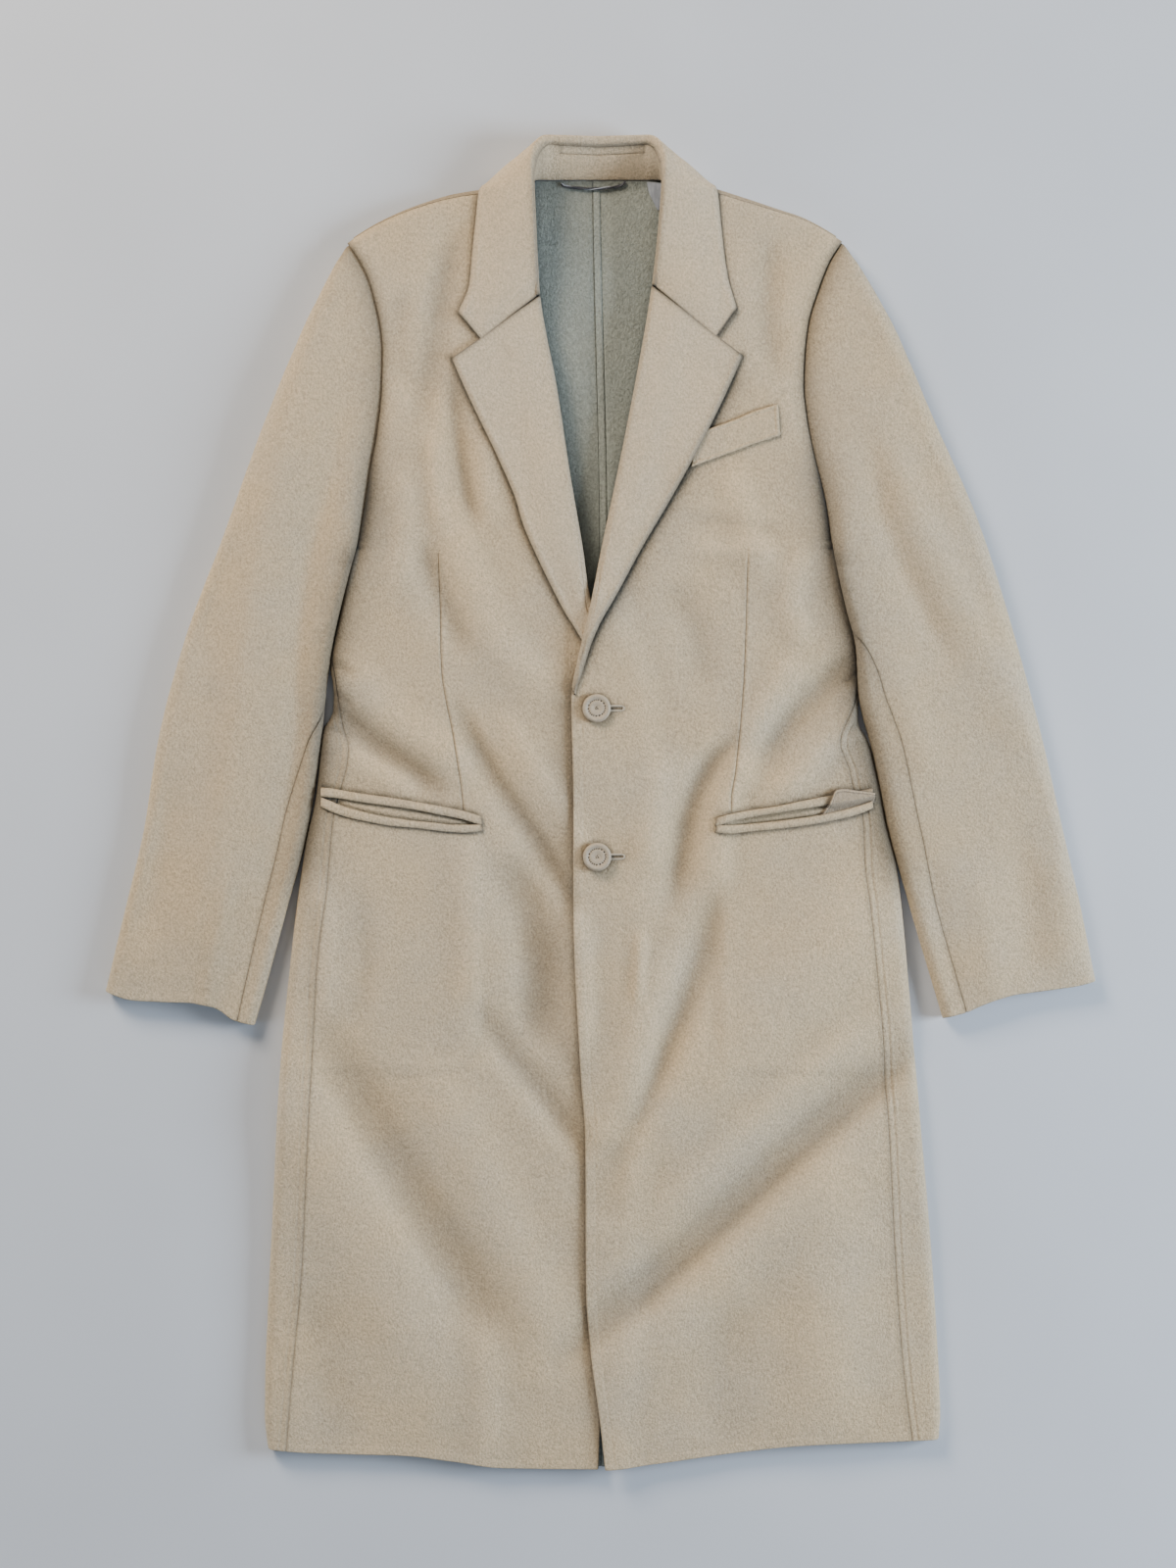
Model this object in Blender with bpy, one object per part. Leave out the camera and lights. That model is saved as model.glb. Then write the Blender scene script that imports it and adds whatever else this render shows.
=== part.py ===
"""A single-breasted overcoat of double-faced wool, laid flat on its back.

Every cloth piece is a wall of even thickness round a middle surface. The middle surfaces come
from the coat's sizes and from short tables, with one row for each level, section or fold.
All sizes in the tables are millimetres; meshes are made in metres. +X is the viewer's right,
+Y runs from the hem to the collar, +Z points up, and the back lies on z = 0.
"Out" is a distance from the centre line, so both sides of the coat read alike.
"""
import math
from collections import namedtuple

import bmesh
import bpy
import numpy as np
from mathutils.bvhtree import BVHTree

MM = 0.001
LEFT, RIGHT = -1, 1
SIDE_NAME = {LEFT: "left", RIGHT: "right"}

# --- cloth -----------------------------------------------------------------------------------
CLOTH = 2.4             # double-faced wool, both faces together
HALF = CLOTH / 2
GAP = 0.3               # between touching pieces
SEAM = 0.15             # each piece's share of the gap at a seam
ARMHOLE_SEAM = 0.75     # each piece's share where differently divided edges meet
THIN = 1.2              # pocketing
SATIN = 1.0             # label cloth
SOLVE_ROUNDS = 12       # rounds that settle a point lying on two curves at once

# --- colours ---------------------------------------------------------------------------------
CAMEL = (0.50, 0.40, 0.30)
CAMEL_DARK = (0.42, 0.33, 0.25)
SAGE = (0.25, 0.26, 0.20)
SILVER = (0.55, 0.56, 0.57)
CORD_DARK = (0.05, 0.05, 0.06)

# --- outline of the body ---------------------------------------------------------------------
UNDERARM = 229.0        # level where armholes, side folds and sleeves meet
HemPoint = namedtuple("HemPoint", "x level")
HEM = (
    HemPoint(-300, -565), HemPoint(-250, -569), HemPoint(-173, -571), HemPoint(-130, -576),
    HemPoint(-81, -582), HemPoint(0, -583), HemPoint(50, -578), HemPoint(93, -572),
    HemPoint(191, -561), HemPoint(250, -559), HemPoint(300, -557),
)
Side = namedtuple("Side", "level fold seam")
SIDES = {
    LEFT: (
        Side(-585, 289, 274), Side(-535, 295, 273), Side(-366, 288.5, 259.5),
        Side(-244, 282, 254), Side(-131, 271.5, 247), Side(-41, 259, 237),
        Side(-14, 251, 233), Side(8, 247.5, 229.5), Side(50, 242, 221.5), Side(95, 235.5, 226),
        Side(127, 233, 227.5), Side(180, 223.5, 219), Side(213, 216.6, 213), Side(229, 210.6, 208.6),
    ),
    RIGHT: (
        Side(-585, 294, 276), Side(-535, 299, 269), Side(-463, 295.7, 262.7),
        Side(-198, 274.5, 247), Side(-106, 266.4, 238), Side(-50, 257.5, 231),
        Side(-25, 250, 229.5), Side(8, 243.5, 224), Side(55, 233, 211), Side(89, 223.5, 215),
        Side(122, 222, 216.5), Side(180, 211, 206.5), Side(213, 205.6, 202.2), Side(229, 201.2, 199.2),
    ),
}
BACK_SEAM = {LEFT: (233.0, 196.0), RIGHT: (237.0, 186.0)}    # out at the hem, out at the underarm
BACK_SEAM_FOOT = -583.0     # level of the first of the two
Level = namedtuple("Level", "level out")
ARMHOLES = {
    LEFT: (
        Level(229, 212), Level(261, 206.3), Level(297, 200.5), Level(326, 195.2),
        Level(364, 191.1), Level(397, 190.5), Level(418, 192.2), Level(439, 196.5),
        Level(460, 202.5), Level(477, 211), Level(498, 226),
    ),
    RIGHT: (
        Level(229, 202.5), Level(260, 198.2), Level(285, 192.6), Level(310, 186.2),
        Level(343, 180), Level(368, 177.6), Level(393, 178.5), Level(422, 181.9),
        Level(451, 190.5), Level(477, 201), Level(498, 215),
    ),
}
ShoulderPoint = namedtuple("ShoulderPoint", "out level")
SHOULDERS = {
    LEFT: (
        ShoulderPoint(40, 552), ShoulderPoint(105, 540), ShoulderPoint(128, 536),
        ShoulderPoint(161, 526), ShoulderPoint(192, 512.5), ShoulderPoint(230, 489.5),
    ),
    RIGHT: (
        ShoulderPoint(40, 552), ShoulderPoint(98, 541.5), ShoulderPoint(124, 533.5),
        ShoulderPoint(155, 523), ShoulderPoint(176, 516), ShoulderPoint(220, 491.5),
    ),
}
SHOULDER_ROUND = 10.0       # how far in from the shoulder fold the cloth still rounds over
SEAM_DROP_NECK = 6.0        # forward shoulder seam: below the fold at the neck
SEAM_DROP_TIP = 1.5         # and at the shoulder tip
NECK_SEAM_LEVEL = 549.2     # back neck seam
NECK_LIP = 0.8              # how much the back rises to its neck seam
SHOULDER_SEAM = 0.6         # each piece's share of the gap at the forward shoulder seam
NECK_HALF = 60.0            # half the width of the back neck
TIP_OUT = 215.0             # out of the shoulder tip

# --- inner edges of the fronts: front edge, then roll line, then the neck opening ---------------
Edge = namedtuple("Edge", "level x")
INNER_EDGES = {
    LEFT: (
        Edge(-590, -2), Edge(-450, 4), Edge(-300, 9), Edge(-100, 16), Edge(60, 20),
        Edge(100, 17.5), Edge(145, 5), Edge(183, -9), Edge(226, -15.5), Edge(289, -26.3),
        Edge(374, -39.6), Edge(410, -46.9), Edge(445, -52.5), Edge(507, -55.8), Edge(560, -57),
    ),
    RIGHT: (
        Edge(-590, 5), Edge(-540, -0.5), Edge(-480, -8.5), Edge(-430, -12.5), Edge(-290, -13.3),
        Edge(-240, -17), Edge(-80, -23.7), Edge(0, -23.7), Edge(95, -25.4), Edge(124, -20.5),
        Edge(168, -10.1), Edge(226, 1.3), Edge(289, 14.7), Edge(362, 29.2), Edge(429, 41.2),
        Edge(453, 44.8), Edge(507, 50.9), Edge(560, 52.5),
    ),
}
OVERLAP_EASE = 1.1          # slack where one front lies on the other
OVERLAP_REACH = 14.0        # full lift as far as this past the edge that lies under
OVERLAP_SLOPE = 30.0        # and down again over this width
OVERLAP_FADE = 20.0         # height of the lift's fading above the lapel's end
ROLL_END = {LEFT: 184.0, RIGHT: 124.0}      # level where each lapel runs out
INSET_START = {LEFT: 132.0, RIGHT: 120.0}   # level where the front's edge draws in from the roll
INSET_RISE = 16.0           # height over which it draws in
ROLL_INSET = 5.8            # the front's own edge stands this far in from the roll
NECK_INSET = 7.0            # and this far in at the neck
NECK_INSET_LEVEL = 440.0    # level where the wider inset starts
NECK_INSET_RISE = 20.0

# --- height of the flattened body --------------------------------------------------------------
Height = namedtuple("Height", "level total side_round")
BODY_HEIGHT = (
    Height(-590, 14, 7), Height(-300, 15, 8), Height(-60, 16, 9), Height(80, 16, 8),
    Height(180, 17, 5), Height(229, 18, 1.5), Height(350, 19, 1.5), Height(450, 20, 1.5),
    Height(560, 20, 1.5),
)
SLOPE_STEP = 0.15           # half the stride used when a slope is taken
FOLD_TAPER = 0.25           # share of a fold's length that it runs on, and dies out, at each end
Fold = namedtuple("Fold", "x0 y0 x1 y1 width height")
FOLDS = (
    Fold(-226, 112, -105, -5, 30, 4.0),         # ridge from the left side of the waist
    Fold(-214, 74, -150, 18, 18, -3.0),         # trough under it
    Fold(-250, -205, -100, -480, 48, 5.0),      # long slanting ridge of the left skirt
    Fold(-62, -370, -60, -560, 30, -4.0),       # upright trough beside it
    Fold(-98, -200, -30, -305, 22, -3.0),       # trough beside the front edge
    Fold(225, -180, 30, -392, 48, 6.0),         # long slanting ridge of the right skirt
    Fold(212, -245, 5, -452, 26, -4.0),         # trough under it
    Fold(127, -85, 8, -325, 20, -2.5),          # crease from the right hip
    Fold(92, 30, 66, -95, 26, -2.5),            # hollow under the right waist
)

# --- sleeves: cross rows from the armhole to the cuff --------------------------------------------
SleeveRow = namedtuple("SleeveRow", "outer outer_y inner inner_y seam total round_outer round_inner")
SLEEVES = {
    LEFT: (
        SleeveRow(226, 492, 216, 229, -40, 20, 10, 2),
        SleeveRow(259, 427, 220.5, 213, -38, 24, 11, 6),
        SleeveRow(294, 341, 227.5, 182, -32, 24, 12, 8),
        SleeveRow(332.4, 233, 235.5, 143, -22, 23, 12, 9),
        SleeveRow(364, 147, 241.5, 98, -4, 21, 12, 9),
        SleeveRow(387.4, 61, 247, 45, 16, 19, 11, 9),
        SleeveRow(401.5, -25, 257.5, -24, 27, 18, 10, 8),
        SleeveRow(416.7, -89, 278, -100, 24, 17, 9, 8),
        SleeveRow(434.5, -163, 304, -193, 18, 16, 8, 8),
    ),
    RIGHT: (
        SleeveRow(216, 494, 206, 229, -38, 20, 10, 2),
        SleeveRow(256, 426.6, 211.5, 203, -34, 24, 11, 6),
        SleeveRow(296, 333, 218, 171, -14, 24, 12, 8),
        SleeveRow(332, 249, 225.5, 137, 12, 23, 12, 9),
        SleeveRow(364, 147, 227.5, 95, 26, 21, 12, 9),
        SleeveRow(387.4, 61, 239.5, 48, 30, 19, 11, 9),
        SleeveRow(407, -25, 254, -24, 31, 18, 10, 8),
        SleeveRow(421.8, -89, 273.5, -94, 26, 17, 9, 8),
        SleeveRow(435, -154, 301, -187, 24, 16, 8, 8),
    ),
}
ARMHOLE_EASE = (1.0, 0.66, 0.34, 0.12, 0.0, 0.0, 0.0, 0.0, 0.0)  # armhole curve left in each row
CUFF_WAVE = 7.0             # how far the cuff's edge hollows between its corners
CUFF_FLOW = (2.5, 1.5)      # rows above the cuff where the hollow starts, rows it grows over
HEAD_FLOW = 1.6             # rows over which a sleeve takes over from the armhole's height
BACK_SEAM_IN = 34.0         # hidden back seam, in from the outer fold on the underside

# --- lapels --------------------------------------------------------------------------------------
LapelRow = namedtuple("LapelRow", "roll_level edge_x edge_y")
LAPELS = {
    LEFT: (
        LapelRow(444.8, -129.6, 390.5), LapelRow(424, -122.5, 374), LapelRow(392, -112.5, 352),
        LapelRow(345, -91.6, 308.7), LapelRow(300, -74, 268), LapelRow(262, -60, 230),
        LapelRow(225, -43, 194), LapelRow(203, -30, 168), LapelRow(188, -19.5, 150),
    ),
    RIGHT: (
        LapelRow(453.2, 124.4, 393), LapelRow(432, 117, 376), LapelRow(398, 105.1, 350),
        LapelRow(350, 83, 306.5), LapelRow(300, 60.8, 266.6), LapelRow(250, 35.5, 223.7),
        LapelRow(205, 14.5, 184.5), LapelRow(168, -0.5, 158), LapelRow(143, -7.8, 140),
        LapelRow(131, -13, 127),
    ),
}
ROLL_OPEN = 2.4             # air inside the roll of a lapel
LAPEL_FALL = 1.6            # how fast the turned-back leg settles on the front
LAPEL_CLEAR = 9.0           # the leg clears the highest cloth within this distance

# --- collar: rows from one front end round the back neck to the other ------------------------------
CollarRow = namedtuple(
    "CollarRow", "roll_x roll_y roll_z lean belly_x belly_y belly_z edge_x edge_y edge_z "
    "neck_x neck_y neck_z")
COLLAR_LEFT = (
    CollarRow(-52.6, 446.8, 28, -2, -85, 439, 25.5, -123.4, 429.7, 21.3, -57.5, 446.8, 19.2),
    CollarRow(-53.6, 462, 29, -2, -82, 459, 26.5, -113.5, 455, 21.5, -58.5, 462, 19.2),
    CollarRow(-54.8, 482.5, 31, -2, -80, 482.5, 28, -110.8, 482.5, 22, -59.7, 482.5, 19.2),
    CollarRow(-56, 512, 34, -2, -80, 513, 30.5, -107.5, 515, 22.2, -60.9, 512, 19.2),
    CollarRow(-57, 534, 36, -2, -80, 537, 32, -105, 536, 22.5, -61.6, 532, 18.6),
    CollarRow(-57.5, 551, 36.5, -1, -78, 556, 27, -98.5, 547.2, 6, -60.8, 543.5, 13.5),
    CollarRow(-56.5, 564, 35, 2, -70, 567, 22, -79, 560, 1.6, -57.5, 549.7, 7.5),
    CollarRow(-52.5, 574.5, 31.5, 6, -58.5, 577.5, 17, -60, 566, 1.5, -50, 550.8, 4.4),
    CollarRow(-43, 580, 27, 9, -46, 584, 13, -43, 562, 1.5, -41, 550.8, 3.4),
)
COLLAR_BACK = CollarRow(-2, 579.5, 22, 9, -2, 582.6, 11, -2, 558, 1.5, -2, 550.8, 3.2)
COLLAR_RIGHT = (
    CollarRow(44.9, 455.4, 28, -2, 78, 445, 25.5, 118.4, 433.5, 21.3, 49.8, 455.4, 19.2),
    CollarRow(46.6, 468, 29, -2, 77, 465, 26.5, 110.5, 461, 21.5, 51.5, 468, 19.2),
    CollarRow(48.5, 484, 31, -2, 76, 484, 28, 106.8, 485, 22, 53.4, 484, 19.2),
    CollarRow(51, 512, 34, -2, 76, 513, 30.5, 103.6, 515, 22.2, 55.9, 512, 19.2),
    CollarRow(52.6, 534, 36, -2, 76, 537, 32, 101, 537, 22.5, 57.2, 532, 18.6),
    CollarRow(53.2, 551, 36.5, -1, 74, 556, 27, 94.5, 547.6, 6, 56.8, 543.5, 13.5),
    CollarRow(52.2, 564, 35, 2, 66, 567, 22, 75, 560, 1.6, 53.5, 549.7, 7.5),
    CollarRow(48.5, 574.5, 31.5, 6, 54.5, 577.5, 17, 56, 566, 1.5, 46, 550.8, 4.4),
    CollarRow(39, 580, 27, 9, 42, 584, 13, 39, 562, 1.5, 37, 550.8, 3.4),
)
NOTCH = {LEFT: (-104.1, 406.2), RIGHT: (101.0, 408.5)}
NOTCH_SHARE = 0.75          # share of the collar's end row that lies along the gorge seam
NOTCH_RISE = 0.7            # gap of the gorge seam at the notch
NOTCH_FLOW = 1.6            # sections over which the notch dies out
STAND_BELOW_ROLL = 8.5      # stand seam, below the roll's top
TURN_BELOW_ROLL = 3.8       # inner side of the roll's turn, below its top
TURN_IN = 0.45              # share of the lean that the turn keeps
ROLL_TOP_IN = 3.4           # top of the roll, in from the roll line
LIES_ON_FRONT = (18.0, 530.0)       # the fall rests on the fronts above this height, below this level
COLLAR_CLEAR = 5.0

# --- pockets, buttons and small pieces ---------------------------------------------------------
JetLine = namedtuple("JetLine", "out level")
POCKETS = {
    LEFT: {
        "upper": (JetLine(104.5, -13.5), JetLine(131, -9), JetLine(165, -2.5),
                  JetLine(199, 2.5), JetLine(228, 7), JetLine(246, 9)),
        "lower": (JetLine(104.5, -20.5), JetLine(131, -19.5), JetLine(165, -16.5),
                  JetLine(199, -11.5), JetLine(228, -4), JetLine(246, 3)),
    },
    RIGHT: {
        "upper": (JetLine(101.5, -15.5), JetLine(124, -9.5), JetLine(153, -4.5),
                  JetLine(180, 0.5), JetLine(214, 7.5), JetLine(241, 14)),
        "lower": (JetLine(101.5, -22), JetLine(124, -21.5), JetLine(153, -19.5),
                  JetLine(180, -16), JetLine(214, -9), JetLine(241, 2)),
    },
}
JET_WIDE = 5.6
JET_CLEAR = 7.0             # a jet clears the highest cloth within this distance
JET_SIDE_CLEAR = 9.0        # jets end this far in from the side fold
JET_LEVEL = 8.0             # level of the pocket at the side fold
MOUTH_ENDS = {LEFT: (112.0, 222.0), RIGHT: (109.0, 214.0)}
MOUTH_TUCK = 0.4            # the mouth's edges lie this far under the jets
POCKET_CLOTH_ROWS = (-4.0, 8.0, 26.0)       # across the pocket cloth, down from the upper edge
POCKET_CLOTH_PAST = (5.0, 3.0)      # beyond the inner and outer end of the mouth
POCKET_CLOTH_CLEAR = 9.0
WELT = ((93.0, 322.5), (156.0, 350.5), (157.0, 324.5), (79.5, 297.0))
WELT_CLEAR = 5.0
WELT_UNDER = (86.0, 310.0)  # where the right lapel's edge crosses the welt
WELT_LIFT = (24.0, 30.0)    # the lapel is lifted this far round, then sinks over this
FLAP = ((190.5, -8.0), (203.0, 9.0), (209.0, 13.0), (233.0, 12.0), (241.0, 9.5),
        (238.0, 0.0), (215.0, -5.5))
PATCH_CLEAR = 6.0
BUTTONS = {"button_upper": (-3.2, 84.3), "button_lower": (-2.8, -45.5)}
BUTTON_RADIUS = 12.3
BUTTON_SECTION = (          # in from the rim, height over the seat
    (2.6, 0.0), (0.7, 0.8), (0.0, 2.5), (0.8, 4.2), (2.4, 5.2), (4.2, 4.6), (5.4, 3.7), (7.6, 3.9),
)
BUTTON_TURNS = 20
SHANK_RADIUS = 1.1
SHANK_CLEAR = 1.5
HOLE_LONG = 24.0            # keyhole slit, from the shank towards the sleeve
HOLE_WIDE = 3.2
HOLE_TURNS = 6
LOOP = ((-34, 546.3), (-30.5, 543.6), (-16, 542.4), (4, 542.4), (16, 544), (21, 546.6))
LOOP_RADIUS = 1.25
LOOP_CLEAR = 0.6            # air between the cord and the back
LOOP_POINTS = 17
LABEL = ((42.0, 540.0), (42.6, 535.5), (50.5, 522.5), (60.0, 525.0), (57.0, 539.0))
LABEL_FOOT = 3.8
CENTRE_BACK = ((-590, 1.0), (231, -0.3), (530, -6.3), (560, -6.5))
GUIDE_LOW = -5.0            # cutting guides run from below the floor
GUIDE_HIGH = 40.0           # to above the coat
ABOVE_ALL = 100.0
UNDER_FRONT = 3.5           # just above the back's upper face


# --- sums ----------------------------------------------------------------------------------------
def flow(stations, values, at):
    """Value of a smooth curve that passes each (station, value) without overshooting."""
    s = np.asarray(stations, float)
    v = np.asarray(values, float)
    step = np.diff(s)
    slope = np.diff(v) / step
    tangent = np.zeros_like(v)
    tangent[0], tangent[-1] = slope[0], slope[-1]
    for i in range(1, len(s) - 1):
        if slope[i - 1] * slope[i] > 0:
            before, after = 2 * step[i] + step[i - 1], step[i] + 2 * step[i - 1]
            tangent[i] = (before + after) / (before / slope[i - 1] + after / slope[i])
    at = min(max(at, s[0]), s[-1])
    i = min(int(np.searchsorted(s, at, side="right")) - 1, len(step) - 1)
    t = (at - s[i]) / step[i]
    return float(
        (2 * t**3 - 3 * t**2 + 1) * v[i] + (t**3 - 2 * t**2 + t) * step[i] * tangent[i]
        + (3 * t**2 - 2 * t**3) * v[i + 1] + (t**3 - t**2) * step[i] * tangent[i + 1])


def column(rows, key, value, at):
    """Read one named column of a table at a place along its key column."""
    return flow([getattr(r, key) for r in rows], [getattr(r, value) for r in rows], at)


def ease(t):
    """Smooth step from 0 to 1."""
    t = min(max(t, 0.0), 1.0)
    return t * t * (3 - 2 * t)


def rounding(distance, reach):
    """Share of full height at a distance in from a rounded edge."""
    t = min(max(distance / reach, 0.0), 1.0)
    return math.sqrt(1 - (1 - t) ** 2)


def hem(x):
    """Level of the hem at a place across the coat."""
    return column(HEM, "x", "level", x)


def shoulder(side, x):
    """Level of the shoulder fold."""
    return column(SHOULDERS[side], "out", "level", abs(x))


def seam_drop(x):
    """How far the shoulder seam lies below the fold."""
    t = (abs(x) - NECK_HALF) / (TIP_OUT - NECK_HALF)
    return SEAM_DROP_NECK + (SEAM_DROP_TIP - SEAM_DROP_NECK) * min(max(t, 0.0), 1.0)


def side_out(side, value, level):
    """Out of the side fold, the front seam or the hidden back seam at a level."""
    if value == "back_seam":
        at_hem, at_top = BACK_SEAM[side]
        return at_hem + (at_top - at_hem) * (level - BACK_SEAM_FOOT) / (UNDERARM - BACK_SEAM_FOOT)
    return column(SIDES[side], "level", value, level)


def armhole(side, level):
    """Out of the armhole at a level."""
    return column(ARMHOLES[side], "level", "out", level)


def inner_edge(side, level):
    """Place of a front's edge, roll line or neck opening at a level."""
    return column(INNER_EDGES[side], "level", "x", level)


def centre_back(level):
    """Place of the centre-back seam at a level."""
    return flow([p[0] for p in CENTRE_BACK], [p[1] for p in CENTRE_BACK], level)


def fold_height(x, y):
    """Sum of the large folds at a point."""
    total = 0.0
    for f in FOLDS:
        along_x, along_y = f.x1 - f.x0, f.y1 - f.y0
        length = math.hypot(along_x, along_y)
        t = ((x - f.x0) * along_x + (y - f.y0) * along_y) / length**2
        off = abs((x - f.x0) * along_y - (y - f.y0) * along_x) / length
        after = 1 + FOLD_TAPER
        if -FOLD_TAPER < t < after and off < f.width:
            ends = ease((t + FOLD_TAPER) / FOLD_TAPER / 2) * ease((after - t) / FOLD_TAPER / 2)
            total += f.height * ends * math.cos(math.pi / 2 * off / f.width) ** 2
    return total


def overlap_step(x, y):
    """Lift of the right front where it crosses the left front."""
    if y > ROLL_END[LEFT] + OVERLAP_FADE:
        return 0.0
    reach = inner_edge(LEFT, y) + OVERLAP_REACH
    fade = 1 - ease((y - ROLL_END[LEFT]) / OVERLAP_FADE)
    return (CLOTH + GAP + OVERLAP_EASE) * fade * (1 - ease((x - reach) / OVERLAP_SLOPE))


def body_mid(side, x, y):
    """Middle surface of the body's upper layer, with its side and shoulder rounding."""
    total = column(BODY_HEIGHT, "level", "total", y)
    reach = column(BODY_HEIGHT, "level", "side_round", y)
    open_z = total - HALF + fold_height(x, y)
    if side == RIGHT:
        open_z += overlap_step(x, y)
    share = 1.0
    if y < UNDERARM:
        share *= rounding(side_out(side, "fold", y) - HALF - abs(x), reach)
    if abs(x) > NECK_HALF:
        share *= rounding(shoulder(side, x) - HALF - y, SHOULDER_ROUND)
    return HALF + (open_z - HALF) * (1 + share) / 2


def body_normal(side, x, y):
    """Upward normal of the body's upper layer."""
    step = SLOPE_STEP
    slope_x = (body_mid(side, x + step, y) - body_mid(side, x - step, y)) / (2 * step)
    slope_y = (body_mid(side, x, y + step) - body_mid(side, x, y - step)) / (2 * step)
    normal = np.array((-slope_x, -slope_y, 1.0))
    return normal / np.linalg.norm(normal)


# --- resting one piece on another --------------------------------------------------------------
PANELS = {}
AROUND_SHARES = (-1, -0.5, 0, 0.5, 1)       # where the cloth near a point is felt for


def remember(name, points, faces):
    """Keep a finished panel's faces, so that later pieces can be laid on them."""
    PANELS[name] = BVHTree.FromPolygons([tuple(p) for p in points], faces)


def hits(x, y, names, start, down, around):
    """Heights where upright lines near a point first meet the named panels."""
    found = []
    for name in names:
        for across in AROUND_SHARES:
            for along in AROUND_SHARES:
                place = (x + across * around, y + along * around, start)
                spot = PANELS[name].ray_cast(place, (0, 0, -1 if down else 1))[0]
                if spot is not None:
                    found.append(spot[2])
    return found


def top_face(side, x, y, around):
    """Highest upper face of the body close to a point."""
    tag = SIDE_NAME[side]
    found = hits(x, y, ("front_" + tag, "side_" + tag), ABOVE_ALL, True, around)
    return max(found) if found else body_mid(side, x, y) + HALF


# --- meshes ----------------------------------------------------------------------------------------
def clear_scene():
    """Start from an empty scene."""
    for old in list(bpy.data.objects):
        bpy.data.objects.remove(old)


def finish_material(name, colour, roughness=0.9):
    material = bpy.data.materials.new(name)
    material.use_nodes = True
    shader = material.node_tree.nodes["Principled BSDF"]
    shader.inputs["Base Color"].default_value = (*colour, 1)
    shader.inputs["Roughness"].default_value = roughness
    shader.inputs["Metallic"].default_value = 0.0
    return material


def add_object(name, points, faces, colour):
    """One closed mesh from millimetre points, with its faces turned outwards."""
    mesh = bpy.data.meshes.new(name)
    mesh.from_pydata([tuple(c * MM for c in p) for p in points], [], faces)
    tidy = bmesh.new()
    tidy.from_mesh(mesh)
    bmesh.ops.recalc_face_normals(tidy, faces=tidy.faces)
    if tidy.calc_volume(signed=True) < 0:
        bmesh.ops.reverse_faces(tidy, faces=tidy.faces)
    tidy.to_mesh(mesh)
    tidy.free()
    mesh.materials.append(finish_material(name + "_finish", colour))
    piece = bpy.data.objects.new(name, mesh)
    bpy.context.scene.collection.objects.link(piece)
    return piece


def grid_normals(grid):
    """Unit normals of a grid of points, from its neighbours each way."""
    along = np.gradient(grid, axis=0)
    across = np.gradient(grid, axis=1)
    normal = np.cross(along, across)
    return normal / np.linalg.norm(normal, axis=2, keepdims=True)


def wall(name, rows, colour, thick=CLOTH, normals=None):
    """A closed wall of even thickness round a grid of middle-surface points."""
    grid = np.asarray(rows, float)
    count, wide = grid.shape[:2]
    push = (grid_normals(grid) if normals is None else np.asarray(normals)) * thick / 2
    points = np.concatenate([(grid + push).reshape(-1, 3), (grid - push).reshape(-1, 3)])
    below = count * wide

    def at(i, j):
        return i * wide + j

    faces = []
    for i in range(count - 1):
        for j in range(wide - 1):
            here, next_row = at(i, j), at(i + 1, j)
            for face in ((here, next_row, next_row + 1), (here, next_row + 1, here + 1)):
                faces.append(face)
                faces.append(tuple(below + k for k in reversed(face)))
    rim = [at(i, 0) for i in range(count)]
    rim += [at(count - 1, j) for j in range(1, wide)]
    rim += [at(i, wide - 1) for i in range(count - 2, -1, -1)]
    rim += [at(0, j) for j in range(wide - 2, 0, -1)]
    for here, following in zip(rim, rim[1:] + rim[:1]):
        faces.append((here, below + here, below + following))
        faces.append((here, below + following, following))
    remember(name, points, faces)
    return add_object(name, points.tolist(), faces, colour)


# --- body panels -------------------------------------------------------------------------------------
LOWER_ROWS = 12             # hem to underarm
UPPER_ROWS = 7              # underarm to the start of the shoulder's rounding
ROUND_ROWS = 3
ROUND_START = 12.0          # distance below the shoulder fold where the finer rows start
LOWER_STEPS = tuple(range(LOWER_ROWS)) + (LOWER_ROWS - 0.5, LOWER_ROWS)
UPPER_STEPS = tuple(range(LOWER_ROWS + 1, LOWER_ROWS + UPPER_ROWS + ROUND_ROWS + 1))
SEAM_WIDENS = (0.45, 90.0, 60.0)    # how much a side seam's gap widens, from which level, over what


def row_level(step, x, side):
    """Level of a body row at x: even steps from the hem, then up to the shoulder seam."""
    if step <= LOWER_ROWS:
        return hem(x) + (UNDERARM - hem(x)) * step / LOWER_ROWS
    top = shoulder(side, x) - HALF
    step -= LOWER_ROWS
    if step <= UPPER_ROWS:
        return UNDERARM + (top - ROUND_START - UNDERARM) * step / UPPER_ROWS
    step -= UPPER_ROWS
    close = seam_drop(x) + SHOULDER_SEAM
    turn = 1 - math.cos(math.radians(90 - 90 * step / ROUND_ROWS))
    return top - close - (ROUND_START - close) * turn


def seam_share(level):
    """Share of the side seam's gap: a little wider where the seam lies on the fold's rounding."""
    wider, start, rise = SEAM_WIDENS
    return SEAM + wider * ease((level - start) / rise)


def outer_point(side, step, value, push):
    """Outer end of a body row: on a side seam below the underarm, on the armhole above it."""
    x = side * side_out(side, value, UNDERARM)
    for _ in range(SOLVE_ROUNDS):
        level = row_level(step, x, side)
        if step <= LOWER_ROWS:
            x = side * (side_out(side, value, level) - push * seam_share(level))
        else:
            x = side * (armhole(side, level) - ARMHOLE_SEAM)
    return x


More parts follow.
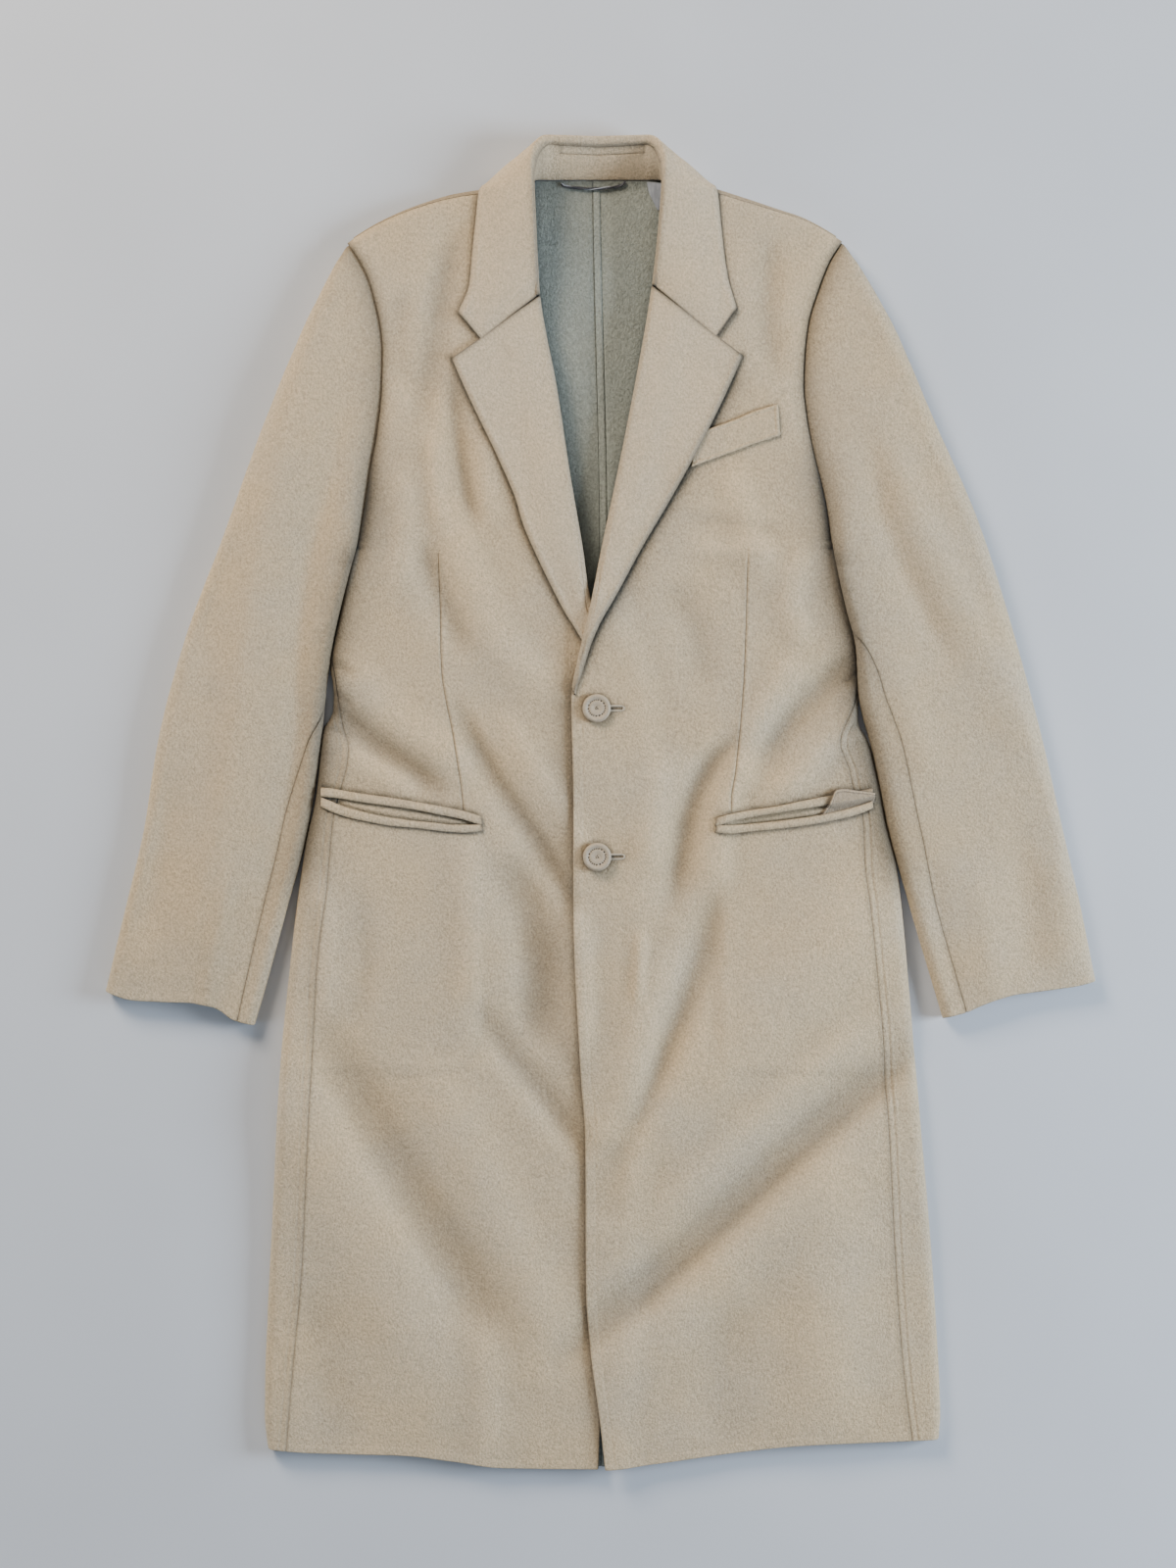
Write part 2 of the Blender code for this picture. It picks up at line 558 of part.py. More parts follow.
def inner_point(side, step):
    """Inner end of a front row: on the front edge, behind the roll, or on the neck seam."""
    x = inner_edge(side, 0)
    for _ in range(SOLVE_ROUNDS):
        level = row_level(step, x, side)
        inset = HALF + (ROLL_INSET - HALF) * ease((level - INSET_START[side]) / INSET_RISE)
        inset += (NECK_INSET - ROLL_INSET) * ease((level - NECK_INSET_LEVEL) / NECK_INSET_RISE)
        x = inner_edge(side, level) + side * inset
    return x


FRONT_ACROSS = 10


def make_front(side):
    """Front panel: from the side seam and armhole to its inner edge, up to the shoulder seam."""
    rows = []
    for step in LOWER_STEPS + UPPER_STEPS:
        start = outer_point(side, step, "seam", 1)
        end = inner_point(side, step)
        row = []
        for k in range(FRONT_ACROSS + 1):
            x = start + (end - start) * k / FRONT_ACROSS
            y = row_level(step, x, side)
            row.append((x, y, body_mid(side, x, y)))
        rows.append(row)
    normals = [[body_normal(side, x, y) for x, y, _ in row] for row in rows]
    return wall("front_" + SIDE_NAME[side], rows, CAMEL, normals=normals)


SEAM_TURN_SHARE = 0.75      # the fold's rounding takes up at most this share of the way to the seam


def make_side(side):
    """Side panel: from the hidden back seam, round the fold, to the front seam."""
    rows, normals = [], []
    for step in LOWER_STEPS:
        x = outer_point(side, step, "seam", -1)
        y = row_level(step, x, side)
        if step == LOWER_ROWS:
            y -= ARMHOLE_SEAM
        fold = side_out(side, "fold", y) - HALF
        reach = column(BODY_HEIGHT, "level", "side_round", y)
        seam_in = fold - abs(x)
        back_in = fold - side_out(side, "back_seam", y) - seam_share(y)
        top_in = min(reach, SEAM_TURN_SHARE * seam_in)
        turn = math.acos(1 - top_in / reach)
        row, aims = [], []
        for inward in (back_in, (back_in + reach) / 2, reach):
            row.append((side * (fold - inward), y, HALF))
            aims.append((0, 0, -1))
        for angle in (60, 30, 0):
            inward = reach * (1 - math.cos(math.radians(angle)))
            spot = side * (fold - inward)
            row.append((spot, y, 2 * body_mid(side, side * fold, y) - body_mid(side, spot, y)))
            aims.append((side, 0, 0) if angle == 0 else body_normal(side, spot, y) * (1, 1, -1))
        for inward in [reach * (1 - math.cos(turn * share)) for share in (1 / 3, 2 / 3, 1)]:
            spot = side * (fold - inward)
            row.append((spot, y, body_mid(side, spot, y)))
            aims.append(body_normal(side, spot, y))
        row.append((x, y, body_mid(side, x, y)))
        aims.append(body_normal(side, x, y))
        rows.append(row)
        normals.append(aims)
    return wall("side_" + SIDE_NAME[side], rows, CAMEL, normals=normals)


BACK_STEPS = (0, 4, 8, 10) + tuple(range(LOWER_ROWS, LOWER_ROWS + UPPER_ROWS + 1))
BACK_ACROSS = 6
BACK_CROWDING = 0.85        # below 1, a back row's points stand closer towards its outer end
NECK_TURN_DOWN = 9.0        # start of the rise to the neck seam, below it
NECK_TURN_RUN = 7.2
PAST_UPRIGHT = 1.25         # share of the rise reached at the seam itself
NECK_BLEND = (4.0, 12.0)    # inside the neck's end where neck and shoulder rows start to mix, and over what


def make_back(side):
    """Back panel: flat on the floor, then over the shoulder fold to the forward seam."""
    rows = []
    for step in BACK_STEPS:
        outer = outer_point(side, step, "back_seam", 1)
        row = []
        for k in range(BACK_ACROSS + 1):
            level = row_level(step, outer, side)
            start = centre_back(level) + side * SEAM
            x = start + (outer - start) * (k / BACK_ACROSS) ** BACK_CROWDING
            row.append((x, row_level(step, x, side), HALF))
        rows.append(row)
    last = rows[-1]
    for angle in (60, 30, 0, -1):
        row = []
        for x, _, _ in last:
            fold = shoulder(side, x) - HALF
            inward = SHOULDER_ROUND * (1 - math.cos(math.radians(max(angle, 0))))
            middle = body_mid(side, x, fold)
            if angle >= 0:
                over = (x, fold - inward, 2 * middle - body_mid(side, x, fold - inward))
            else:
                inward = seam_drop(x) - SHOULDER_SEAM
                over = (x, fold - inward, body_mid(side, x, fold - inward))
            rise = (90 - angle) / 90 if angle >= 0 else PAST_UPRIGHT
            level = NECK_SEAM_LEVEL - NECK_TURN_DOWN + NECK_TURN_RUN * rise
            low = (x, level, HALF + NECK_LIP * rise**2)
            blend = ease((abs(x) - NECK_HALF + NECK_BLEND[0]) / NECK_BLEND[1])
            row.append(tuple(a * (1 - blend) + b * blend for a, b in zip(low, over)))
        rows.append(row)
    return wall("back_" + SIDE_NAME[side], rows, SAGE)


# --- sleeves -----------------------------------------------------------------------------------------
SLEEVE_ROWS = 12
FOLD_ANGLES = (90, 72, 54, 36, 18, 0)
FLAT_POINTS = 12            # between the two folds
ROW_CROWDING = 1.1          # above 1, rows stand closer towards the armhole
NEAR_SEAM_TOP = (0, 8, 16, 24, 32, 40)      # lengths from the front seam round the top sleeve
NEAR_SEAM_UNDER = (0, 7, 14, 21, 28, 36)
NEAR_FOLD = (-8, 0, 8, 18)          # lengths from the outer fold
TOP_FLAT_STOPS = 16         # the top sleeve's even points end this far before the outer fold
ALONG_RING = 1.5            # half the stride used when a direction round a ring is taken


def sleeve_value(side, name, at):
    rows = SLEEVES[side]
    return flow(range(len(rows)), [getattr(r, name) for r in rows], at)


def sleeve_plan(side, at, share):
    """Place across a sleeve row: share 0 at the outer edge, 1 at the inner edge."""
    outer = np.array((sleeve_value(side, "outer", at), sleeve_value(side, "outer_y", at)))
    inner = np.array((sleeve_value(side, "inner", at), sleeve_value(side, "inner_y", at)))
    spot = outer + (inner - outer) * share
    kept = flow(range(len(ARMHOLE_EASE)), ARMHOLE_EASE, at)
    first = SLEEVES[side][0]
    level = first.outer_y + (first.inner_y - first.outer_y) * share
    chord = first.outer + (first.inner - first.outer) * share
    spot[0] += kept * (armhole(side, level) + ARMHOLE_SEAM - chord)
    last = ease((at - len(SLEEVES[side]) + CUFF_FLOW[0]) / CUFF_FLOW[1])
    spot[1] += last * CUFF_WAVE * math.sin(math.pi * share) ** 2
    return spot


def sleeve_ring(side, at):
    """One cross row of a sleeve as a closed line: places, with lengths from the inner fold."""
    width = math.dist(sleeve_plan(side, at, 0), sleeve_plan(side, at, 1)) - CLOTH
    total = sleeve_value(side, "total", at)
    reach = {
        "inner": sleeve_value(side, "round_inner", at),
        "outer": sleeve_value(side, "round_outer", at),
    }
    inner_turn = [reach["inner"] * (1 - math.cos(math.radians(a))) for a in FOLD_ANGLES]
    outer_turn = [reach["outer"] * (1 - math.cos(math.radians(a))) for a in FOLD_ANGLES]
    flat = np.linspace(reach["inner"], width - reach["outer"], FLAT_POINTS + 2)[1:-1]
    across = sorted(inner_turn) + list(flat) + [width - d for d in outer_turn]
    follow = ease(1 - at / HEAD_FLOW)

    def height(inward, top):
        lift = rounding(inward, reach["inner"]) * rounding(width - inward, reach["outer"])
        spread = (total - CLOTH) / 2
        own = total / 2 + (lift if top else -lift) * spread
        x, y = sleeve_plan(side, at, 1 - (inward + HALF) / (width + CLOTH))
        if top:
            body = body_mid(side, side * min(x, armhole(side, y)), y)
        else:
            body = HALF
            if width - inward < reach["outer"]:
                body = own
        return own * (1 - follow) + body * follow

    def place(inward, top):
        x, y = sleeve_plan(side, at, 1 - (inward + HALF) / (width + CLOTH))
        return (side * x, y, height(inward, top))

    upper = [place(d, True) for d in across]
    under = [place(d, False) for d in across[1:-1]]
    line = np.array(upper + under[::-1])
    closed = np.vstack([line, line[:1]])
    lengths = np.concatenate([[0], np.cumsum(np.linalg.norm(np.diff(closed, axis=0), axis=1))])
    return closed, lengths, lengths[len(upper) - 1]


def ring_point(closed, lengths, at):
    at = at % lengths[-1]
    return np.array([np.interp(at, lengths, closed[:, k]) for k in range(3)])


def ring_wall(name, side, rings, picks, colour):
    """A wall along the same places of each ring, square to the rings' own surface."""
    rows = [[ring_point(*ring, q) for q in spots] for ring, spots in zip(rings, picks)]
    across = [[ring_point(*ring, q + ALONG_RING) - ring_point(*ring, q - ALONG_RING) for q in spots]
              for ring, spots in zip(rings, picks)]
    along = np.gradient(np.asarray(rows), axis=0)
    normal = np.cross(along, np.asarray(across)) * side
    normal /= np.linalg.norm(normal, axis=2, keepdims=True)
    wall(name, rows, colour, normals=normal)


def make_sleeve(side):
    """Two pieces round one flattened tube: the wide top sleeve and the narrow under sleeve."""
    rings, top_picks, under_picks = [], [], []
    sections = len(SLEEVES[side]) - 1
    for step in range(SLEEVE_ROWS + 1):
        at = sections * (step / SLEEVE_ROWS) ** ROW_CROWDING
        closed, lengths, outer_fold = sleeve_ring(side, at)
        rings.append((closed, lengths))
        front_seam = sleeve_value(side, "seam", at)
        near = [front_seam + SEAM + d for d in NEAR_SEAM_TOP]
        rest = list(np.linspace(near[-1], outer_fold - TOP_FLAT_STOPS, 6))[1:]
        fold = [outer_fold + d for d in (*NEAR_FOLD, BACK_SEAM_IN - SEAM)]
        top_picks.append(near + rest + fold)
        under = [front_seam - SEAM - d for d in NEAR_SEAM_UNDER]
        end = outer_fold + BACK_SEAM_IN + SEAM - lengths[-1]
        under_picks.append(under + list(np.linspace(under[-1], end, 4))[1:])
    ring_wall("sleeve_top_" + SIDE_NAME[side], side, rings, top_picks, CAMEL)
    ring_wall("sleeve_under_" + SIDE_NAME[side], side, rings, under_picks, CAMEL_DARK)


# --- lapels and collar ---------------------------------------------------------------------------------
LAPEL_STEPS = 11
LAPEL_ACROSS = 5
LEG_LONG = 1.0              # short flat leg of the lapel that meets the front's own edge
UNDER_ANGLES = (-90, -130, 180)     # round the roll: square to the front's edge
OVER_ANGLES = (130, 90)             # and then towards the lapel's own edge


def make_lapel(side):
    """A revers: a short leg beside the front's edge, the roll, and the wide turned-back leg."""
    table = LAPELS[side]
    radius = (CLOTH + GAP + ROLL_OPEN) / 2
    rows = []
    for step in range(LAPEL_STEPS + 1):
        at = (len(table) - 1) * step / LAPEL_STEPS
        stations = range(len(table))
        level = flow(stations, [r.roll_level for r in table], at)
        if step == 0:
            level -= SEAM
        roll = np.array((inner_edge(side, level), level))
        edge = np.array((flow(stations, [r.edge_x for r in table], at),
                         flow(stations, [r.edge_y for r in table], at)))
        width = np.linalg.norm(edge - roll)
        aim = (edge - roll) / width
        lean = abs(aim[0])
        row = []
        base = body_mid(side, roll[0] + side * ROLL_INSET, roll[1])
        row.append((roll[0] + side * (HALF + radius + LEG_LONG), roll[1], base))
        for angle in UNDER_ANGLES + OVER_ANGLES:
            turn = math.radians(angle)
            inward = (HALF + radius) + radius * math.cos(turn)
            reach = np.array((side * inward, 0.0)) if angle in UNDER_ANGLES else aim * inward / lean
            row.append((*(roll + reach), base + radius + radius * math.sin(turn)))
        begin = (HALF + radius) / lean
        for k in range(1, LAPEL_ACROSS + 1):
            share = k / LAPEL_ACROSS
            inward = begin + (width - begin) * share
            spot = roll + aim * inward
            rest = top_face(side, *spot, around=LAPEL_CLEAR) + GAP + HALF + welt_lift(side, spot)
            high = base + 2 * radius
            fall = ease(share * LAPEL_FALL)
            row.append((*spot, max(rest, high * (1 - fall) + rest * fall)))
        rows.append(row)
    return wall("lapel_" + SIDE_NAME[side], rows, CAMEL)


def welt_lift(side, spot):
    """Lift of the right lapel where the breast welt runs under its edge."""
    if side == LEFT:
        return 0.0
    near = math.dist(spot, WELT_UNDER)
    return (CLOTH + GAP) * (1 - ease((near - WELT_LIFT[0]) / WELT_LIFT[1]))


HALF_STEPS = 12             # collar sections from a front end to the centre back
SECTION_SHARES = (0, 0.12, 0.24, 0.6, 1.0)      # where a section's known points lie along it
SECTION_PICKS = (0, 0.12, 0.24, 0.42, 0.6, NOTCH_SHARE, 0.88, 1.0)
FIRST_ON_FRONT = 3          # first picked point that may rest on a front


def collar_value(rows, name, at):
    return flow(range(len(rows)), [getattr(r, name) for r in rows], at)


def collar_section(rows, side, at):
    """Middle-surface points of the collar across one section, from its stand seam."""
    read = {n: collar_value(rows, n, at) for n in CollarRow._fields}
    roll = np.array((read["roll_x"], read["roll_y"]))
    edge = np.array((read["edge_x"], read["edge_y"]))
    belly = np.array((read["belly_x"], read["belly_y"]))
    away = (belly - roll) / np.linalg.norm(belly - roll)
    lean = read["lean"]
    seam = roll - away * lean
    seam_z = read["roll_z"] - STAND_BELOW_ROLL
    turn = HALF if lean < 0 else -TURN_IN * lean
    points = [
        (*seam, seam_z),
        (*(roll + away * turn), read["roll_z"] - TURN_BELOW_ROLL),
        (*(roll + away * ROLL_TOP_IN), read["roll_z"]),
        (*belly, read["belly_z"]),
        (*edge, read["edge_z"]),
    ]
    line = [[flow(SECTION_SHARES, [p[k] for p in points], s) for k in range(3)]
            for s in SECTION_PICKS]
    droop = 1 - ease(at / NOTCH_FLOW)
    if droop:
        corner = np.array(line[SECTION_PICKS.index(NOTCH_SHARE)][:2])
        sag = np.array(NOTCH[side]) + np.array((0, NOTCH_RISE)) - corner
        before = np.linalg.norm(corner - roll)
        after = np.linalg.norm(edge - corner)
        for share, point in zip(SECTION_PICKS, line):
            if share <= NOTCH_SHARE:
                part = np.linalg.norm(np.array(point[:2]) - roll) / before
            else:
                part = np.linalg.norm(edge - np.array(point[:2])) / after
            point[0] += sag[0] * part * droop
            point[1] += sag[1] * part * droop
    lowest, highest_level = LIES_ON_FRONT
    for point in line[FIRST_ON_FRONT:]:
        if point[2] > lowest and edge[1] < highest_level:
            floor = top_face(side, point[0], point[1], around=COLLAR_CLEAR) + GAP + HALF
            point[2] = max(point[2], floor)
    return line, seam, seam_z, read


def collar_lines():
    """Collar sections and stand sections from the left end to the right end."""
    left = COLLAR_LEFT + (COLLAR_BACK,)
    right = COLLAR_RIGHT + (COLLAR_BACK,)
    falls, stands = [], []
    order = [(LEFT, left, s) for s in range(HALF_STEPS + 1)]
    order += [(RIGHT, right, s) for s in range(HALF_STEPS - 1, -1, -1)]
    for side, rows, step in order:
        at = (len(rows) - 1) * step / HALF_STEPS
        line, seam, seam_z, read = collar_section(rows, side, at)
        falls.append(line)
        neck = np.array((read["neck_x"], read["neck_y"], read["neck_z"]))
        top = np.array((*seam, seam_z))
        down = (neck - top) / np.linalg.norm(neck - top)
        arrive = top - np.array(line[1])
        arrive /= np.linalg.norm(arrive)
        turn = math.acos(min(max(float(arrive @ down), -1.0), 1.0))
        top = top + down * (GAP + CLOTH * math.sin(turn / 2))
        stands.append([tuple(top + (neck - top) * share) for share in (0, 0.5, 1)])
    return falls, stands


def make_collar():
    """The collar's fall and its stand."""
    falls, stands = collar_lines()
    wall("collar", falls, CAMEL)
    wall("collar_stand", stands, CAMEL_DARK)


# --- small pieces -----------------------------------------------------------------------------------------
STRIP_PARTS = 8             # parts along a jet and along the pocket cloth


def jet_strip(name, side, line, ends):
    """A jet: a narrow strip along a line of the front, lying on its upper face."""
    rows = []
    outs = [p.out for p in line]
    levels = [p.level for p in line]
    for k in range(STRIP_PARTS + 1):
        out = ends[0] + (ends[1] - ends[0]) * k / STRIP_PARTS
        level = flow(outs, levels, out)
        row = []
        for share in (0, 0.5, 1):
            x = side * out
            y = level - JET_WIDE * share
            row.append((x, y, top_face(side, x, y, around=JET_CLEAR) + GAP + HALF))
        rows.append(row)
    wall(name, rows, CAMEL)


def patch(name, corners, lift, thick, colour, on_front):
    """A patch of cloth with the given corners, level or following the right front."""
    centre = np.mean(np.array(corners), axis=0)
    count = len(corners)
    points, faces = [], []
    for level in (thick, 0.0):
        for x, y in list(corners) + [tuple(centre)]:
            base = top_face(RIGHT, x, y, around=PATCH_CLEAR) if on_front else 0.0
            points.append((x, y, base + lift + level))
    for k in range(count):
        following = (k + 1) % count
        faces.append((k, following, count))
        faces.append((count + 1 + following, count + 1 + k, 2 * count + 1))
        faces.append((following, k, count + 1 + k, count + 1 + following))
    return add_object(name, points, faces, colour)


def cut(piece, cutter):
    """Cut one object with another, which stays as a hidden guide."""
    cutter.hide_render = True
    cutter.display_type = "WIRE"
    modifier = piece.modifiers.new("cut_" + cutter.name, "BOOLEAN")
    modifier.operation = "DIFFERENCE"
    modifier.object = cutter


def prism(name, outline):
    """An upright cutting guide from a closed outline."""
    count = len(outline)
    points = [(x, y, z) for z in (GUIDE_LOW, GUIDE_HIGH) for x, y in outline]
    faces = [tuple(reversed(range(count))), tuple(range(count, 2 * count))]
    for k in range(count):
        following = (k + 1) % count
        faces.append((k, following, count + following, count + k))
    return add_object(name, points, faces, CAMEL)


MOUTH_POINTS = 7            # along each edge of a pocket mouth


def make_pocket(side, front):
    """Two jets along a gaping mouth, the mouth itself, and the cloth seen behind it."""
    tag = SIDE_NAME[side]
    lines = POCKETS[side]
    ends = (lines["upper"][0].out, lines["upper"][-1].out)
    fold_clear = side_out(side, "fold", JET_LEVEL) - JET_SIDE_CLEAR
    upper = [JetLine(p.out, p.level + JET_WIDE) for p in lines["upper"]]
    reach = (ends[0], min(ends[1], fold_clear))
    jet_strip("jet_upper_" + tag, side, upper, reach)
    jet_strip("jet_lower_" + tag, side, lines["lower"], reach)
    start, stop = MOUTH_ENDS[side]
    steps = np.linspace(start, stop, MOUTH_POINTS)
    top = [(side * o, column(lines["upper"], "out", "level", o) - MOUTH_TUCK) for o in steps]
    low = [(side * o, column(lines["lower"], "out", "level", o) + MOUTH_TUCK) for o in steps]
    cut(front, prism("mouth_guide_" + tag, top + low[::-1]))
    rows = []
    first = start - POCKET_CLOTH_PAST[0]
    last = stop + POCKET_CLOTH_PAST[1]
    for k in range(STRIP_PARTS + 1):
        out = first + (last - first) * k / STRIP_PARTS
        level = column(lines["upper"], "out", "level", out)
        row = []
        for down in POCKET_CLOTH_ROWS:
            x = side * out
            y = level - down
            under = min(hits(x, y, ["front_" + tag], UNDER_FRONT, False, POCKET_CLOTH_CLEAR))
            row.append((x, y, under - GAP - THIN / 2))
        rows.append(row)
    wall("pocket_cloth_" + tag, rows, CAMEL_DARK, THIN)


def make_button(name, front):
    """Cloth-covered shank button with a raised rim, standing in its keyhole slit."""
    x, y = BUTTONS[name]
    rest = top_face(RIGHT, x, y, around=BUTTON_RADIUS) + GAP
    foot = top_face(LEFT, x, y, around=SHANK_CLEAR) + GAP
    profile = [(SHANK_RADIUS, foot), (SHANK_RADIUS, rest)]
    profile += [(BUTTON_RADIUS - inward, rest + high) for inward, high in BUTTON_SECTION]
    turns = BUTTON_TURNS
    points, faces = [], []
    for k in range(turns):
        turn = 2 * math.pi * k / turns
        for radius, z in profile:
            points.append((x + radius * math.cos(turn), y + radius * math.sin(turn), z))
    count = len(profile)
    for k in range(turns):
        following = (k + 1) % turns
        for j in range(count - 1):
            faces.append((k * count + j, following * count + j,
                          following * count + j + 1, k * count + j + 1))
    faces.append([k * count for k in reversed(range(turns))])
    faces.append([k * count + count - 1 for k in range(turns)])
    add_object(name, points, faces, CAMEL)
    slit = []
    eye = HOLE_WIDE / 2
    for k in range(HOLE_TURNS + 1):
        turn = math.radians(90 + 180 * k / HOLE_TURNS)
        slit.append((x + eye * math.cos(turn), y + eye * math.sin(turn)))
    slit += [(x + HOLE_LONG, y - eye / 2), (x + HOLE_LONG, y + eye / 2)]
    cut(front, prism(name + "_guide", slit))


WELT_PARTS = 4


def make_welt():
    """The breast pocket's slanted welt."""
    rows = []
    top_in, top_out, low_out, low_in = (np.array(c) for c in WELT)
    for k in range(WELT_PARTS + 1):
        upper = top_in + (top_out - top_in) * k / WELT_PARTS
        lower = low_in + (low_out - low_in) * k / WELT_PARTS
        row = []
        for share in (0, 0.5, 1):
            x, y = upper + (lower - upper) * share
            row.append((x, y, top_face(RIGHT, x, y, around=WELT_CLEAR) + GAP + HALF))
        rows.append(row)
    wall("breast_welt", rows, CAMEL)


def make_loop():
    """Cord loop across the back neck, both ends against the stand."""
    spine = bpy.data.curves.new("hanger_loop", "CURVE")
    spine.dimensions = "3D"
    spine.bevel_depth = LOOP_RADIUS * MM
    spine.bevel_resolution = 2
    spine.use_fill_caps = True
    line = spine.splines.new("POLY")
    line.points.add(LOOP_POINTS - 1)
    height = CLOTH + GAP + LOOP_RADIUS + LOOP_CLEAR
    for k in range(LOOP_POINTS):
        at = (len(LOOP) - 1) * k / (LOOP_POINTS - 1)
        x = flow(range(len(LOOP)), [p[0] for p in LOOP], at)
        y = flow(range(len(LOOP)), [p[1] for p in LOOP], at)
        line.points[k].co = (x * MM, y * MM, height * MM, 1)
    piece = bpy.data.objects.new("hanger_loop", spine)
    spine.materials.append(finish_material("hanger_loop_finish", CORD_DARK, 0.4))
    bpy.context.scene.collection.objects.link(piece)


def main():
    clear_scene()
    fronts = {}
    for side in (LEFT, RIGHT):
        make_back(side)
        make_side(side)
        fronts[side] = make_front(side)
        make_sleeve(side)
        make_lapel(side)
        make_pocket(side, fronts[side])
    make_collar()
    for name in BUTTONS:
        make_button(name, fronts[RIGHT])
    make_welt()
    patch("flap_right", FLAP, GAP + CLOTH + GAP, CLOTH, CAMEL, on_front=True)
    patch("label", LABEL, LABEL_FOOT, SATIN, SILVER, on_front=False)
    make_loop()


main()
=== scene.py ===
"""The visible surfaces of a single-breasted overcoat of double-faced wool, laid flat on its back.

Tables hold millimetres in the coat's own frame: +x to the viewer's right, +y from the hem to the
collar, +z up, and the surface it lies on at z = 0. "Out" is a distance from the centre line.
Meshes are made in metres. Every cloth piece is a thin shell with rolled edges, laid on the same
form as its solid, with the creases of the cloth placed one by one.
"""
from __future__ import annotations

import logging
import math
from dataclasses import dataclass, field
from enum import Enum

import bpy
import numpy as np
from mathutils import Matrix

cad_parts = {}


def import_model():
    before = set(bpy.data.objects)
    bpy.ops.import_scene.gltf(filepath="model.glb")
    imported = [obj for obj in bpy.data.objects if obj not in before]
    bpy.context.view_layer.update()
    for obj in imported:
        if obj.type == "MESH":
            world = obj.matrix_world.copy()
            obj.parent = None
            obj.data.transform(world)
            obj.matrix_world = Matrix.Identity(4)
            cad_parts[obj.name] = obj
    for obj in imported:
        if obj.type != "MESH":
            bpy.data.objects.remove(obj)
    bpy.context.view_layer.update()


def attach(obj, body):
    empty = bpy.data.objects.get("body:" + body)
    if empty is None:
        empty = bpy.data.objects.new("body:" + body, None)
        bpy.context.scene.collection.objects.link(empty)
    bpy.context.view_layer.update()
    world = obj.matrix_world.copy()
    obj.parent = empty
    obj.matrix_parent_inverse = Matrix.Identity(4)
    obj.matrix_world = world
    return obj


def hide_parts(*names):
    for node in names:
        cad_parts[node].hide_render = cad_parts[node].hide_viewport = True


LOG = logging.getLogger("overcoat")
MM = 0.001
CLOTH = 2.4             # both faces of the wool together
HALF = CLOTH / 2
GAP = 0.3               # air between pieces that lie on each other
FELL = 7.0              # width of the turned and felled edge
UNDERARM = 229.0        # level where armholes, side folds and sleeves meet
HEM_LEVEL = -583.0      # lowest level of the hem
REVERS_START = 92.0     # level where the fronts begin to turn back
BODY = "root"
PAINTED_SHADE_ATTRIBUTE = "painted_shade_factor"       # painted shade at each point: below 1 in seams and hollows, above 1 on ridges

Array = np.ndarray
Pairs = tuple[tuple[float, float], ...]
Colour = tuple[float, float, float]
Material = bpy.types.Material
Piece = bpy.types.Object
Socket = bpy.types.NodeSocket


class Hand(Enum):
    """The side of the coat as the viewer sees it."""

    LEFT = -1
    RIGHT = 1

    @property
    def tag(self) -> str:
        """Ending of the piece names on this side."""
        return self.name.lower()


def by_hand(left: object, right: object) -> object:
    """A dataclass field that holds a value for each side."""
    return field(default_factory=lambda: {Hand.LEFT: left, Hand.RIGHT: right})


# --- sums ---
class Curve:
    """Smooth line through (station, value) pairs that never overshoots them."""

    def __init__(self, pairs: Pairs | list[tuple[float, float]]) -> None:
        """Work out the slopes at every pair.

        Args:
            pairs: stations in rising order, each with its value.
        """
        table = np.asarray(pairs, float)
        self.at, self.value = table[:, 0], table[:, 1]
        step = np.diff(self.at)
        slope = np.diff(self.value) / step
        self.slope = np.zeros_like(self.value)
        self.slope[0], self.slope[-1] = slope[0], slope[-1]
        for i in range(1, len(self.at) - 1):
            if slope[i - 1] * slope[i] > 0:
                before, after = 2 * step[i] + step[i - 1], step[i] + 2 * step[i - 1]
                self.slope[i] = (before + after) / (before / slope[i - 1] + after / slope[i])

    def __call__(self, at: Array | float) -> Array:
        """Read the curve.

        Args:
            at: places along the stations; those outside take the end values.

        Returns:
            The values, in the shape of ``at``.
        """
        at = np.clip(np.asarray(at, float), self.at[0], self.at[-1])
        i = np.clip(np.searchsorted(self.at, at, side="right") - 1, 0, len(self.at) - 2)
        step = self.at[i + 1] - self.at[i]
        t = (at - self.at[i]) / step
        return ((2 * t**3 - 3 * t**2 + 1) * self.value[i]
                + (t**3 - 2 * t**2 + t) * step * self.slope[i]
                + (3 * t**2 - 2 * t**3) * self.value[i + 1]
                + (t**3 - t**2) * step * self.slope[i + 1])


def ease(t: Array | float) -> Array:
    """Smooth step from 0 to 1."""
    t = np.clip(t, 0.0, 1.0)
    return t * t * (3 - 2 * t)


def bell(off: Array | float, width: Array | float) -> Array:
    """Soft hump that is 1 at zero and a tenth at ``width``."""
    return np.exp(-2.3 * (np.asarray(off) / width) ** 2)


def rounding(distance: Array, reach: Array | float) -> Array:
    """Share of full height at a distance in from a rounded fold."""
    t = np.clip(distance / reach, 0.0, 1.0)
    return np.sqrt(1 - (1 - t) ** 2)


def run_along(points: Array) -> Array:
    """Length from the first of a line's points to each of them."""
    return np.concatenate([[0], np.cumsum(np.linalg.norm(np.diff(points, axis=0), axis=1))])


def smooth_line(knots: Pairs, count: int) -> tuple[Array, Array]:
    """Lay a smooth line through given knots.

    Args:
        knots: the points that it goes through.
        count: how many even places to read.

    Returns:
        Lengths along the line, and the points there, a row for each axis.
    """
    table = np.asarray(knots, float)
    run = run_along(table)
    along = np.linspace(0, run[-1], count)
    return along, np.array([Curve(list(zip(run, column)))(along) for column in table.T])


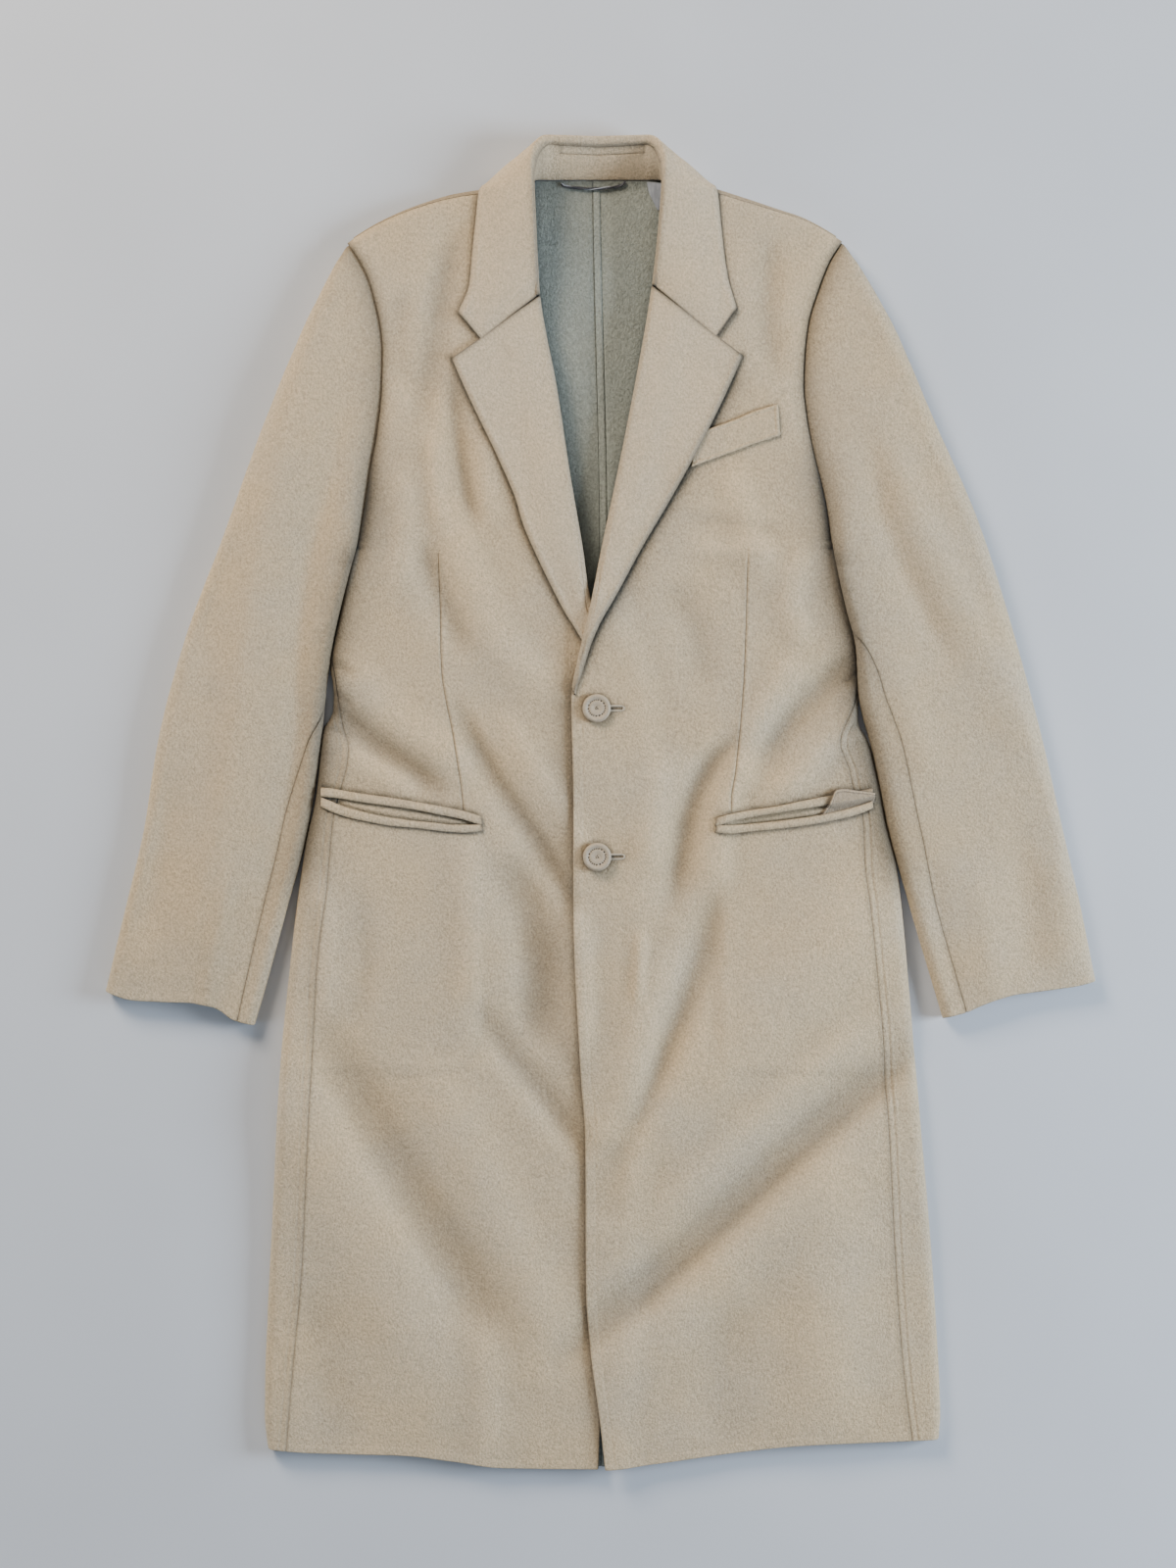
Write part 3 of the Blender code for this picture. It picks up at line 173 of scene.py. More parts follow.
@dataclass(frozen=True)
class Crease:
    """A soft ridge (height above zero) or trough (below zero) along a given line."""

    line: Pairs
    width: float
    height: float
    lean: float = 0.0       # above zero: wider on the left of the line's direction

    def lift(self, x: Array, y: Array) -> Array:
        """Height that the crease adds at each point.

        Args:
            x: places to the right.
            y: levels.

        Returns:
            The added heights, in the shape of ``x``.
        """
        along, (sx, sy) = smooth_line(self.line, 40)
        total = np.zeros(x.shape)
        reach = 2.2 * self.width * (1 + abs(self.lean))
        near = ((x > sx.min() - reach) & (x < sx.max() + reach)
                & (y > sy.min() - reach) & (y < sy.max() + reach))
        if not near.any():
            return total
        px, py = x[near], y[near]
        dx, dy = px[:, None] - sx, py[:, None] - sy
        square = dx * dx + dy * dy
        nearest = square.argmin(axis=1)
        rows = np.arange(len(px))
        tx, ty = np.gradient(sx), np.gradient(sy)
        size = np.hypot(tx, ty)
        side = (tx[nearest] * dy[rows, nearest] - ty[nearest] * dx[rows, nearest]) / size[nearest]
        ahead = (tx[nearest] * dx[rows, nearest] + ty[nearest] * dy[rows, nearest]) / size[nearest]
        share = (along[nearest] + ahead) / along[-1]
        fade = ease((share + 0.08) / 0.34) * ease((1.08 - share) / 0.34)
        width = self.width * (1 + self.lean * np.sign(side))
        off = np.where((share < 0) | (share > 1), np.sqrt(square[rows, nearest]), np.abs(side))
        total[near] = self.height * fade * bell(off, width)
        return total


# --- meshes ---
@dataclass
class Finishes:
    """Materials of one shell: outer face, inner face, seamed edges and open edges; on the cloth the two edge
    finishes are darker and paint shade on the rims that turn under.
    """

    face: Material
    inside: Material
    seam: Material
    edge: Material


def mesh_object(name: str, points: Array, faces: list | Array,
                materials: list[Material], picks: Array | None = None,
                shade: Array | None = None) -> Piece:
    """A smooth-shaded mesh object from millimetre points.

    Args:
        name: name of the piece.
        points: one row of x, y, z for each vertex.
        faces: vertex numbers of each face.
        materials: materials in slot order.
        picks: slot number of each face, or none for the first slot.
        shade: painted shade factor at each point, or none for even.

    Returns:
        The new object, linked to the scene.
    """
    mesh = bpy.data.meshes.new(name)
    listed = faces.tolist() if isinstance(faces, np.ndarray) else faces
    mesh.from_pydata((np.asarray(points) * MM).tolist(), [], listed)
    for material in materials:
        mesh.materials.append(material)
    if picks is not None:
        mesh.polygons.foreach_set("material_index", np.asarray(picks, np.int32))
    mesh.polygons.foreach_set("use_smooth", np.ones(len(mesh.polygons), bool))
    values = np.ones(len(mesh.vertices)) if shade is None else np.asarray(shade, float).reshape(-1)
    mesh.attributes.new(PAINTED_SHADE_ATTRIBUTE, "FLOAT", "POINT").data.foreach_set("value", values)
    mesh.validate()
    mesh.update()
    piece = bpy.data.objects.new(name, mesh)
    bpy.context.scene.collection.objects.link(piece)
    return piece


def grid_normals(grid: Array) -> Array:
    """Unit normals of a grid of points, from its neighbours each way.

    Args:
        grid: rows and columns of points.

    Returns:
        A unit vector for each point.
    """
    across, along = np.gradient(grid, axis=1), np.gradient(grid, axis=0)
    normal = np.cross(along, across)
    size = np.linalg.norm(normal, axis=2, keepdims=True)
    return normal / np.maximum(size, 1e-9)


@dataclass
class Shell:
    """A closed sheet of cloth round a grid of middle points, with rolled edges.

    ``grid`` has rows and columns; ``outward`` is 1 where along x across points out of the outer
    face. ``rolls`` are how far the edge rolls out at the first row, last row, first column and
    last column. ``open_cells`` marks cells that are cut out of the cloth.
    """

    name: str
    grid: Array
    outward: int = 1
    thick: float = CLOTH
    rolls: tuple[float, float, float, float] = (HALF, HALF, HALF, HALF)
    open_cells: Array | None = None
    # painted shade factor at each grid point
    shade: Array | None = None
    turns: tuple[float, ...] = (65.0, 35.0, 0.0, -35.0, -65.0)
    # painted shade: the rim darkens as it turns under
    turn_painted_shades: tuple[float, ...] = (0.95, 0.85, 0.65, 0.5, 0.45)
    open_roll: float = 0.75     # an edge that rolls out further than this is an open one

    def build(self, finishes: Finishes) -> Piece:
        """Make the mesh.

        Args:
            finishes: materials of its faces, its seamed edges and its open edges.

        Returns:
            The finished piece.
        """
        rows, wide = self.grid.shape[:2]
        normal = grid_normals(self.grid) * self.outward
        half = self.thick / 2
        outer = (self.grid + normal * half).reshape(-1, 3)
        inner = (self.grid - normal * half).reshape(-1, 3)
        count = rows * wide
        numbers = np.arange(count).reshape(rows, wide)
        cells = np.stack([numbers[:-1, :-1], numbers[1:, :-1], numbers[1:, 1:], numbers[:-1, 1:]], -1)
        keep = np.ones(cells.shape[:2], bool)
        if self.open_cells is not None:
            keep &= ~self.open_cells
        quads = cells[keep]
        if self.outward < 0:
            quads = quads[:, ::-1]
        faces = [quads, quads[:, ::-1] + count]
        picks = [np.zeros(len(quads), int), np.ones(len(quads), int)]
        rim = self._rim(numbers)
        push, size = self._push(rim, normal)
        centre = self.grid.reshape(-1, 3)[rim]
        lift = normal.reshape(-1, 3)[rim]
        shade = np.ones(count) if self.shade is None else self.shade.reshape(-1)
        rings, shades = [], [shade, shade]
        for turn, darker in zip(self.turns, self.turn_painted_shades):
            angle = math.radians(turn)
            rings.append(centre + lift * half * math.sin(angle)
                         + push * size[:, None] * math.cos(angle))
            shades.append(shade[rim] * darker)
        ring_points = np.concatenate(rings)
        around = len(rim)
        base = 2 * count
        lines = [rim] + [base + k * around + np.arange(around) for k in range(len(self.turns))]
        lines.append(rim + count)
        for k, (upper, lower) in enumerate(zip(lines, lines[1:])):
            strip = np.stack([upper, lower, np.roll(lower, -1), np.roll(upper, -1)], -1)
            faces.append(strip[:, ::-1] if self.outward < 0 else strip)
            # the rim's under strips take the seam or edge finish, which paint shade
            picks.append(np.where(size > self.open_roll, 3, 2) if k > 1 else np.zeros(around, int))
        if self.open_cells is not None:
            wall = self._hole_walls(keep, cells, count)
            faces.append(wall)
            # the cut-out's walls take the seam finish, which paints shadow
            picks.append(np.full(len(wall), 2))
        points = np.concatenate([outer, inner, ring_points])
        return self._drop_loose(points, np.concatenate(faces), np.concatenate(picks),
                                np.concatenate(shades), finishes)

    def _rim(self, numbers: Array) -> Array:
        """Vertex numbers round the grid's border, once each, in order."""
        return np.concatenate([
            numbers[:, 0], numbers[-1, 1:], numbers[-2::-1, -1], numbers[0, -2:0:-1]])

    def _push(self, rim: Array, normal: Array) -> tuple[Array, Array]:
        """Outward direction along the cloth, and roll width, at each border point.

        Args:
            rim: vertex numbers round the border.
            normal: unit normals of the grid.

        Returns:
            Unit directions and widths.
        """
        rows, wide = self.grid.shape[:2]
        out = np.zeros_like(self.grid)
        size = np.zeros((rows, wide))
        weight = np.zeros((rows, wide))
        first, last, left, right = self.rolls
        for place, neighbour, roll in (
                ((0, slice(None)), (1, slice(None)), first),
                ((-1, slice(None)), (-2, slice(None)), last),
                ((slice(None), 0), (slice(None), 1), left),
                ((slice(None), -1), (slice(None), -2), right)):
            away = self.grid[place] - self.grid[neighbour]
            away /= np.maximum(np.linalg.norm(away, axis=-1, keepdims=True), 1e-9)
            out[place] += away
            size[place] += roll
            weight[place] += 1
        out -= normal * np.sum(out * normal, axis=2, keepdims=True)
        out /= np.maximum(np.linalg.norm(out, axis=2, keepdims=True), 1e-9)
        size /= np.maximum(weight, 1)
        return out.reshape(-1, 3)[rim], size.reshape(-1)[rim]

    def _hole_walls(self, keep: Array, cells: Array, count: int) -> Array:
        """Faces that close the cloth's thickness round a cut-out.

        Args:
            keep: which cells stay.
            cells: vertex numbers of each cell.
            count: how far the inner face's numbers are above the outer face's.

        Returns:
            Vertex numbers of each face.
        """
        def sides(place: Array) -> zip:
            """Edges of one cell, as pairs of vertex numbers."""
            corners = cells[tuple(place)]
            return zip(corners, np.roll(corners, -1))

        gone = np.argwhere(~keep)
        border = np.zeros_like(keep)
        for i, j in gone:
            border[max(i - 1, 0):i + 2, max(j - 1, 0):j + 2] = True
        cut = {frozenset(side) for place in gone for side in sides(place)}
        walls = [(b, a, a + count, b + count) for place in np.argwhere(keep & border)
                 for a, b in sides(place) if frozenset((a, b)) in cut]
        made = np.asarray(walls, int).reshape(-1, 4)
        return made[:, ::-1] if self.outward < 0 else made

    def _drop_loose(self, points: Array, faces: Array, picks: Array, shades: Array,
                    finishes: Finishes) -> Piece:
        """Leave out points that no face uses, press the rest flat on the floor, make the object.

        Args:
            points: all the points.
            faces: vertex numbers of each face.
            picks: material slot of each face.
            shades: painted shade factor at each point.
            finishes: materials of the shell.

        Returns:
            The finished piece.
        """
        points[:, 2] = np.maximum(points[:, 2], 0.0)
        used = np.zeros(len(points), bool)
        used[faces.reshape(-1)] = True
        renumber = np.cumsum(used) - 1
        materials = [finishes.face, finishes.inside, finishes.seam, finishes.edge]
        return mesh_object(self.name, points[used], renumber[faces], materials, picks, shades[used])


def tube_mesh(path: Array, radius: float, sides: int, squash: float,
              first: int) -> tuple[Array, list[tuple[int, ...]]]:
    """Points and faces of a round bar with flat closed ends, numbered from ``first``.

    Args:
        path: middle points.
        radius: half the width.
        sides: corners of the cross-section.
        squash: height of the cross-section against its width.
        first: number of the first point.

    Returns:
        The points, and the point numbers of each face.
    """
    along = np.gradient(path, axis=0)
    along /= np.linalg.norm(along, axis=1, keepdims=True)
    across = np.cross(along, (0, 0, 1.0))
    across /= np.maximum(np.linalg.norm(across, axis=1, keepdims=True), 1e-9)
    up = np.cross(across, along)
    turn = np.linspace(0, 2 * math.pi, sides, endpoint=False)
    ring = (path[:, None] + across[:, None] * (np.cos(turn) * radius)[:, None]
            + up[:, None] * (np.sin(turn) * radius * squash)[:, None])
    points = ring.reshape(-1, 3)
    faces = []
    for i in range(len(path) - 1):
        for k in range(sides):
            a, b = i * sides + k, i * sides + (k + 1) % sides
            faces.append((first + a, first + b, first + b + sides, first + a + sides))
    faces.append(tuple(first + k for k in range(sides - 1, -1, -1)))
    faces.append(tuple(first + (len(path) - 1) * sides + k for k in range(sides)))
    return points, faces


# --- finishes ---
class Graph:
    """Short hand for wiring a material's nodes."""

    def __init__(self, name: str) -> None:
        """Start an empty material with an output and a principled shader.

        Args:
            name: name of the material.
        """
        self.material = bpy.data.materials.new(name)
        self.material.use_nodes = True
        self.tree = self.material.node_tree
        self.tree.nodes.clear()
        output = self.tree.nodes.new("ShaderNodeOutputMaterial")
        self.shader = self.tree.nodes.new("ShaderNodeBsdfPrincipled")
        self.feed(output, {0: self.shader.outputs[0]})
        self.place = self.add("ShaderNodeTexCoord", {}, "Object")

    def feed(self, node: bpy.types.Node, inputs: dict[str | int, object]) -> None:
        """Link or set some of a node's inputs.

        Args:
            node: the node.
            inputs: a socket, a number or a colour for each input.
        """
        for key, value in inputs.items():
            if isinstance(value, Socket):
                self.tree.links.new(value, node.inputs[key])
            else:
                node.inputs[key].default_value = value

    def add(self, kind: str, inputs: dict[str | int, object], output: str | int = 0,
            **settings: object) -> Socket:
        """Add a node.

        Args:
            kind: type of the node.
            inputs: a socket, a number or a colour for each input.
            output: the output to read.
            settings: the node's properties.

        Returns:
            The output.
        """
        node = self.tree.nodes.new(kind)
        for key, value in settings.items():
            setattr(node, key, value)
        self.feed(node, inputs)
        return node.outputs[output]

    def stretched(self, scale: tuple[float, float, float]) -> Socket:
        """Object position stretched along each axis."""
        return self.add("ShaderNodeMapping", {"Scale": scale, "Vector": self.place})

    def noise(self, size: float, detail: float = 2.0, roughness: float = 0.5,
              place: Socket | None = None) -> Socket:
        """Noise whose spots are about ``size`` millimetres."""
        return self.add("ShaderNodeTexNoise", {
            "Scale": 1 / (size * MM), "Detail": detail, "Roughness": roughness,
            "Vector": place or self.place}, "Fac")

    def spread(self, value: Socket, low: float, high: float, to_low: float = 0.0,
               to_high: float = 1.0) -> Socket:
        """Map a range of values onto another, clamped."""
        return self.add("ShaderNodeMapRange", {
            "From Min": low, "From Max": high, "To Min": to_low, "To Max": to_high, "Value": value})

    def sum(self, first: Socket, second: Socket) -> Socket:
        """Add two values."""
        return self.add("ShaderNodeMath", {0: first, 1: second}, operation="ADD")

    def times(self, value: Socket, factor: float) -> Socket:
        """Multiply by a number."""
        return self.add("ShaderNodeMath", {0: value, 1: factor}, operation="MULTIPLY")

    def mix(self, share: Socket | float, first: Socket | Colour, second: Socket | Colour,
            blend: str = "MIX") -> Socket:
        """Mix two colours."""
        first, second = (c if isinstance(c, Socket) else (*c, 1.0) for c in (first, second))
        return self.add("ShaderNodeMix", {0: share, 6: first, 7: second}, 2, data_type="RGBA",
                        blend_type=blend)

    def bump(self, height: Socket, strength: float, distance: float) -> None:
        """Small relief on the shader's normal; distance in millimetres."""
        relief = {"Strength": strength, "Distance": distance * MM, "Height": height}
        self.feed(self.shader, {"Normal": self.add("ShaderNodeBump", relief)})


@dataclass(frozen=True)
class Wool:
    """Brushed double-faced wool: a fine felted grain under a short pile, with the painted shade that each
    mesh carries multiplied in.
    """

    name: str
    tone: Colour
    warm: Colour
    cool: Colour
    grain: float = 0.50         # how much lighter and darker the grain is
    grain_size: float = 1.8
    relief: float = 0.9
    sheen: float = 0.30

    def make(self) -> Material:
        """Wire the cloth's nodes.

        Returns:
            The material.
        """
        g = Graph(self.name)
        brushed = g.stretched((1.0, 0.72, 1.0))
        felt = g.spread(g.noise(self.grain_size, 3.0, 0.62, brushed), 0.30, 0.70)
        fibre = g.spread(g.noise(self.grain_size * 0.42, 2.0, 0.6, brushed), 0.28, 0.72)
        tuft = g.spread(g.noise(self.grain_size * 4.6, 2.0, 0.5), 0.32, 0.68)
        cloud = g.spread(g.noise(85.0, 2.0, 0.5), 0.36, 0.64)
        wash = g.spread(g.noise(34.0, 3.0, 0.55), 0.34, 0.66)
        grain = g.sum(g.times(felt, 0.62), g.times(fibre, 0.38))
        base = g.mix(cloud, self.cool, self.warm)
        base = g.mix(0.5, base, self.tone)
        dark = g.mix(1.0, base, (1 - self.grain,) * 3, "MULTIPLY")
        light = g.mix(1.0, base, (1 + self.grain * 0.8,) * 3, "MULTIPLY")
        colour = g.mix(grain, dark, light)
        colour = g.mix(g.spread(tuft, 0.0, 1.0, 0.0, 0.16), colour, self.warm)
        colour = g.mix(g.spread(wash, 0.0, 1.0, 0.0, 0.14), colour, self.cool)
        # painted shade from the mesh: darker and cooler in seams and hollows, lighter on ridges
        painted_shade = g.add("ShaderNodeAttribute", {}, "Fac", attribute_name=PAINTED_SHADE_ATTRIBUTE)
        painted_shading = g.mix(g.spread(painted_shade, 0.0, 1.2), (0.0, 0.018, 0.05), (1.2, 1.2, 1.2))
        colour = g.mix(1.0, colour, painted_shading, "MULTIPLY")
        g.feed(g.shader, {
            "Base Color": colour, "Roughness": g.spread(grain, 0.0, 1.0, 0.86, 0.99),
            "Specular IOR Level": 0.16, "Sheen Weight": self.sheen, "Sheen Roughness": 0.55,
            "Sheen Tint": (*self.tone, 1.0)})
        relief = g.sum(g.sum(g.times(felt, 0.55), g.times(fibre, 0.25)), g.times(tuft, 0.35))
        g.bump(relief, self.relief, 0.9)
        return g.material


@dataclass(frozen=True)
class Smooth:
    """A smooth small finish: satin, cord, resin or thread."""

    name: str
    tone: Colour
    shade: Colour
    size: float = 1.0
    roughness: float = 0.5
    relief: float = 0.2
    stretch: tuple[float, float, float] = (1.0, 1.0, 1.0)

    def make(self) -> Material:
        """Wire the finish's nodes.

        Returns:
            The material.
        """
        g = Graph(self.name)
        place = g.stretched(self.stretch)
        spots = g.spread(g.noise(self.size, 3.0, 0.55, place), 0.32, 0.68)
        fine = g.spread(g.noise(self.size * 0.3, 2.0, 0.5, place), 0.3, 0.7)
        colour = g.mix(spots, self.shade, self.tone)
        rough = g.spread(fine, 0.0, 1.0, self.roughness - 0.08, self.roughness + 0.08)
        g.feed(g.shader, {"Base Color": colour, "Roughness": rough})
        g.bump(g.sum(spots, g.times(fine, 0.5)), self.relief, 0.25)
        return g.material


def dyed(recipe: Wool | Smooth) -> object:
    """A dataclass field that holds the material of a finish."""
    return field(default_factory=recipe.make)


@dataclass
class Wardrobe:
    """Every finish of the coat, made once: its tone, then two tones that it drifts to."""

    camel: Material = dyed(Wool(
        "camel_wool", (0.550, 0.426, 0.274), (0.596, 0.444, 0.262), (0.514, 0.428, 0.312)))
    turned: Material = dyed(Wool(
        "camel_wool_turned", (0.594, 0.466, 0.312), (0.624, 0.478, 0.302), (0.564, 0.468, 0.340),
        grain=0.42))
    # painted shade: a darker camel for the under half of open edges' rolled rims
    edge: Material = dyed(Wool(
        "edge_painted_shade", (0.430, 0.350, 0.255), (0.440, 0.352, 0.245), (0.415, 0.350, 0.270),
        grain=0.3, sheen=0.2))
    # painted shadow: near-black for the under half of seamed edges' rims and for the pocket mouths' walls
    seam: Material = dyed(Wool(
        "seam_painted_shadow", (0.120, 0.110, 0.095), (0.125, 0.110, 0.092), (0.115, 0.110, 0.100),
        grain=0.3, sheen=0.0))
    sage: Material = dyed(Wool(
        "sage_wool", (0.272, 0.288, 0.250), (0.280, 0.289, 0.243), (0.264, 0.288, 0.258),
        grain=0.48, grain_size=1.9, sheen=0.15))
    # painted shade: the dark finish in the deep parts of the button's dimples and knot
    pit_painted_shade: Material = dyed(Smooth(
        "button_dimple_painted_shade", (0.12, 0.095, 0.068), (0.07, 0.056, 0.04), 0.6, 0.8, 0.2))
    resin: Material = dyed(Smooth(
        "button_resin", (0.47, 0.38, 0.27), (0.375, 0.303, 0.215), 1.6, 0.6, 0.25))
    thread: Material = dyed(Smooth(
        "thread", (0.62, 0.53, 0.40), (0.42, 0.35, 0.26), 0.6, 0.7, 0.4))
    slit: Material = dyed(Smooth(
        "slit_shadow", (0.016, 0.014, 0.012), (0.008, 0.007, 0.006), 0.8, 0.95, 0.3))
    satin: Material = dyed(Smooth(
        "label_satin", (0.30, 0.32, 0.36), (0.20, 0.215, 0.245), 2.2, 0.32, 0.25,
        stretch=(1.0, 0.15, 1.0)))
    cord: Material = dyed(Smooth(
        "loop_cord", (0.055, 0.055, 0.065), (0.02, 0.02, 0.026), 0.8, 0.5, 0.5))
    silver: Material = dyed(Smooth(
        "loop_silver", (0.55, 0.57, 0.62), (0.30, 0.32, 0.36), 0.7, 0.35, 0.4))
    flap: Material = dyed(Wool(
        "flap_wool", (0.440, 0.345, 0.240), (0.455, 0.350, 0.232), (0.425, 0.348, 0.255), grain=0.3))

    def cloth(self) -> Finishes:
        """Camel outside and sage inside."""
        return Finishes(self.camel, self.sage, self.seam, self.edge)

    def turned_back(self) -> Finishes:
        """Camel on both sides, for what is turned back."""
        return Finishes(self.turned, self.camel, self.seam, self.edge)

    def plain(self, material: Material) -> Finishes:
        """One finish outside and inside, with the darker seam and edge finishes that paint shade on the rims.
        """
        return Finishes(material, material, self.seam, self.edge)


# --- plan of the body ---
HEM = Curve(((-300, -565), (-250, -569), (-173, -571), (-130, -576), (-81, -582), (0, -583), (50, -578),
             (93, -572), (191, -561), (250, -559), (300, -557)))
FOLD = {
    Hand.LEFT: Curve(((-585, 289), (-535, 295), (-366, 288.5), (-244, 282), (-131, 271.5), (-41, 260),
                      (-32, 258.6), (-4, 252), (17, 248.6), (40, 246.6), (66, 243.4), (74, 238.5),
                      (82, 235), (98, 234.2), (110, 235.4), (118, 237.4), (128, 237.4), (144, 234.9),
                      (166, 230.2), (199, 223.2), (229, 214.8))),
    Hand.RIGHT: Curve(((-585, 294), (-535, 299), (-463, 295.7), (-198, 274.5), (-106, 266.4),
                       (-51, 260), (-29, 254.6), (-11, 250.2), (8.6, 247.4), (31, 242.2), (49, 237.8),
                       (58, 234), (66, 228.5), (76, 226.4), (90, 226.9), (105, 227.4), (122, 227.2),
                       (142, 224.6), (164, 219.6), (187, 214.3), (215, 208.2), (229, 205))),
}
SIDE_SEAM = {
    Hand.LEFT: Curve(((-585, 277), (-535, 273.2), (-472, 267.9), (-419, 262.7), (-366, 259.3),
                      (-244, 253.9), (-191, 251.1), (-132, 246.9), (-76, 239.9), (-41, 236.9),
                      (-8, 233.4), (12, 228), (24, 224.5), (37, 221.3), (49, 220.8), (57, 222.7),
                      (72, 227), (95, 229.4), (109, 231), (127, 234), (166, 227.5), (199, 220.8),
                      (229, 212.9))),
    Hand.RIGHT: Curve(((-585, 276), (-560, 273.7), (-519, 268.2), (-463, 262.7), (-198, 247.2),
                       (-164, 243.8), (-132, 240.4), (-92, 236.2), (-50, 231.4), (-22, 230.6),
                       (-7, 229), (15, 221.5), (31, 218), (42, 213.5), (52, 209.8), (59, 210.2),
                       (71, 215), (89, 222.4), (105, 225), (142, 222.4), (187, 212), (229, 203.2))),
}
BACK_SEAM = {Hand.LEFT: Curve(((-583, 233), (229, 196))), Hand.RIGHT: Curve(((-583, 237), (229, 186)))}
ARMHOLE = {
    Hand.LEFT: Curve(((229, 212), (261, 206.3), (297, 200.5), (326, 195.2), (364, 191.1), (397, 190.5),
                      (418, 192.2), (439, 196.5), (460, 202.5), (477, 211), (498, 226))),
    Hand.RIGHT: Curve(((229, 202.5), (260, 198.2), (285, 192.6), (310, 186.2), (343, 180), (368, 177.6),
                       (393, 178.5), (422, 181.9), (451, 190.5), (477, 201), (498, 215))),
}
SHOULDER = {
    Hand.LEFT: Curve(((40, 552), (105, 540), (128, 536), (161, 526), (192, 512.5), (230, 489.5))),
    Hand.RIGHT: Curve(((40, 552), (98, 541.5), (124, 533.5), (155, 523), (176, 516), (220, 491.5))),
}
INNER = {
    Hand.LEFT: Curve(((-590, -2), (-450, 4), (-300, 9), (-100, 16), (60, 20), (100, 17.5), (145, 5),
                      (183, -9), (226, -15.5), (289, -26.3), (374, -39.6), (410, -46.9), (445, -52.5),
                      (507, -55.8), (560, -57))),
    Hand.RIGHT: Curve(((-590, 5), (-540, -0.5), (-480, -8.5), (-430, -12.5), (-290, -13.3), (-240, -17),
                       (-80, -23.7), (0, -23.7), (95, -25.4), (124, -20.5), (168, -10.1), (226, 1.3),
                       (289, 14.7), (362, 29.2), (429, 41.2), (453, 44.8), (507, 50.9), (560, 52.5))),
}
CENTRE_BACK = Curve(((-590, 1.0), (231, -0.3), (530, -6.3), (560, -6.5)))
TOTAL = Curve(((-590, 14), (-300, 15), (-60, 16), (80, 16), (180, 17), (229, 18), (350, 19), (450, 20),
               (560, 20)))
SIDE_ROUND = Curve(((-590, 7), (-300, 8), (-60, 9), (80, 8), (180, 5), (229, 1.5), (560, 1.5)))
INSET = {
    Hand.LEFT: Curve(((120, HALF), (150, 5.8), (440, 5.8), (460, 7.0))),
    Hand.RIGHT: Curve(((95, HALF), (135, 5.8), (440, 5.8), (460, 7.0))),
}
SHOULDER_ROUND = 10.0
NECK_HALF = 60.0
DART = {
    Hand.LEFT: Curve(((-590, 114), (-60, 117), (-6, 120), (17, 122.2), (40, 126), (66, 130.3),
                      (92, 135.5), (112, 138.5), (144, 140), (223, 141), (560, 138))),
    Hand.RIGHT: Curve(((-590, 108), (-60, 111), (-8, 113.9), (9, 114.8), (26, 117.9), (52, 121.4),
                       (83, 124), (110, 125.8), (154, 127.5), (189, 128.4), (223, 129.3), (560, 128))),
}
DART_ENDS = (-8.0, 230.0)

LAPEL_ROWS = {
    # level on the roll line, then the outer edge's x and y
    Hand.LEFT: ((444.8, -129.6, 390.5), (424, -122.5, 374), (392, -112.5, 352), (345, -91.6, 308.7),
                (300, -74, 268), (262, -67.5, 246), (225, -45, 196), (203, -31, 169), (188, -23.5, 157),
                (172, -12, 138)),
    Hand.RIGHT: ((453.2, 124.4, 393), (432, 117, 376), (398, 105.1, 350), (350, 83, 306.5),
                 (300, 60.8, 266.6), (250, 35.5, 223.7), (205, 14.5, 184.5), (168, -0.5, 158),
                 (143, -8.2, 140), (131, -13, 125), (116, -17.8, 110), (103, -22.2, 99)),
}
NOTCH = {Hand.LEFT: (-104.1, 406.9), Hand.RIGHT: (101.0, 409.2)}
COLLAR_EDGE = {
    Hand.LEFT: ((-123.4, 429.7), (-116.5, 444), (-113.5, 455), (-110.8, 482.5), (-107.5, 515),
                (-105, 536), (-98.5, 547.2)),
    Hand.RIGHT: ((118.4, 433.5), (113, 450), (110.5, 461), (106.8, 485), (103.6, 515), (101, 537),
                 (94.5, 547.6)),
}
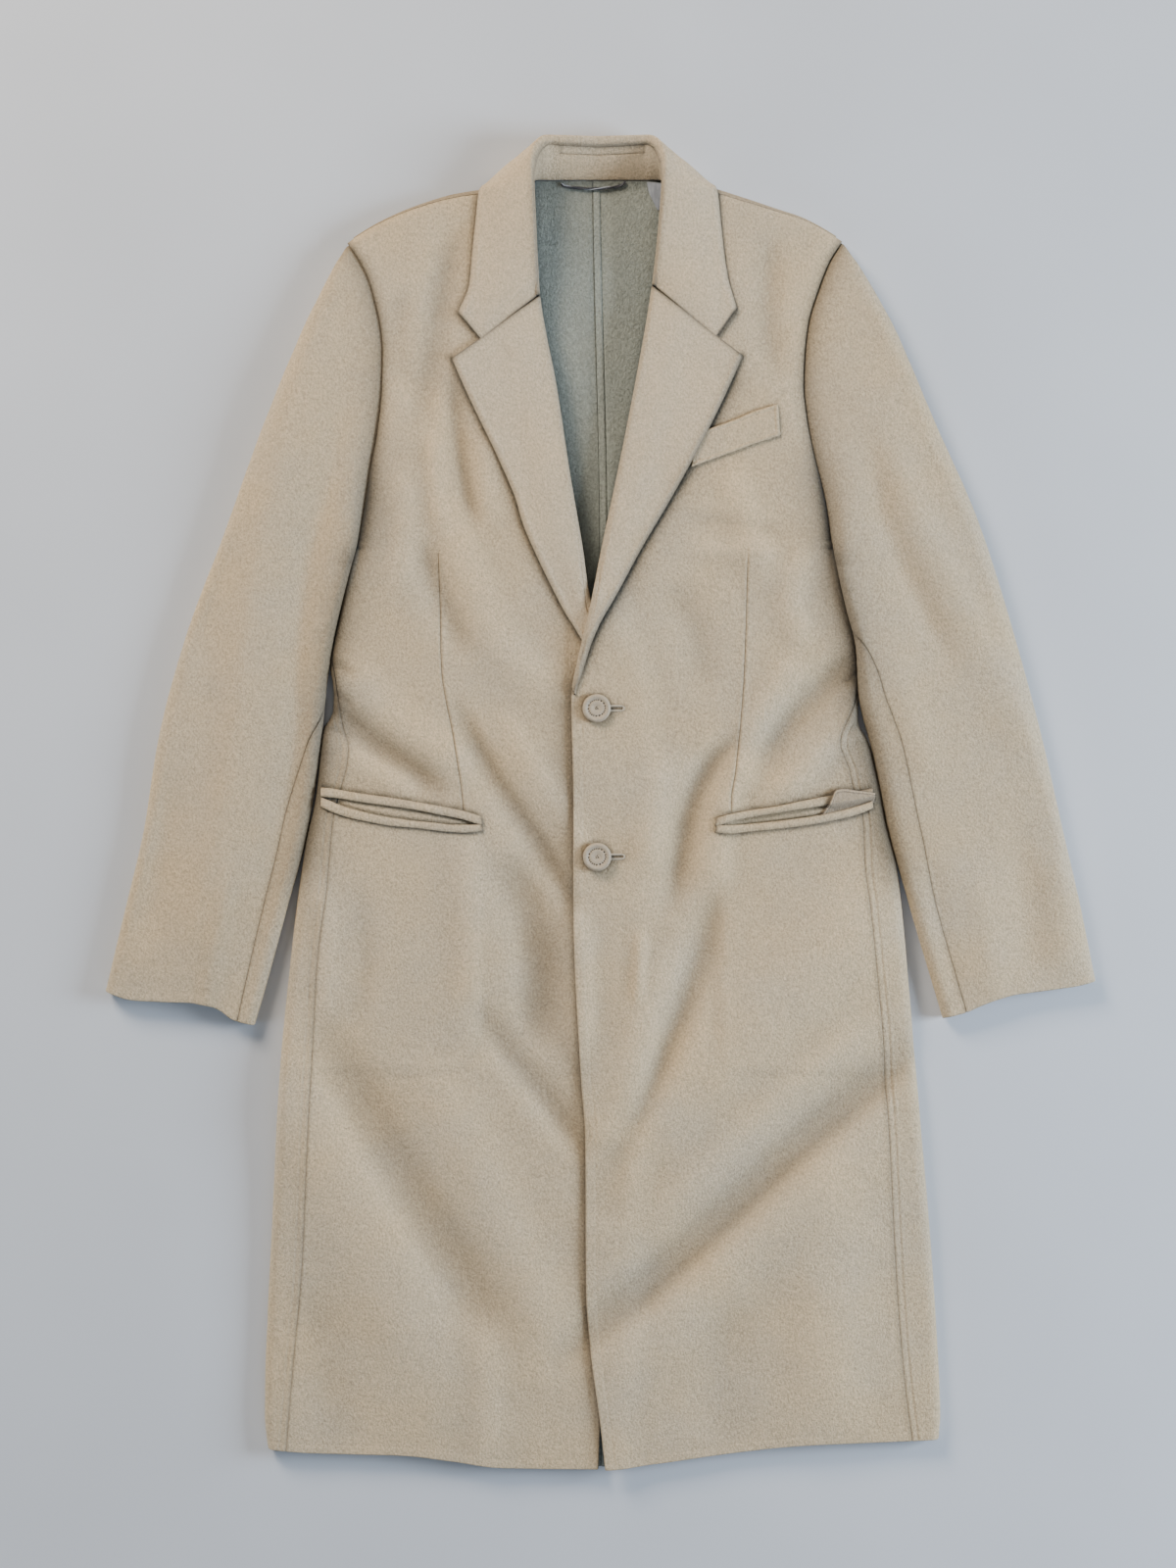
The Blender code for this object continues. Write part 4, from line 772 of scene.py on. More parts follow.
# each row: line of the crease, width, height and, for some, lean
BODY_CREASES = [Crease(*row) for row in (
    # left front: waist and pocket
    (((-238, 132), (-196, 92), (-150, 52), (-112, 24)), 30, 3.2),
    (((-240, 92), (-206, 60), (-170, 34), (-134, 8)), 19, -5.4),
    (((-228, 44), (-196, 30), (-160, 10)), 18, 1.8),
    (((-236, 122), (-226, 120), (-216, 113)), 6, -1.3),
    (((-238, 98), (-227, 95), (-215, 86)), 5, -1.1),
    (((-241, 66), (-230, 64), (-219, 57)), 6, -1.2),
    (((-128, 92), (-104, 44), (-72, -6), (-40, -54), (-22, -92)), 17, -4.2, -0.2),
    (((-88, 84), (-58, 30), (-26, -22), (-6, -60)), 22, 2.8),
    (((-84, -48), (-62, -96), (-54, -150), (-56, -214)), 26, -6.4),
    (((-22, -86), (-16, -160), (-18, -230)), 18, 3.4),
    (((-135, 262), (-118, 208), (-92, 152), (-60, 112), (-36, 88)), 28, 3.4),
    (((-156, 232), (-138, 178), (-116, 130)), 18, -2.4),
    # left chest
    (((-124, 510), (-138, 450), (-150, 380), (-158, 330)), 22, -3.4),
    (((-172, 452), (-177, 410), (-172, 360)), 19, -1.6),
    (((-96, 330), (-100, 286), (-92, 244)), 16, 1.5),
    (((-129, 380), (-124, 318), (-110, 240)), 13, -3.0),
    (((-146, 330), (-144, 280), (-136, 236)), 12, 1.8),
    (((-176, 300), (-170, 240), (-180, 180)), 20, 2.0),
    # left skirt
    (((-300, -180), (-274, -246), (-236, -324), (-196, -400), (-166, -470), (-150, -540)), 50, 5.0),
    (((-246, -196), (-206, -268), (-160, -350), (-112, -432), (-86, -480)), 31, -5.4),
    (((-160, -210), (-116, -300), (-78, -380), (-50, -450), (-40, -500)), 38, 3.2),
    (((-104, -440), (-98, -510), (-102, -590)), 24, 2.0),
    (((-262, -420), (-240, -490), (-230, -580)), 30, -1.8),
    (((-118, -20), (-112, -110), (-116, -200)), 26, 2.6),
    (((-108, -176), (-76, -222), (-44, -262), (-12, -306)), 20, -3.8, 0.1),
    (((-250, -60), (-238, -120), (-240, -190)), 16, 1.8),
    (((-212, -70), (-206, -130), (-214, -196)), 16, -1.2),
    (((-104, -46), (-102, -180), (-112, -226), (-142, -237), (-228, -234)), 8, -0.32),
    # right front: waist
    (((224, 128), (196, 104), (168, 74), (132, 26)), 20, -4.4),
    (((234, 86), (206, 60), (170, 22), (140, 4)), 20, 3.0),
    (((176, 134), (150, 96), (128, 50)), 22, 2.4),
    (((232, 118), (222, 112), (212, 104)), 6, -1.3),
    (((236, 78), (224, 70), (214, 60)), 6, -1.2),
    (((120, 62), (96, 34), (80, 0), (70, -46), (62, -94)), 16, -4.4),
    (((146, 56), (116, 18), (102, -30), (98, -90)), 22, 3.2),
    (((58, 50), (50, 0), (40, -60)), 20, 2.0),
    (((36, -108), (34, -144), (32, -176)), 7, 1.9),
    # right skirt
    (((248, -60), (204, -124), (146, -186), (80, -246), (10, -312)), 62, 5.6),
    (((282, -206), (250, -236), (188, -288), (114, -358), (52, -414), (-40, -490)), 24, -7.8, -0.1),
    (((252, -180), (190, -228), (120, -292), (40, -370)), 24, 2.4),
    (((256, -286), (190, -336), (114, -406), (44, -476), (0, -524)), 40, 3.2),
    (((104, -70), (84, -144), (40, -258), (8, -326)), 19, -4.0),
    (((10, -292), (4, -334), (2, -366)), 30, -1.4),
    (((60, -120), (40, -190), (16, -256)), 26, 2.2),
    (((214, -310), (198, -420), (196, -570)), 54, 4.4),
    (((120, -430), (106, -500), (110, -580)), 34, -1.6),
    (((98, -46), (98, -190), (108, -228), (132, -237), (212, -236)), 8, -0.32),
    # right chest
    (((70, 250), (116, 246), (164, 238)), 11, -1.1),
    (((74, 226), (120, 222), (158, 220)), 11, 1.0),
    (((150, 500), (146, 430), (156, 370)), 20, -2.2),
    (((112, 300), (128, 250), (150, 190)), 24, 2.2),
    (((60, 196), (84, 150), (92, 96)), 24, -2.2),
    (((178, 230), (168, 180), (180, 130)), 20, 2.4),
)]
SLEEVE_CREASES = {
    Hand.LEFT: [Crease(*row) for row in (
        (((-244, 424), (-270, 328), (-302, 190), (-318, 50), (-350, -107), (-368, -190)), 32, 3.6, 0.2),
        (((-222, 372), (-236, 290), (-258, 190), (-266, 60), (-299, -107), (-316, -190)), 20, -2.8),
        (((-306, 330), (-334, 238), (-356, 120)), 26, -2.2),
        (((-372, 30), (-386, -60), (-402, -130)), 24, -2.6),
        (((-250, 176), (-256, 120), (-258, 80)), 14, 1.2),
        (((-322, -50), (-336, -120), (-348, -192)), 14, 2.2),
        (((-230, 470), (-246, 440), (-268, 420)), 16, 1.4),
    )],
    Hand.RIGHT: [Crease(*row) for row in (
        (((240, 356), (262, 286), (294, 214), (344, 118), (392, 16)), 30, 2.6, -0.2),
        (((230, 330), (250, 248), (280, 176), (310, 112)), 20, -2.0),
        (((246, 150), (268, 84), (288, 10)), 24, 1.3),
        (((396, -36), (404, -90), (412, -156)), 26, 1.8),
        (((360, 0), (370, -70), (378, -150)), 24, -1.2),
        (((330, -60), (338, -120), (346, -186)), 22, 1.3),
        (((286, -40), (304, -130), (318, -186)), 13, -1.0),
        (((228, 470), (244, 436), (262, 400)), 16, 1.4),
    )],
}


def uneven(x: Array, y: Array, seed: float = 0.0) -> Array:
    """Slight unevenness of cloth laid by hand, a fraction of a millimetre."""
    return (0.34 * np.sin(x / 23.0 + 1.7 * np.sin(y / 61.0 + seed) + seed)
            + 0.30 * np.sin(y / 31.0 + 1.3 * np.sin(x / 47.0 - seed))
            + 0.16 * np.sin((x + y) / 13.0 + 1.1 * np.sin((x - y) / 29.0)))


def felled(distance: Array, band: float = FELL, up: float = 0.14) -> Array:
    """Height added by a turned and felled edge at a distance in from the edge."""
    raised = up * (1 - ease((distance - band + 0.8) / 1.6))
    return raised - 1.2 * up * bell(distance - band - 0.4, 1.3)


def beside(x: Array, y: Array, line: Array) -> Array:
    """Distance from each point to the nearest of a line's points.

    Args:
        x: places to the right.
        y: levels.
        line: the line's points.

    Returns:
        The distances.
    """
    square = np.full(x.shape, np.inf)
    for px, py in line:
        square = np.minimum(square, (x - px) ** 2 + (y - py) ** 2)
    return np.sqrt(square)


def dense(rows: Array, count: int) -> Array:
    """A smooth line through rows of places, as ``count`` points.

    Args:
        rows: the places.
        count: how many points to read.

    Returns:
        The points.
    """
    rows = np.asarray(rows, float)
    at = np.linspace(0, len(rows) - 1, count)
    return np.stack([Curve(tuple(enumerate(column)))(at) for column in rows.T], -1)


def dim(distance: Array, amount: float, reach: float) -> Array:
    """Painted shade beside a seam or an edge: darker by ``amount`` at it, and even again past ``reach``."""
    return 1 - amount * np.exp(-np.maximum(distance, 0) / reach)


FLAP_SIDE = Curve(((-11, 193.0), (-1.7, 197.9), (7.7, 202.5), (12.2, 207.1), (13.2, 212.0)))
FLAP_TOP = Curve(((202, 8.5), (207, 12.4), (214, 13.2), (222, 11.8), (232, 10.6), (245, 8.4)))
FLAP_EDGE = np.array([(float(FLAP_SIDE(y)), y) for y in np.linspace(-6, 12, 24)]
                     + [(x, float(FLAP_TOP(x))) for x in np.linspace(207, 238, 36)])
BUTTONS = {"button_upper": (-3.2, 84.3), "button_lower": (-2.8, -45.5)}
BUTTON_RADIUS = 12.3
HOLE_REACH = (8.0, 22.4)        # where a buttonhole starts and ends, out from the button's middle
WELT_TOP = Curve(((86, 324.6), (96, 328.2), (112, 333.7), (138, 344.3), (156, 349.8)))
WELT_LOW = Curve(((78, 295.2), (86, 298.4), (112, 307.9), (138, 317.6), (157, 323.7)))
WELT_EDGE = np.array(
    [(x, float(WELT_TOP(x)) + 0.4) for x in np.linspace(86, 155, 60)]
    + [(155.3 + 1.2 * t, 349.8 - 26.1 * t) for t in np.linspace(0, 1, 24)]
    + [(x, float(WELT_LOW(x)) - 0.6) for x in np.linspace(80, 157, 60)])
REVERS_EDGE = {hand: np.concatenate([
    dense([row[1:] for row in LAPEL_ROWS[hand]], 160),
    dense([NOTCH[hand], COLLAR_EDGE[hand][0]], 12),
    dense(COLLAR_EDGE[hand], 70)]) for hand in Hand}


@dataclass
class BodyForm:
    """Heights of the flattened body's upper and lower layers."""

    overlap_slack: float = 1.1
    highest: float = 12.0       # the most that ridges can rise
    bag_lift: float = 0.8       # pocket bags pressed through
    armhole_press: tuple[float, float] = (3.4, 7.0)     # how deep the armhole draws in, and how far
    roll_swell: float = 2.6     # the lapped front lifts where the roll ends
    # painted shade: hollows and troughs darker, ridges lighter, and darker beside armholes, folds, sleeves
    # and revers
    shade_stride: float = 12.0
    hollow_shade_depth: float = 0.15
    trough_dim: float = 0.029
    armhole_dim: dict[Hand, tuple[float, float]] = by_hand((0.68, 3.4), (0.70, 2.8))
    armhole_spread: float = 5.0
    waist_dim: dict[Hand, tuple[float, float]] = by_hand((0.70, 7.0), (0.66, 11.0))
    revers_wide: dict[Hand, float] = by_hand(0.22, 0.74)        # painted soft shadow below the revers
    revers_close: dict[Hand, float] = by_hand(2.3, 1.7)         # reach of the painted dark shadow line beside them
    sleeve_shade: tuple[float, float] = (0.88, 13.0)
    depth: float = 1.7          # how deep the creases of the body are, against the table

    @staticmethod
    def folds(x: Array, y: Array) -> Array:
        """Height of all the creases together, before they meet the table."""
        return sum(crease.lift(x, y) for crease in BODY_CREASES)

    def open_height(self, hand: Hand, x: Array, y: Array) -> Array:
        """Height of the upper layer's middle, before it rounds over the folds.

        Args:
            hand: side of the coat.
            x: places to the right.
            y: levels.

        Returns:
            The heights.
        """
        z = TOTAL(y) - HALF + uneven(x, y)
        folds = self.depth * self.folds(x, y)
        room = TOTAL(y) - 2 * CLOTH - self.overlap_slack
        sunk, raised = room * np.tanh(folds / room), self.highest * np.tanh(folds / self.highest)
        z = z + np.where(folds < 0, sunk, raised)
        out = np.abs(x)
        bag = ease((out - 100) / 12) * ease((-y + 4) / 10) * ease((y + 240) / 12)
        z = z + self.bag_lift * bag
        deep, reach = self.armhole_press
        hug = np.where(y > UNDERARM - 30, np.exp(-np.abs(ARMHOLE[hand](y) - out) / reach), 0.0)
        z = z - deep * hug * ease((y - UNDERARM + 30) / 30)
        if hand is Hand.RIGHT:
            step = (CLOTH + GAP + self.overlap_slack) * (1 - ease((y - 184) / 20))
            z = z + step * (1 - ease((x - INNER[Hand.LEFT](y) - 14) / 30))
            over = np.exp(-2.3 * (((x + 2) / 34) ** 2 + ((y - 158) / 44) ** 2))
            z = z + self.roll_swell * over
        return z

    def share(self, hand: Hand, x: Array, y: Array) -> Array:
        """How fully the body is open: 0 on the folds, 1 well inside them.

        Args:
            hand: side of the coat.
            x: places to the right.
            y: levels.

        Returns:
            The shares.
        """
        out = np.abs(x)
        side = rounding(FOLD[hand](y) - HALF - out, SIDE_ROUND(y))
        share = np.where(y < UNDERARM, side, 1.0)
        top = rounding(SHOULDER[hand](out) - HALF - y, SHOULDER_ROUND)
        return share * np.where(out > NECK_HALF, top, 1.0)

    def layers(self, hand: Hand, x: Array, y: Array) -> tuple[Array, Array]:
        """Middle heights of the upper and the lower layer at each point.

        Args:
            hand: side of the coat.
            x: places to the right.
            y: levels.

        Returns:
            The upper and the lower heights.
        """
        rise = self.open_height(hand, x, y) - HALF
        share = self.share(hand, x, y)
        return HALF + rise * (1 + share) / 2, HALF + rise * (1 - share) / 2

    def painted_shade(self, hand: Hand, x: Array, y: Array) -> Array:
        """Painted shade on the body: darker in troughs and beside seams, folds and laid-over edges, lighter
        on ridges.

        Args:
            hand: side of the coat.
            x: places to the right.
            y: levels.

        Returns:
            A factor for the tone at each point.
        """
        out, stride = np.abs(x), self.shade_stride
        # painted shade: hollows darker and ridges lighter than the cloth around them, troughs darker by their
        # depth
        around = sum(self.open_height(hand, x + dx, y + dy) for dx, dy in
                     ((stride, 0), (-stride, 0), (0, stride), (0, -stride))) / 4
        tone = 1 - self.hollow_shade_depth * np.clip((around - self.open_height(hand, x, y)) / 1.5, -0.5, 1.8)
        tone = tone * (1 - self.trough_dim * np.clip(-self.folds(x, y), -1.5, 7.0))
        # painted shade beside the armhole, the side fold, the sleeve, the side seam and the dart
        amount, reach = self.armhole_dim[hand]
        reach = reach + self.armhole_spread * (1 - ease((y - UNDERARM) / 90))
        arm = dim(ARMHOLE[hand](y) - out, amount, reach)
        tone = tone * np.where(y > UNDERARM - 6, arm, 1.0)
        close = ease((y + 100) / 60) * (1 - ease((y - 222) / 10))
        tone = tone * (1 - (1 - dim(FOLD[hand](y) - out, *self.waist_dim[hand])) * close)
        sleeve = np.asarray(SLEEVE_ROWS[hand], float)[::-1]
        line = np.where(y > UNDERARM, ARMHOLE[hand](y), np.interp(y, sleeve[:, 3], sleeve[:, 2]))
        close = ease((350 - y) / 90) * ease((y + 100) / 60)
        tone = tone * (1 - (1 - dim(line - out, *self.sleeve_shade)) * close)
        seam = np.abs(SIDE_SEAM[hand](y) - out)
        tone = tone * np.where(y < UNDERARM, dim(seam, 0.56, 1.1), 1.0)
        off = np.abs(out - DART[hand](y))
        fade = ease((y - DART_ENDS[0]) / 8) * ease((DART_ENDS[1] - y) / 40)
        tone = tone * (1 - 0.70 * bell(off, 1.4) * fade)
        # painted shadow beside and below the revers
        edge = beside(x, y, REVERS_EDGE[hand])
        below = ease((REVERS_EDGE[hand][0, 1] - y) / 30) * ease((y - REVERS_START) / 90)
        narrow = dim(edge - 1.4, 0.76, self.revers_close[hand])
        tone = tone * (1 - (1 - narrow) * (0.35 + 0.65 * ease((y - REVERS_START) / 60)))
        tone = tone * (1 - (1 - dim(edge - 1.0, self.revers_wide[hand], 7.0)) * below)
        # painted shadow cast by the right front's edge on the left front
        if hand is Hand.LEFT:
            lap = dim(INNER[Hand.RIGHT](y) - x, 0.64, 4.5 + 5.0 * ease((y + 100) / 120))
            tone = tone * (1 - (1 - lap) * (1 - ease((y - 100) / 40)))
        return tone

    def mid(self, hand: Hand, x: Array, y: Array) -> Array:
        """Middle height of the upper layer."""
        x, y = np.broadcast_arrays(np.asarray(x, float), np.asarray(y, float))
        return self.layers(hand, x, y)[0]

    def top(self, hand: Hand, x: Array, y: Array) -> Array:
        """Height of the upper layer's outer face."""
        return self.mid(hand, x, y) + HALF


def spaced(length: float, coarse: float, marks: tuple[float, ...], fine: float = 0.6,
           growth: float = 0.3) -> Array:
    """Places along a length, close together near the marks.

    Args:
        length: the nominal length in millimetres.
        coarse: widest spacing.
        marks: places that need close spacing.
        fine: spacing at a mark.
        growth: how fast the spacing widens away from it.

    Returns:
        Places from 0 to ``length``.
    """
    places = [0.0]
    while places[-1] < length:
        here = places[-1]
        places.append(here + min([coarse] + [fine + growth * abs(here + fine - m) for m in marks]))
    return np.asarray(places) * length / places[-1]


def stretch(at: Array, nominal: tuple[float, ...], actual: tuple[Array | float, ...]) -> Array:
    """Carry nominal places to actual ones, piece by piece between matching anchors.

    Args:
        at: the nominal places.
        nominal: anchors among them.
        actual: where each anchor lies.

    Returns:
        The actual places.
    """
    result = np.zeros(np.broadcast(at, *actual).shape)
    for k in range(len(nominal) - 1):
        inside = (at >= nominal[k]) & (at <= nominal[k + 1])
        share = (at - nominal[k]) / (nominal[k + 1] - nominal[k])
        value = actual[k] + (np.asarray(actual[k + 1]) - actual[k]) * share
        result = np.where(inside, value, result)
    return result


def seam_drop(x: Array) -> Array:
    """How far the forward shoulder seam lies below the shoulder fold."""
    return 6.0 - 4.5 * np.clip((np.abs(x) - NECK_HALF) / 155.0, 0, 1)


@dataclass
class PocketLines:
    """Edges of a hip pocket's two jets, as (out, level)."""

    upper_top: Curve
    upper_low: Curve
    lower_top: Curve
    lower_low: Curve
    start: float
    stop: float
    mouth_start: float
    mouth_stop: float

    def painted_shade(self, out: Array, level: Array) -> Array:
        """Painted shade on the front beside the jets and in the mouth between them.

        Args:
            out: distances from the centre line.
            level: levels.

        Returns:
            A factor for the tone at each point.
        """
        along = ease((out - self.start + 3) / 6) * ease((self.stop + 3 - out) / 6)
        below, above = self.lower_low(out) - level, level - self.upper_top(out)
        shade = np.where(below > 0, dim(below - 1.2, 0.62, 1.6), dim(above - 1.9, 0.66, 1.8))
        between = (level < self.upper_low(out) + 0.8) & (level > self.lower_top(out) - 0.8)
        shade = np.where(between, 0.22, shade)
        return 1 - (1 - shade) * along

    def inside(self, out: Array, level: Array, spare: float) -> Array:
        """Whether points lie in the mouth, widened by ``spare`` under the jets."""
        return ((out > self.mouth_start) & (out < self.mouth_stop)
                & (level < self.upper_low(out) + spare) & (level > self.lower_top(out) - spare))


POCKETS = {
    Hand.LEFT: PocketLines(
        Curve(((103, -11.2), (120, -6), (156, 0.9), (184, 5.7), (211, 9.5), (238, 14), (249, 15))),
        Curve(((105, -17.2), (123, -11.9), (140, -8.6), (161, -4.3), (184, -0.9), (211, 2.9),
               (233, 6.5), (249, 7.7))),
        Curve(((105, -18.1), (129, -18.1), (145, -16.3), (161, -15), (178, -12.6), (194, -10),
               (211, -5.8), (224, -2.1), (238, 3.4), (249, 7.7))),
        Curve(((105, -22.9), (118, -24.1), (129, -23.7), (161, -20.1), (184, -18.1), (200, -15.2),
               (216, -11.9), (233, -6.9), (250, 1.7))),
        103.8, 244.0, 112.0, 232.0),
    Hand.RIGHT: PocketLines(
        Curve(((101, -12), (114, -8.6), (130, -5.6), (153, -2.2), (176, 2.6), (199, 7), (241, 14))),
        Curve(((102, -18.3), (113, -14.6), (130, -10.8), (153, -6.9), (176, -3.4), (197, -0.4),
               (220, 3), (241, 8))),
        Curve(((102, -18.7), (118, -18.3), (142, -16.3), (164, -13.8), (193, -9.5), (210, -6),
               (228, -0.9), (245, 5.2))),
        Curve(((103, -24.1), (113, -24.9), (130, -23.2), (153, -21), (176, -18.3), (199, -14.3),
               (216, -10.8), (233, -5.2), (244, 0.9))),
        101.4, 238.0, 110.0, 226.0),
}


TURN_REACH = Curve(((95, 10), (150, 14), (250, 34), (350, 50), (460, 56)))


@dataclass
class Turnback:
    """Height of the cloth that is turned back over a front, by its distance from the roll."""

    form: BodyForm
    roll_open: float = 2.6
    roll_start: dict[Hand, float] = by_hand(140.0, 97.0)    # level where the roll begins to open
    tightest: float = 1.35      # half the height of the closed fold below it

    def radius(self, hand: Hand, level: Array) -> Array:
        """Half the height of the roll at a level.

        Args:
            hand: side of the coat.
            level: levels on the roll line.

        Returns:
            The radii.
        """
        full = (CLOTH + GAP + self.roll_open) / 2
        opened = ease((level - self.roll_start[hand]) / 60)
        return self.tightest + (full - self.tightest) * opened

    def base(self, hand: Hand, level: Array) -> Array:
        """Height of the front's middle beside the roll."""
        s = hand.value
        return self.form.mid(hand, INNER[hand](level) + s * INSET[hand](level), level)

    def height(self, hand: Hand, x: Array, y: Array, roll_level: Array, off: Array) -> Array:
        """Middle height of turned-back cloth.

        Args:
            hand: side of the coat.
            x: places to the right.
            y: levels.
            roll_level: level on the roll line that each point turns from.
            off: distance from the roll line.

        Returns:
            The heights.
        """
        rest = self.form.mid(hand, x, y) + CLOTH + GAP + 0.9
        if hand is Hand.RIGHT:
            rest = rest + 2.4 * np.exp(-1.6 * (np.hypot(x - 84, y - 308) / 34) ** 4)
        high = self.base(hand, roll_level) + 2 * self.radius(hand, roll_level)
        fall = ease(off / TURN_REACH(roll_level))
        puff = 1.6 * bell(off - 0.45 * TURN_REACH(roll_level), 22) * ease((roll_level - 150) / 60)
        blended = high * (1 - fall) + rest * fall + puff * (1 - ease(off / 90))
        return rest + np.maximum(blended - rest, 0)


# --- workroom ---
@dataclass
class Workroom:
    """Where the pieces are made: the finishes, the body's form, and what each piece stands for."""

    wardrobe: Wardrobe = field(default_factory=Wardrobe)
    form: BodyForm = field(default_factory=BodyForm)
    made: list[str] = field(default_factory=list)

    def settle(self, piece: Piece, nodes: tuple[str, ...], slot: str) -> None:
        """Tie a piece to the coat and hide the solids that it stands for.

        Args:
            piece: the finished piece.
            nodes: the solids that it replaces, if any.
            slot: name of its material slot; not used.
        """
        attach(piece, BODY)
        if nodes:
            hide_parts(*nodes)
        self.made.append(piece.name)
        LOG.info("%s: %d faces", piece.name, len(piece.data.polygons))

    def sew(self, shell: Shell, finishes: Finishes, node: str, slot: str, rests_on: list[str]) -> None:
        """Make a piece of cloth, tie it to the coat and state its flat cut.

        Args:
            shell: the sheet of cloth, whose middle surface gives the cut.
            finishes: its materials.
            node: the solid that it replaces.
            slot: name of its material slot; not used.
            rests_on: the pieces under it; not used.
        """
        piece, grid = shell.build(finishes), shell.grid
        self.settle(piece, (node,), slot)
        across = np.linalg.norm(np.diff(grid, axis=1), axis=2).sum(axis=1)
        along = np.linalg.norm(np.diff(grid, axis=0), axis=2).sum(axis=0)
        first, second = grid[1:, 1:] - grid[:-1, :-1], grid[1:, :-1] - grid[:-1, 1:]
        area = np.linalg.norm(np.cross(first, second), axis=2).sum() / 2
        width = max(round(float(across.max()) * MM, 3), 0.010)
        length = max(round(float(along.max()) * MM, 3), 0.010)
        area = min(round(float(area) * MM * MM, 5), width * length)
        LOG.info("%s cut: %.3f x %.3f m, %.4f square metres", piece.name, width, length, area)


@dataclass
class Part:
    """A sub-assembly of the coat, made in the workroom."""

    room: Workroom

    @property
    def form(self) -> BodyForm:
        """Heights of the flattened body."""
        return self.room.form

    @property
    def wardrobe(self) -> Wardrobe:
        """The coat's finishes."""
        return self.room.wardrobe

    @property
    def turn(self) -> Turnback:
        """Heights of the cloth that is turned back."""
        return Turnback(self.form)


@dataclass
class SidePart(Part):
    """A sub-assembly that is made once for each side of the coat."""

    hand: Hand

    @property
    def lines(self) -> PocketLines:
        """Edges of this side's hip pocket."""
        return POCKETS[self.hand]


# --- body panels ---
@dataclass
class Front(SidePart):
    """One front, from the side seam and armhole to the front edge and the roll."""

    cell: float = 3.1
    seam_share: float = 0.45
    zone: float = 14.0
    nominal_wide: float = 250.0
    nominal_dart: float = 118.0
    dart_zone: float = 6.0
    nominal_low: float = 800.0
    nominal_high: float = 310.0

    def plan(self) -> tuple[Array, Array]:
        """Plan of the front's grid: rows from the hem up, columns from the side to the edge.

        Returns:
            Places to the right, and levels.
        """
        s = self.hand.value
        wide, dart, zone = self.nominal_wide, self.nominal_dart, self.zone
        low, high = self.nominal_low, self.nominal_high
        across = spaced(wide, self.cell, (0.0, 8.0, dart, wide - 8.0, wide))[None, :]
        along = np.concatenate([
            spaced(low, self.cell, (0.0, FELL, low), 0.7),
            low + spaced(high, self.cell, (high,), 0.7)[1:]])[:, None]
        x = np.full((along.size, across.size), 100.0) * s
        y = np.broadcast_to(along + HEM_LEVEL, x.shape)
        for _ in range(14):
            hem = HEM(x) + 0.6
            top = SHOULDER[self.hand](np.abs(x)) - HALF - seam_drop(x) - self.seam_share
            y = stretch(along, (0, zone, low, low + high - zone, low + high),
                        (hem, hem + zone, UNDERARM, top - zone, top))
            side = SIDE_SEAM[self.hand](y) - self.seam_share
            arm = ARMHOLE[self.hand](y) - self.seam_share
            outer = np.where(along <= low, side, side + (arm - side) * ease((along - low) / 3))
            inner = INNER[self.hand](y) * s + INSET[self.hand](y) * np.ones_like(x)
            middle = np.clip(DART[self.hand](y), inner + zone + 8, outer - zone - 8)
            half = self.dart_zone
            out = stretch(across, (0, zone, dart - half, dart + half, wide - zone, wide),
                          (outer, outer - zone, middle + half, middle - half, inner + zone, inner))
            x = s * out
        return x, y

    def details(self, x: Array, y: Array) -> Array:
        """Small relief: felled hem and front edge, the dart, and the seams' soft borders.

        Args:
            x: places to the right.
            y: levels.

        Returns:
            Heights to add.
        """
        s = self.hand.value
        z = felled(y - HEM(x))
        edge = s * (x - INNER[self.hand](y))
        z = z + felled(edge, 8.6, 0.22) * (1 - ease((y - 95) / 30))
        off = np.abs(x) - DART[self.hand](y)
        fade = ease((y - DART_ENDS[0]) / 8) * ease((DART_ENDS[1] - y) / 26)
        z = z + (0.7 * bell(off, 5.0) - 2.0 * bell(off, 1.1)) * fade
        seam = SIDE_SEAM[self.hand](y) - np.abs(x)
        z = z + 0.35 * bell(seam - 1.6, 2.2) * (y < UNDERARM)
        return z

    def painted_shade(self, x: Array, y: Array) -> Array:
        """Painted shade on the front: as the body's, and darker beside what is sewn on it, with painted
        contact shadows round the buttons.

        Args:
            x: places to the right.
            y: levels.

        Returns:
            A factor for the tone at each point.
        """
        painted_shade = self.form.painted_shade(self.hand, x, y) * self.lines.painted_shade(np.abs(x), y)
        if self.hand is Hand.LEFT:
            return painted_shade
        painted_shade = painted_shade * dim(beside(x, y, WELT_EDGE), 0.34, 1.3)
        painted_shade = painted_shade * dim(x - INNER[self.hand](y), 0.12, 1.4)
        painted_shade = painted_shade * dim(beside(x, y, FLAP_EDGE) - 1.0, 0.55, 1.8)
        # painted contact shadow round each button, and painted shade along its buttonhole
        for centre in BUTTONS.values():
            away = np.hypot(x - centre[0], y - centre[1]) - BUTTON_RADIUS
            painted_shade = painted_shade * np.where(away > -3, dim(away - 0.5, 0.64, 1.7), 1.0)
            along = np.clip(x - centre[0], *HOLE_REACH)
            hole = np.hypot(x - centre[0] - along, y - centre[1]) - 2.6
            painted_shade = painted_shade * dim(hole, 0.5, 1.2)
        return painted_shade

    def build(self) -> None:
        """Make the front with its pocket mouth cut out."""
        x, y = self.plan()
        z = self.form.mid(self.hand, x, y) + self.details(x, y)
        grid = np.stack([x, y, z], -1)
        centre = (grid[:-1, :-1] + grid[1:, 1:]) / 2
        holes = self.lines.inside(np.abs(centre[..., 0]), centre[..., 1], 1.6)
        tag = self.hand.tag
        shell = Shell(f"front_{tag}_cloth", grid, self.hand.value, rolls=(0.9, 0.45, 0.45, 1.2),
                      open_cells=holes, shade=self.painted_shade(x, y))
        self.room.sew(shell, self.wardrobe.cloth(), f"front_{tag}", "camel_wool", [f"back_{tag}_cloth"])


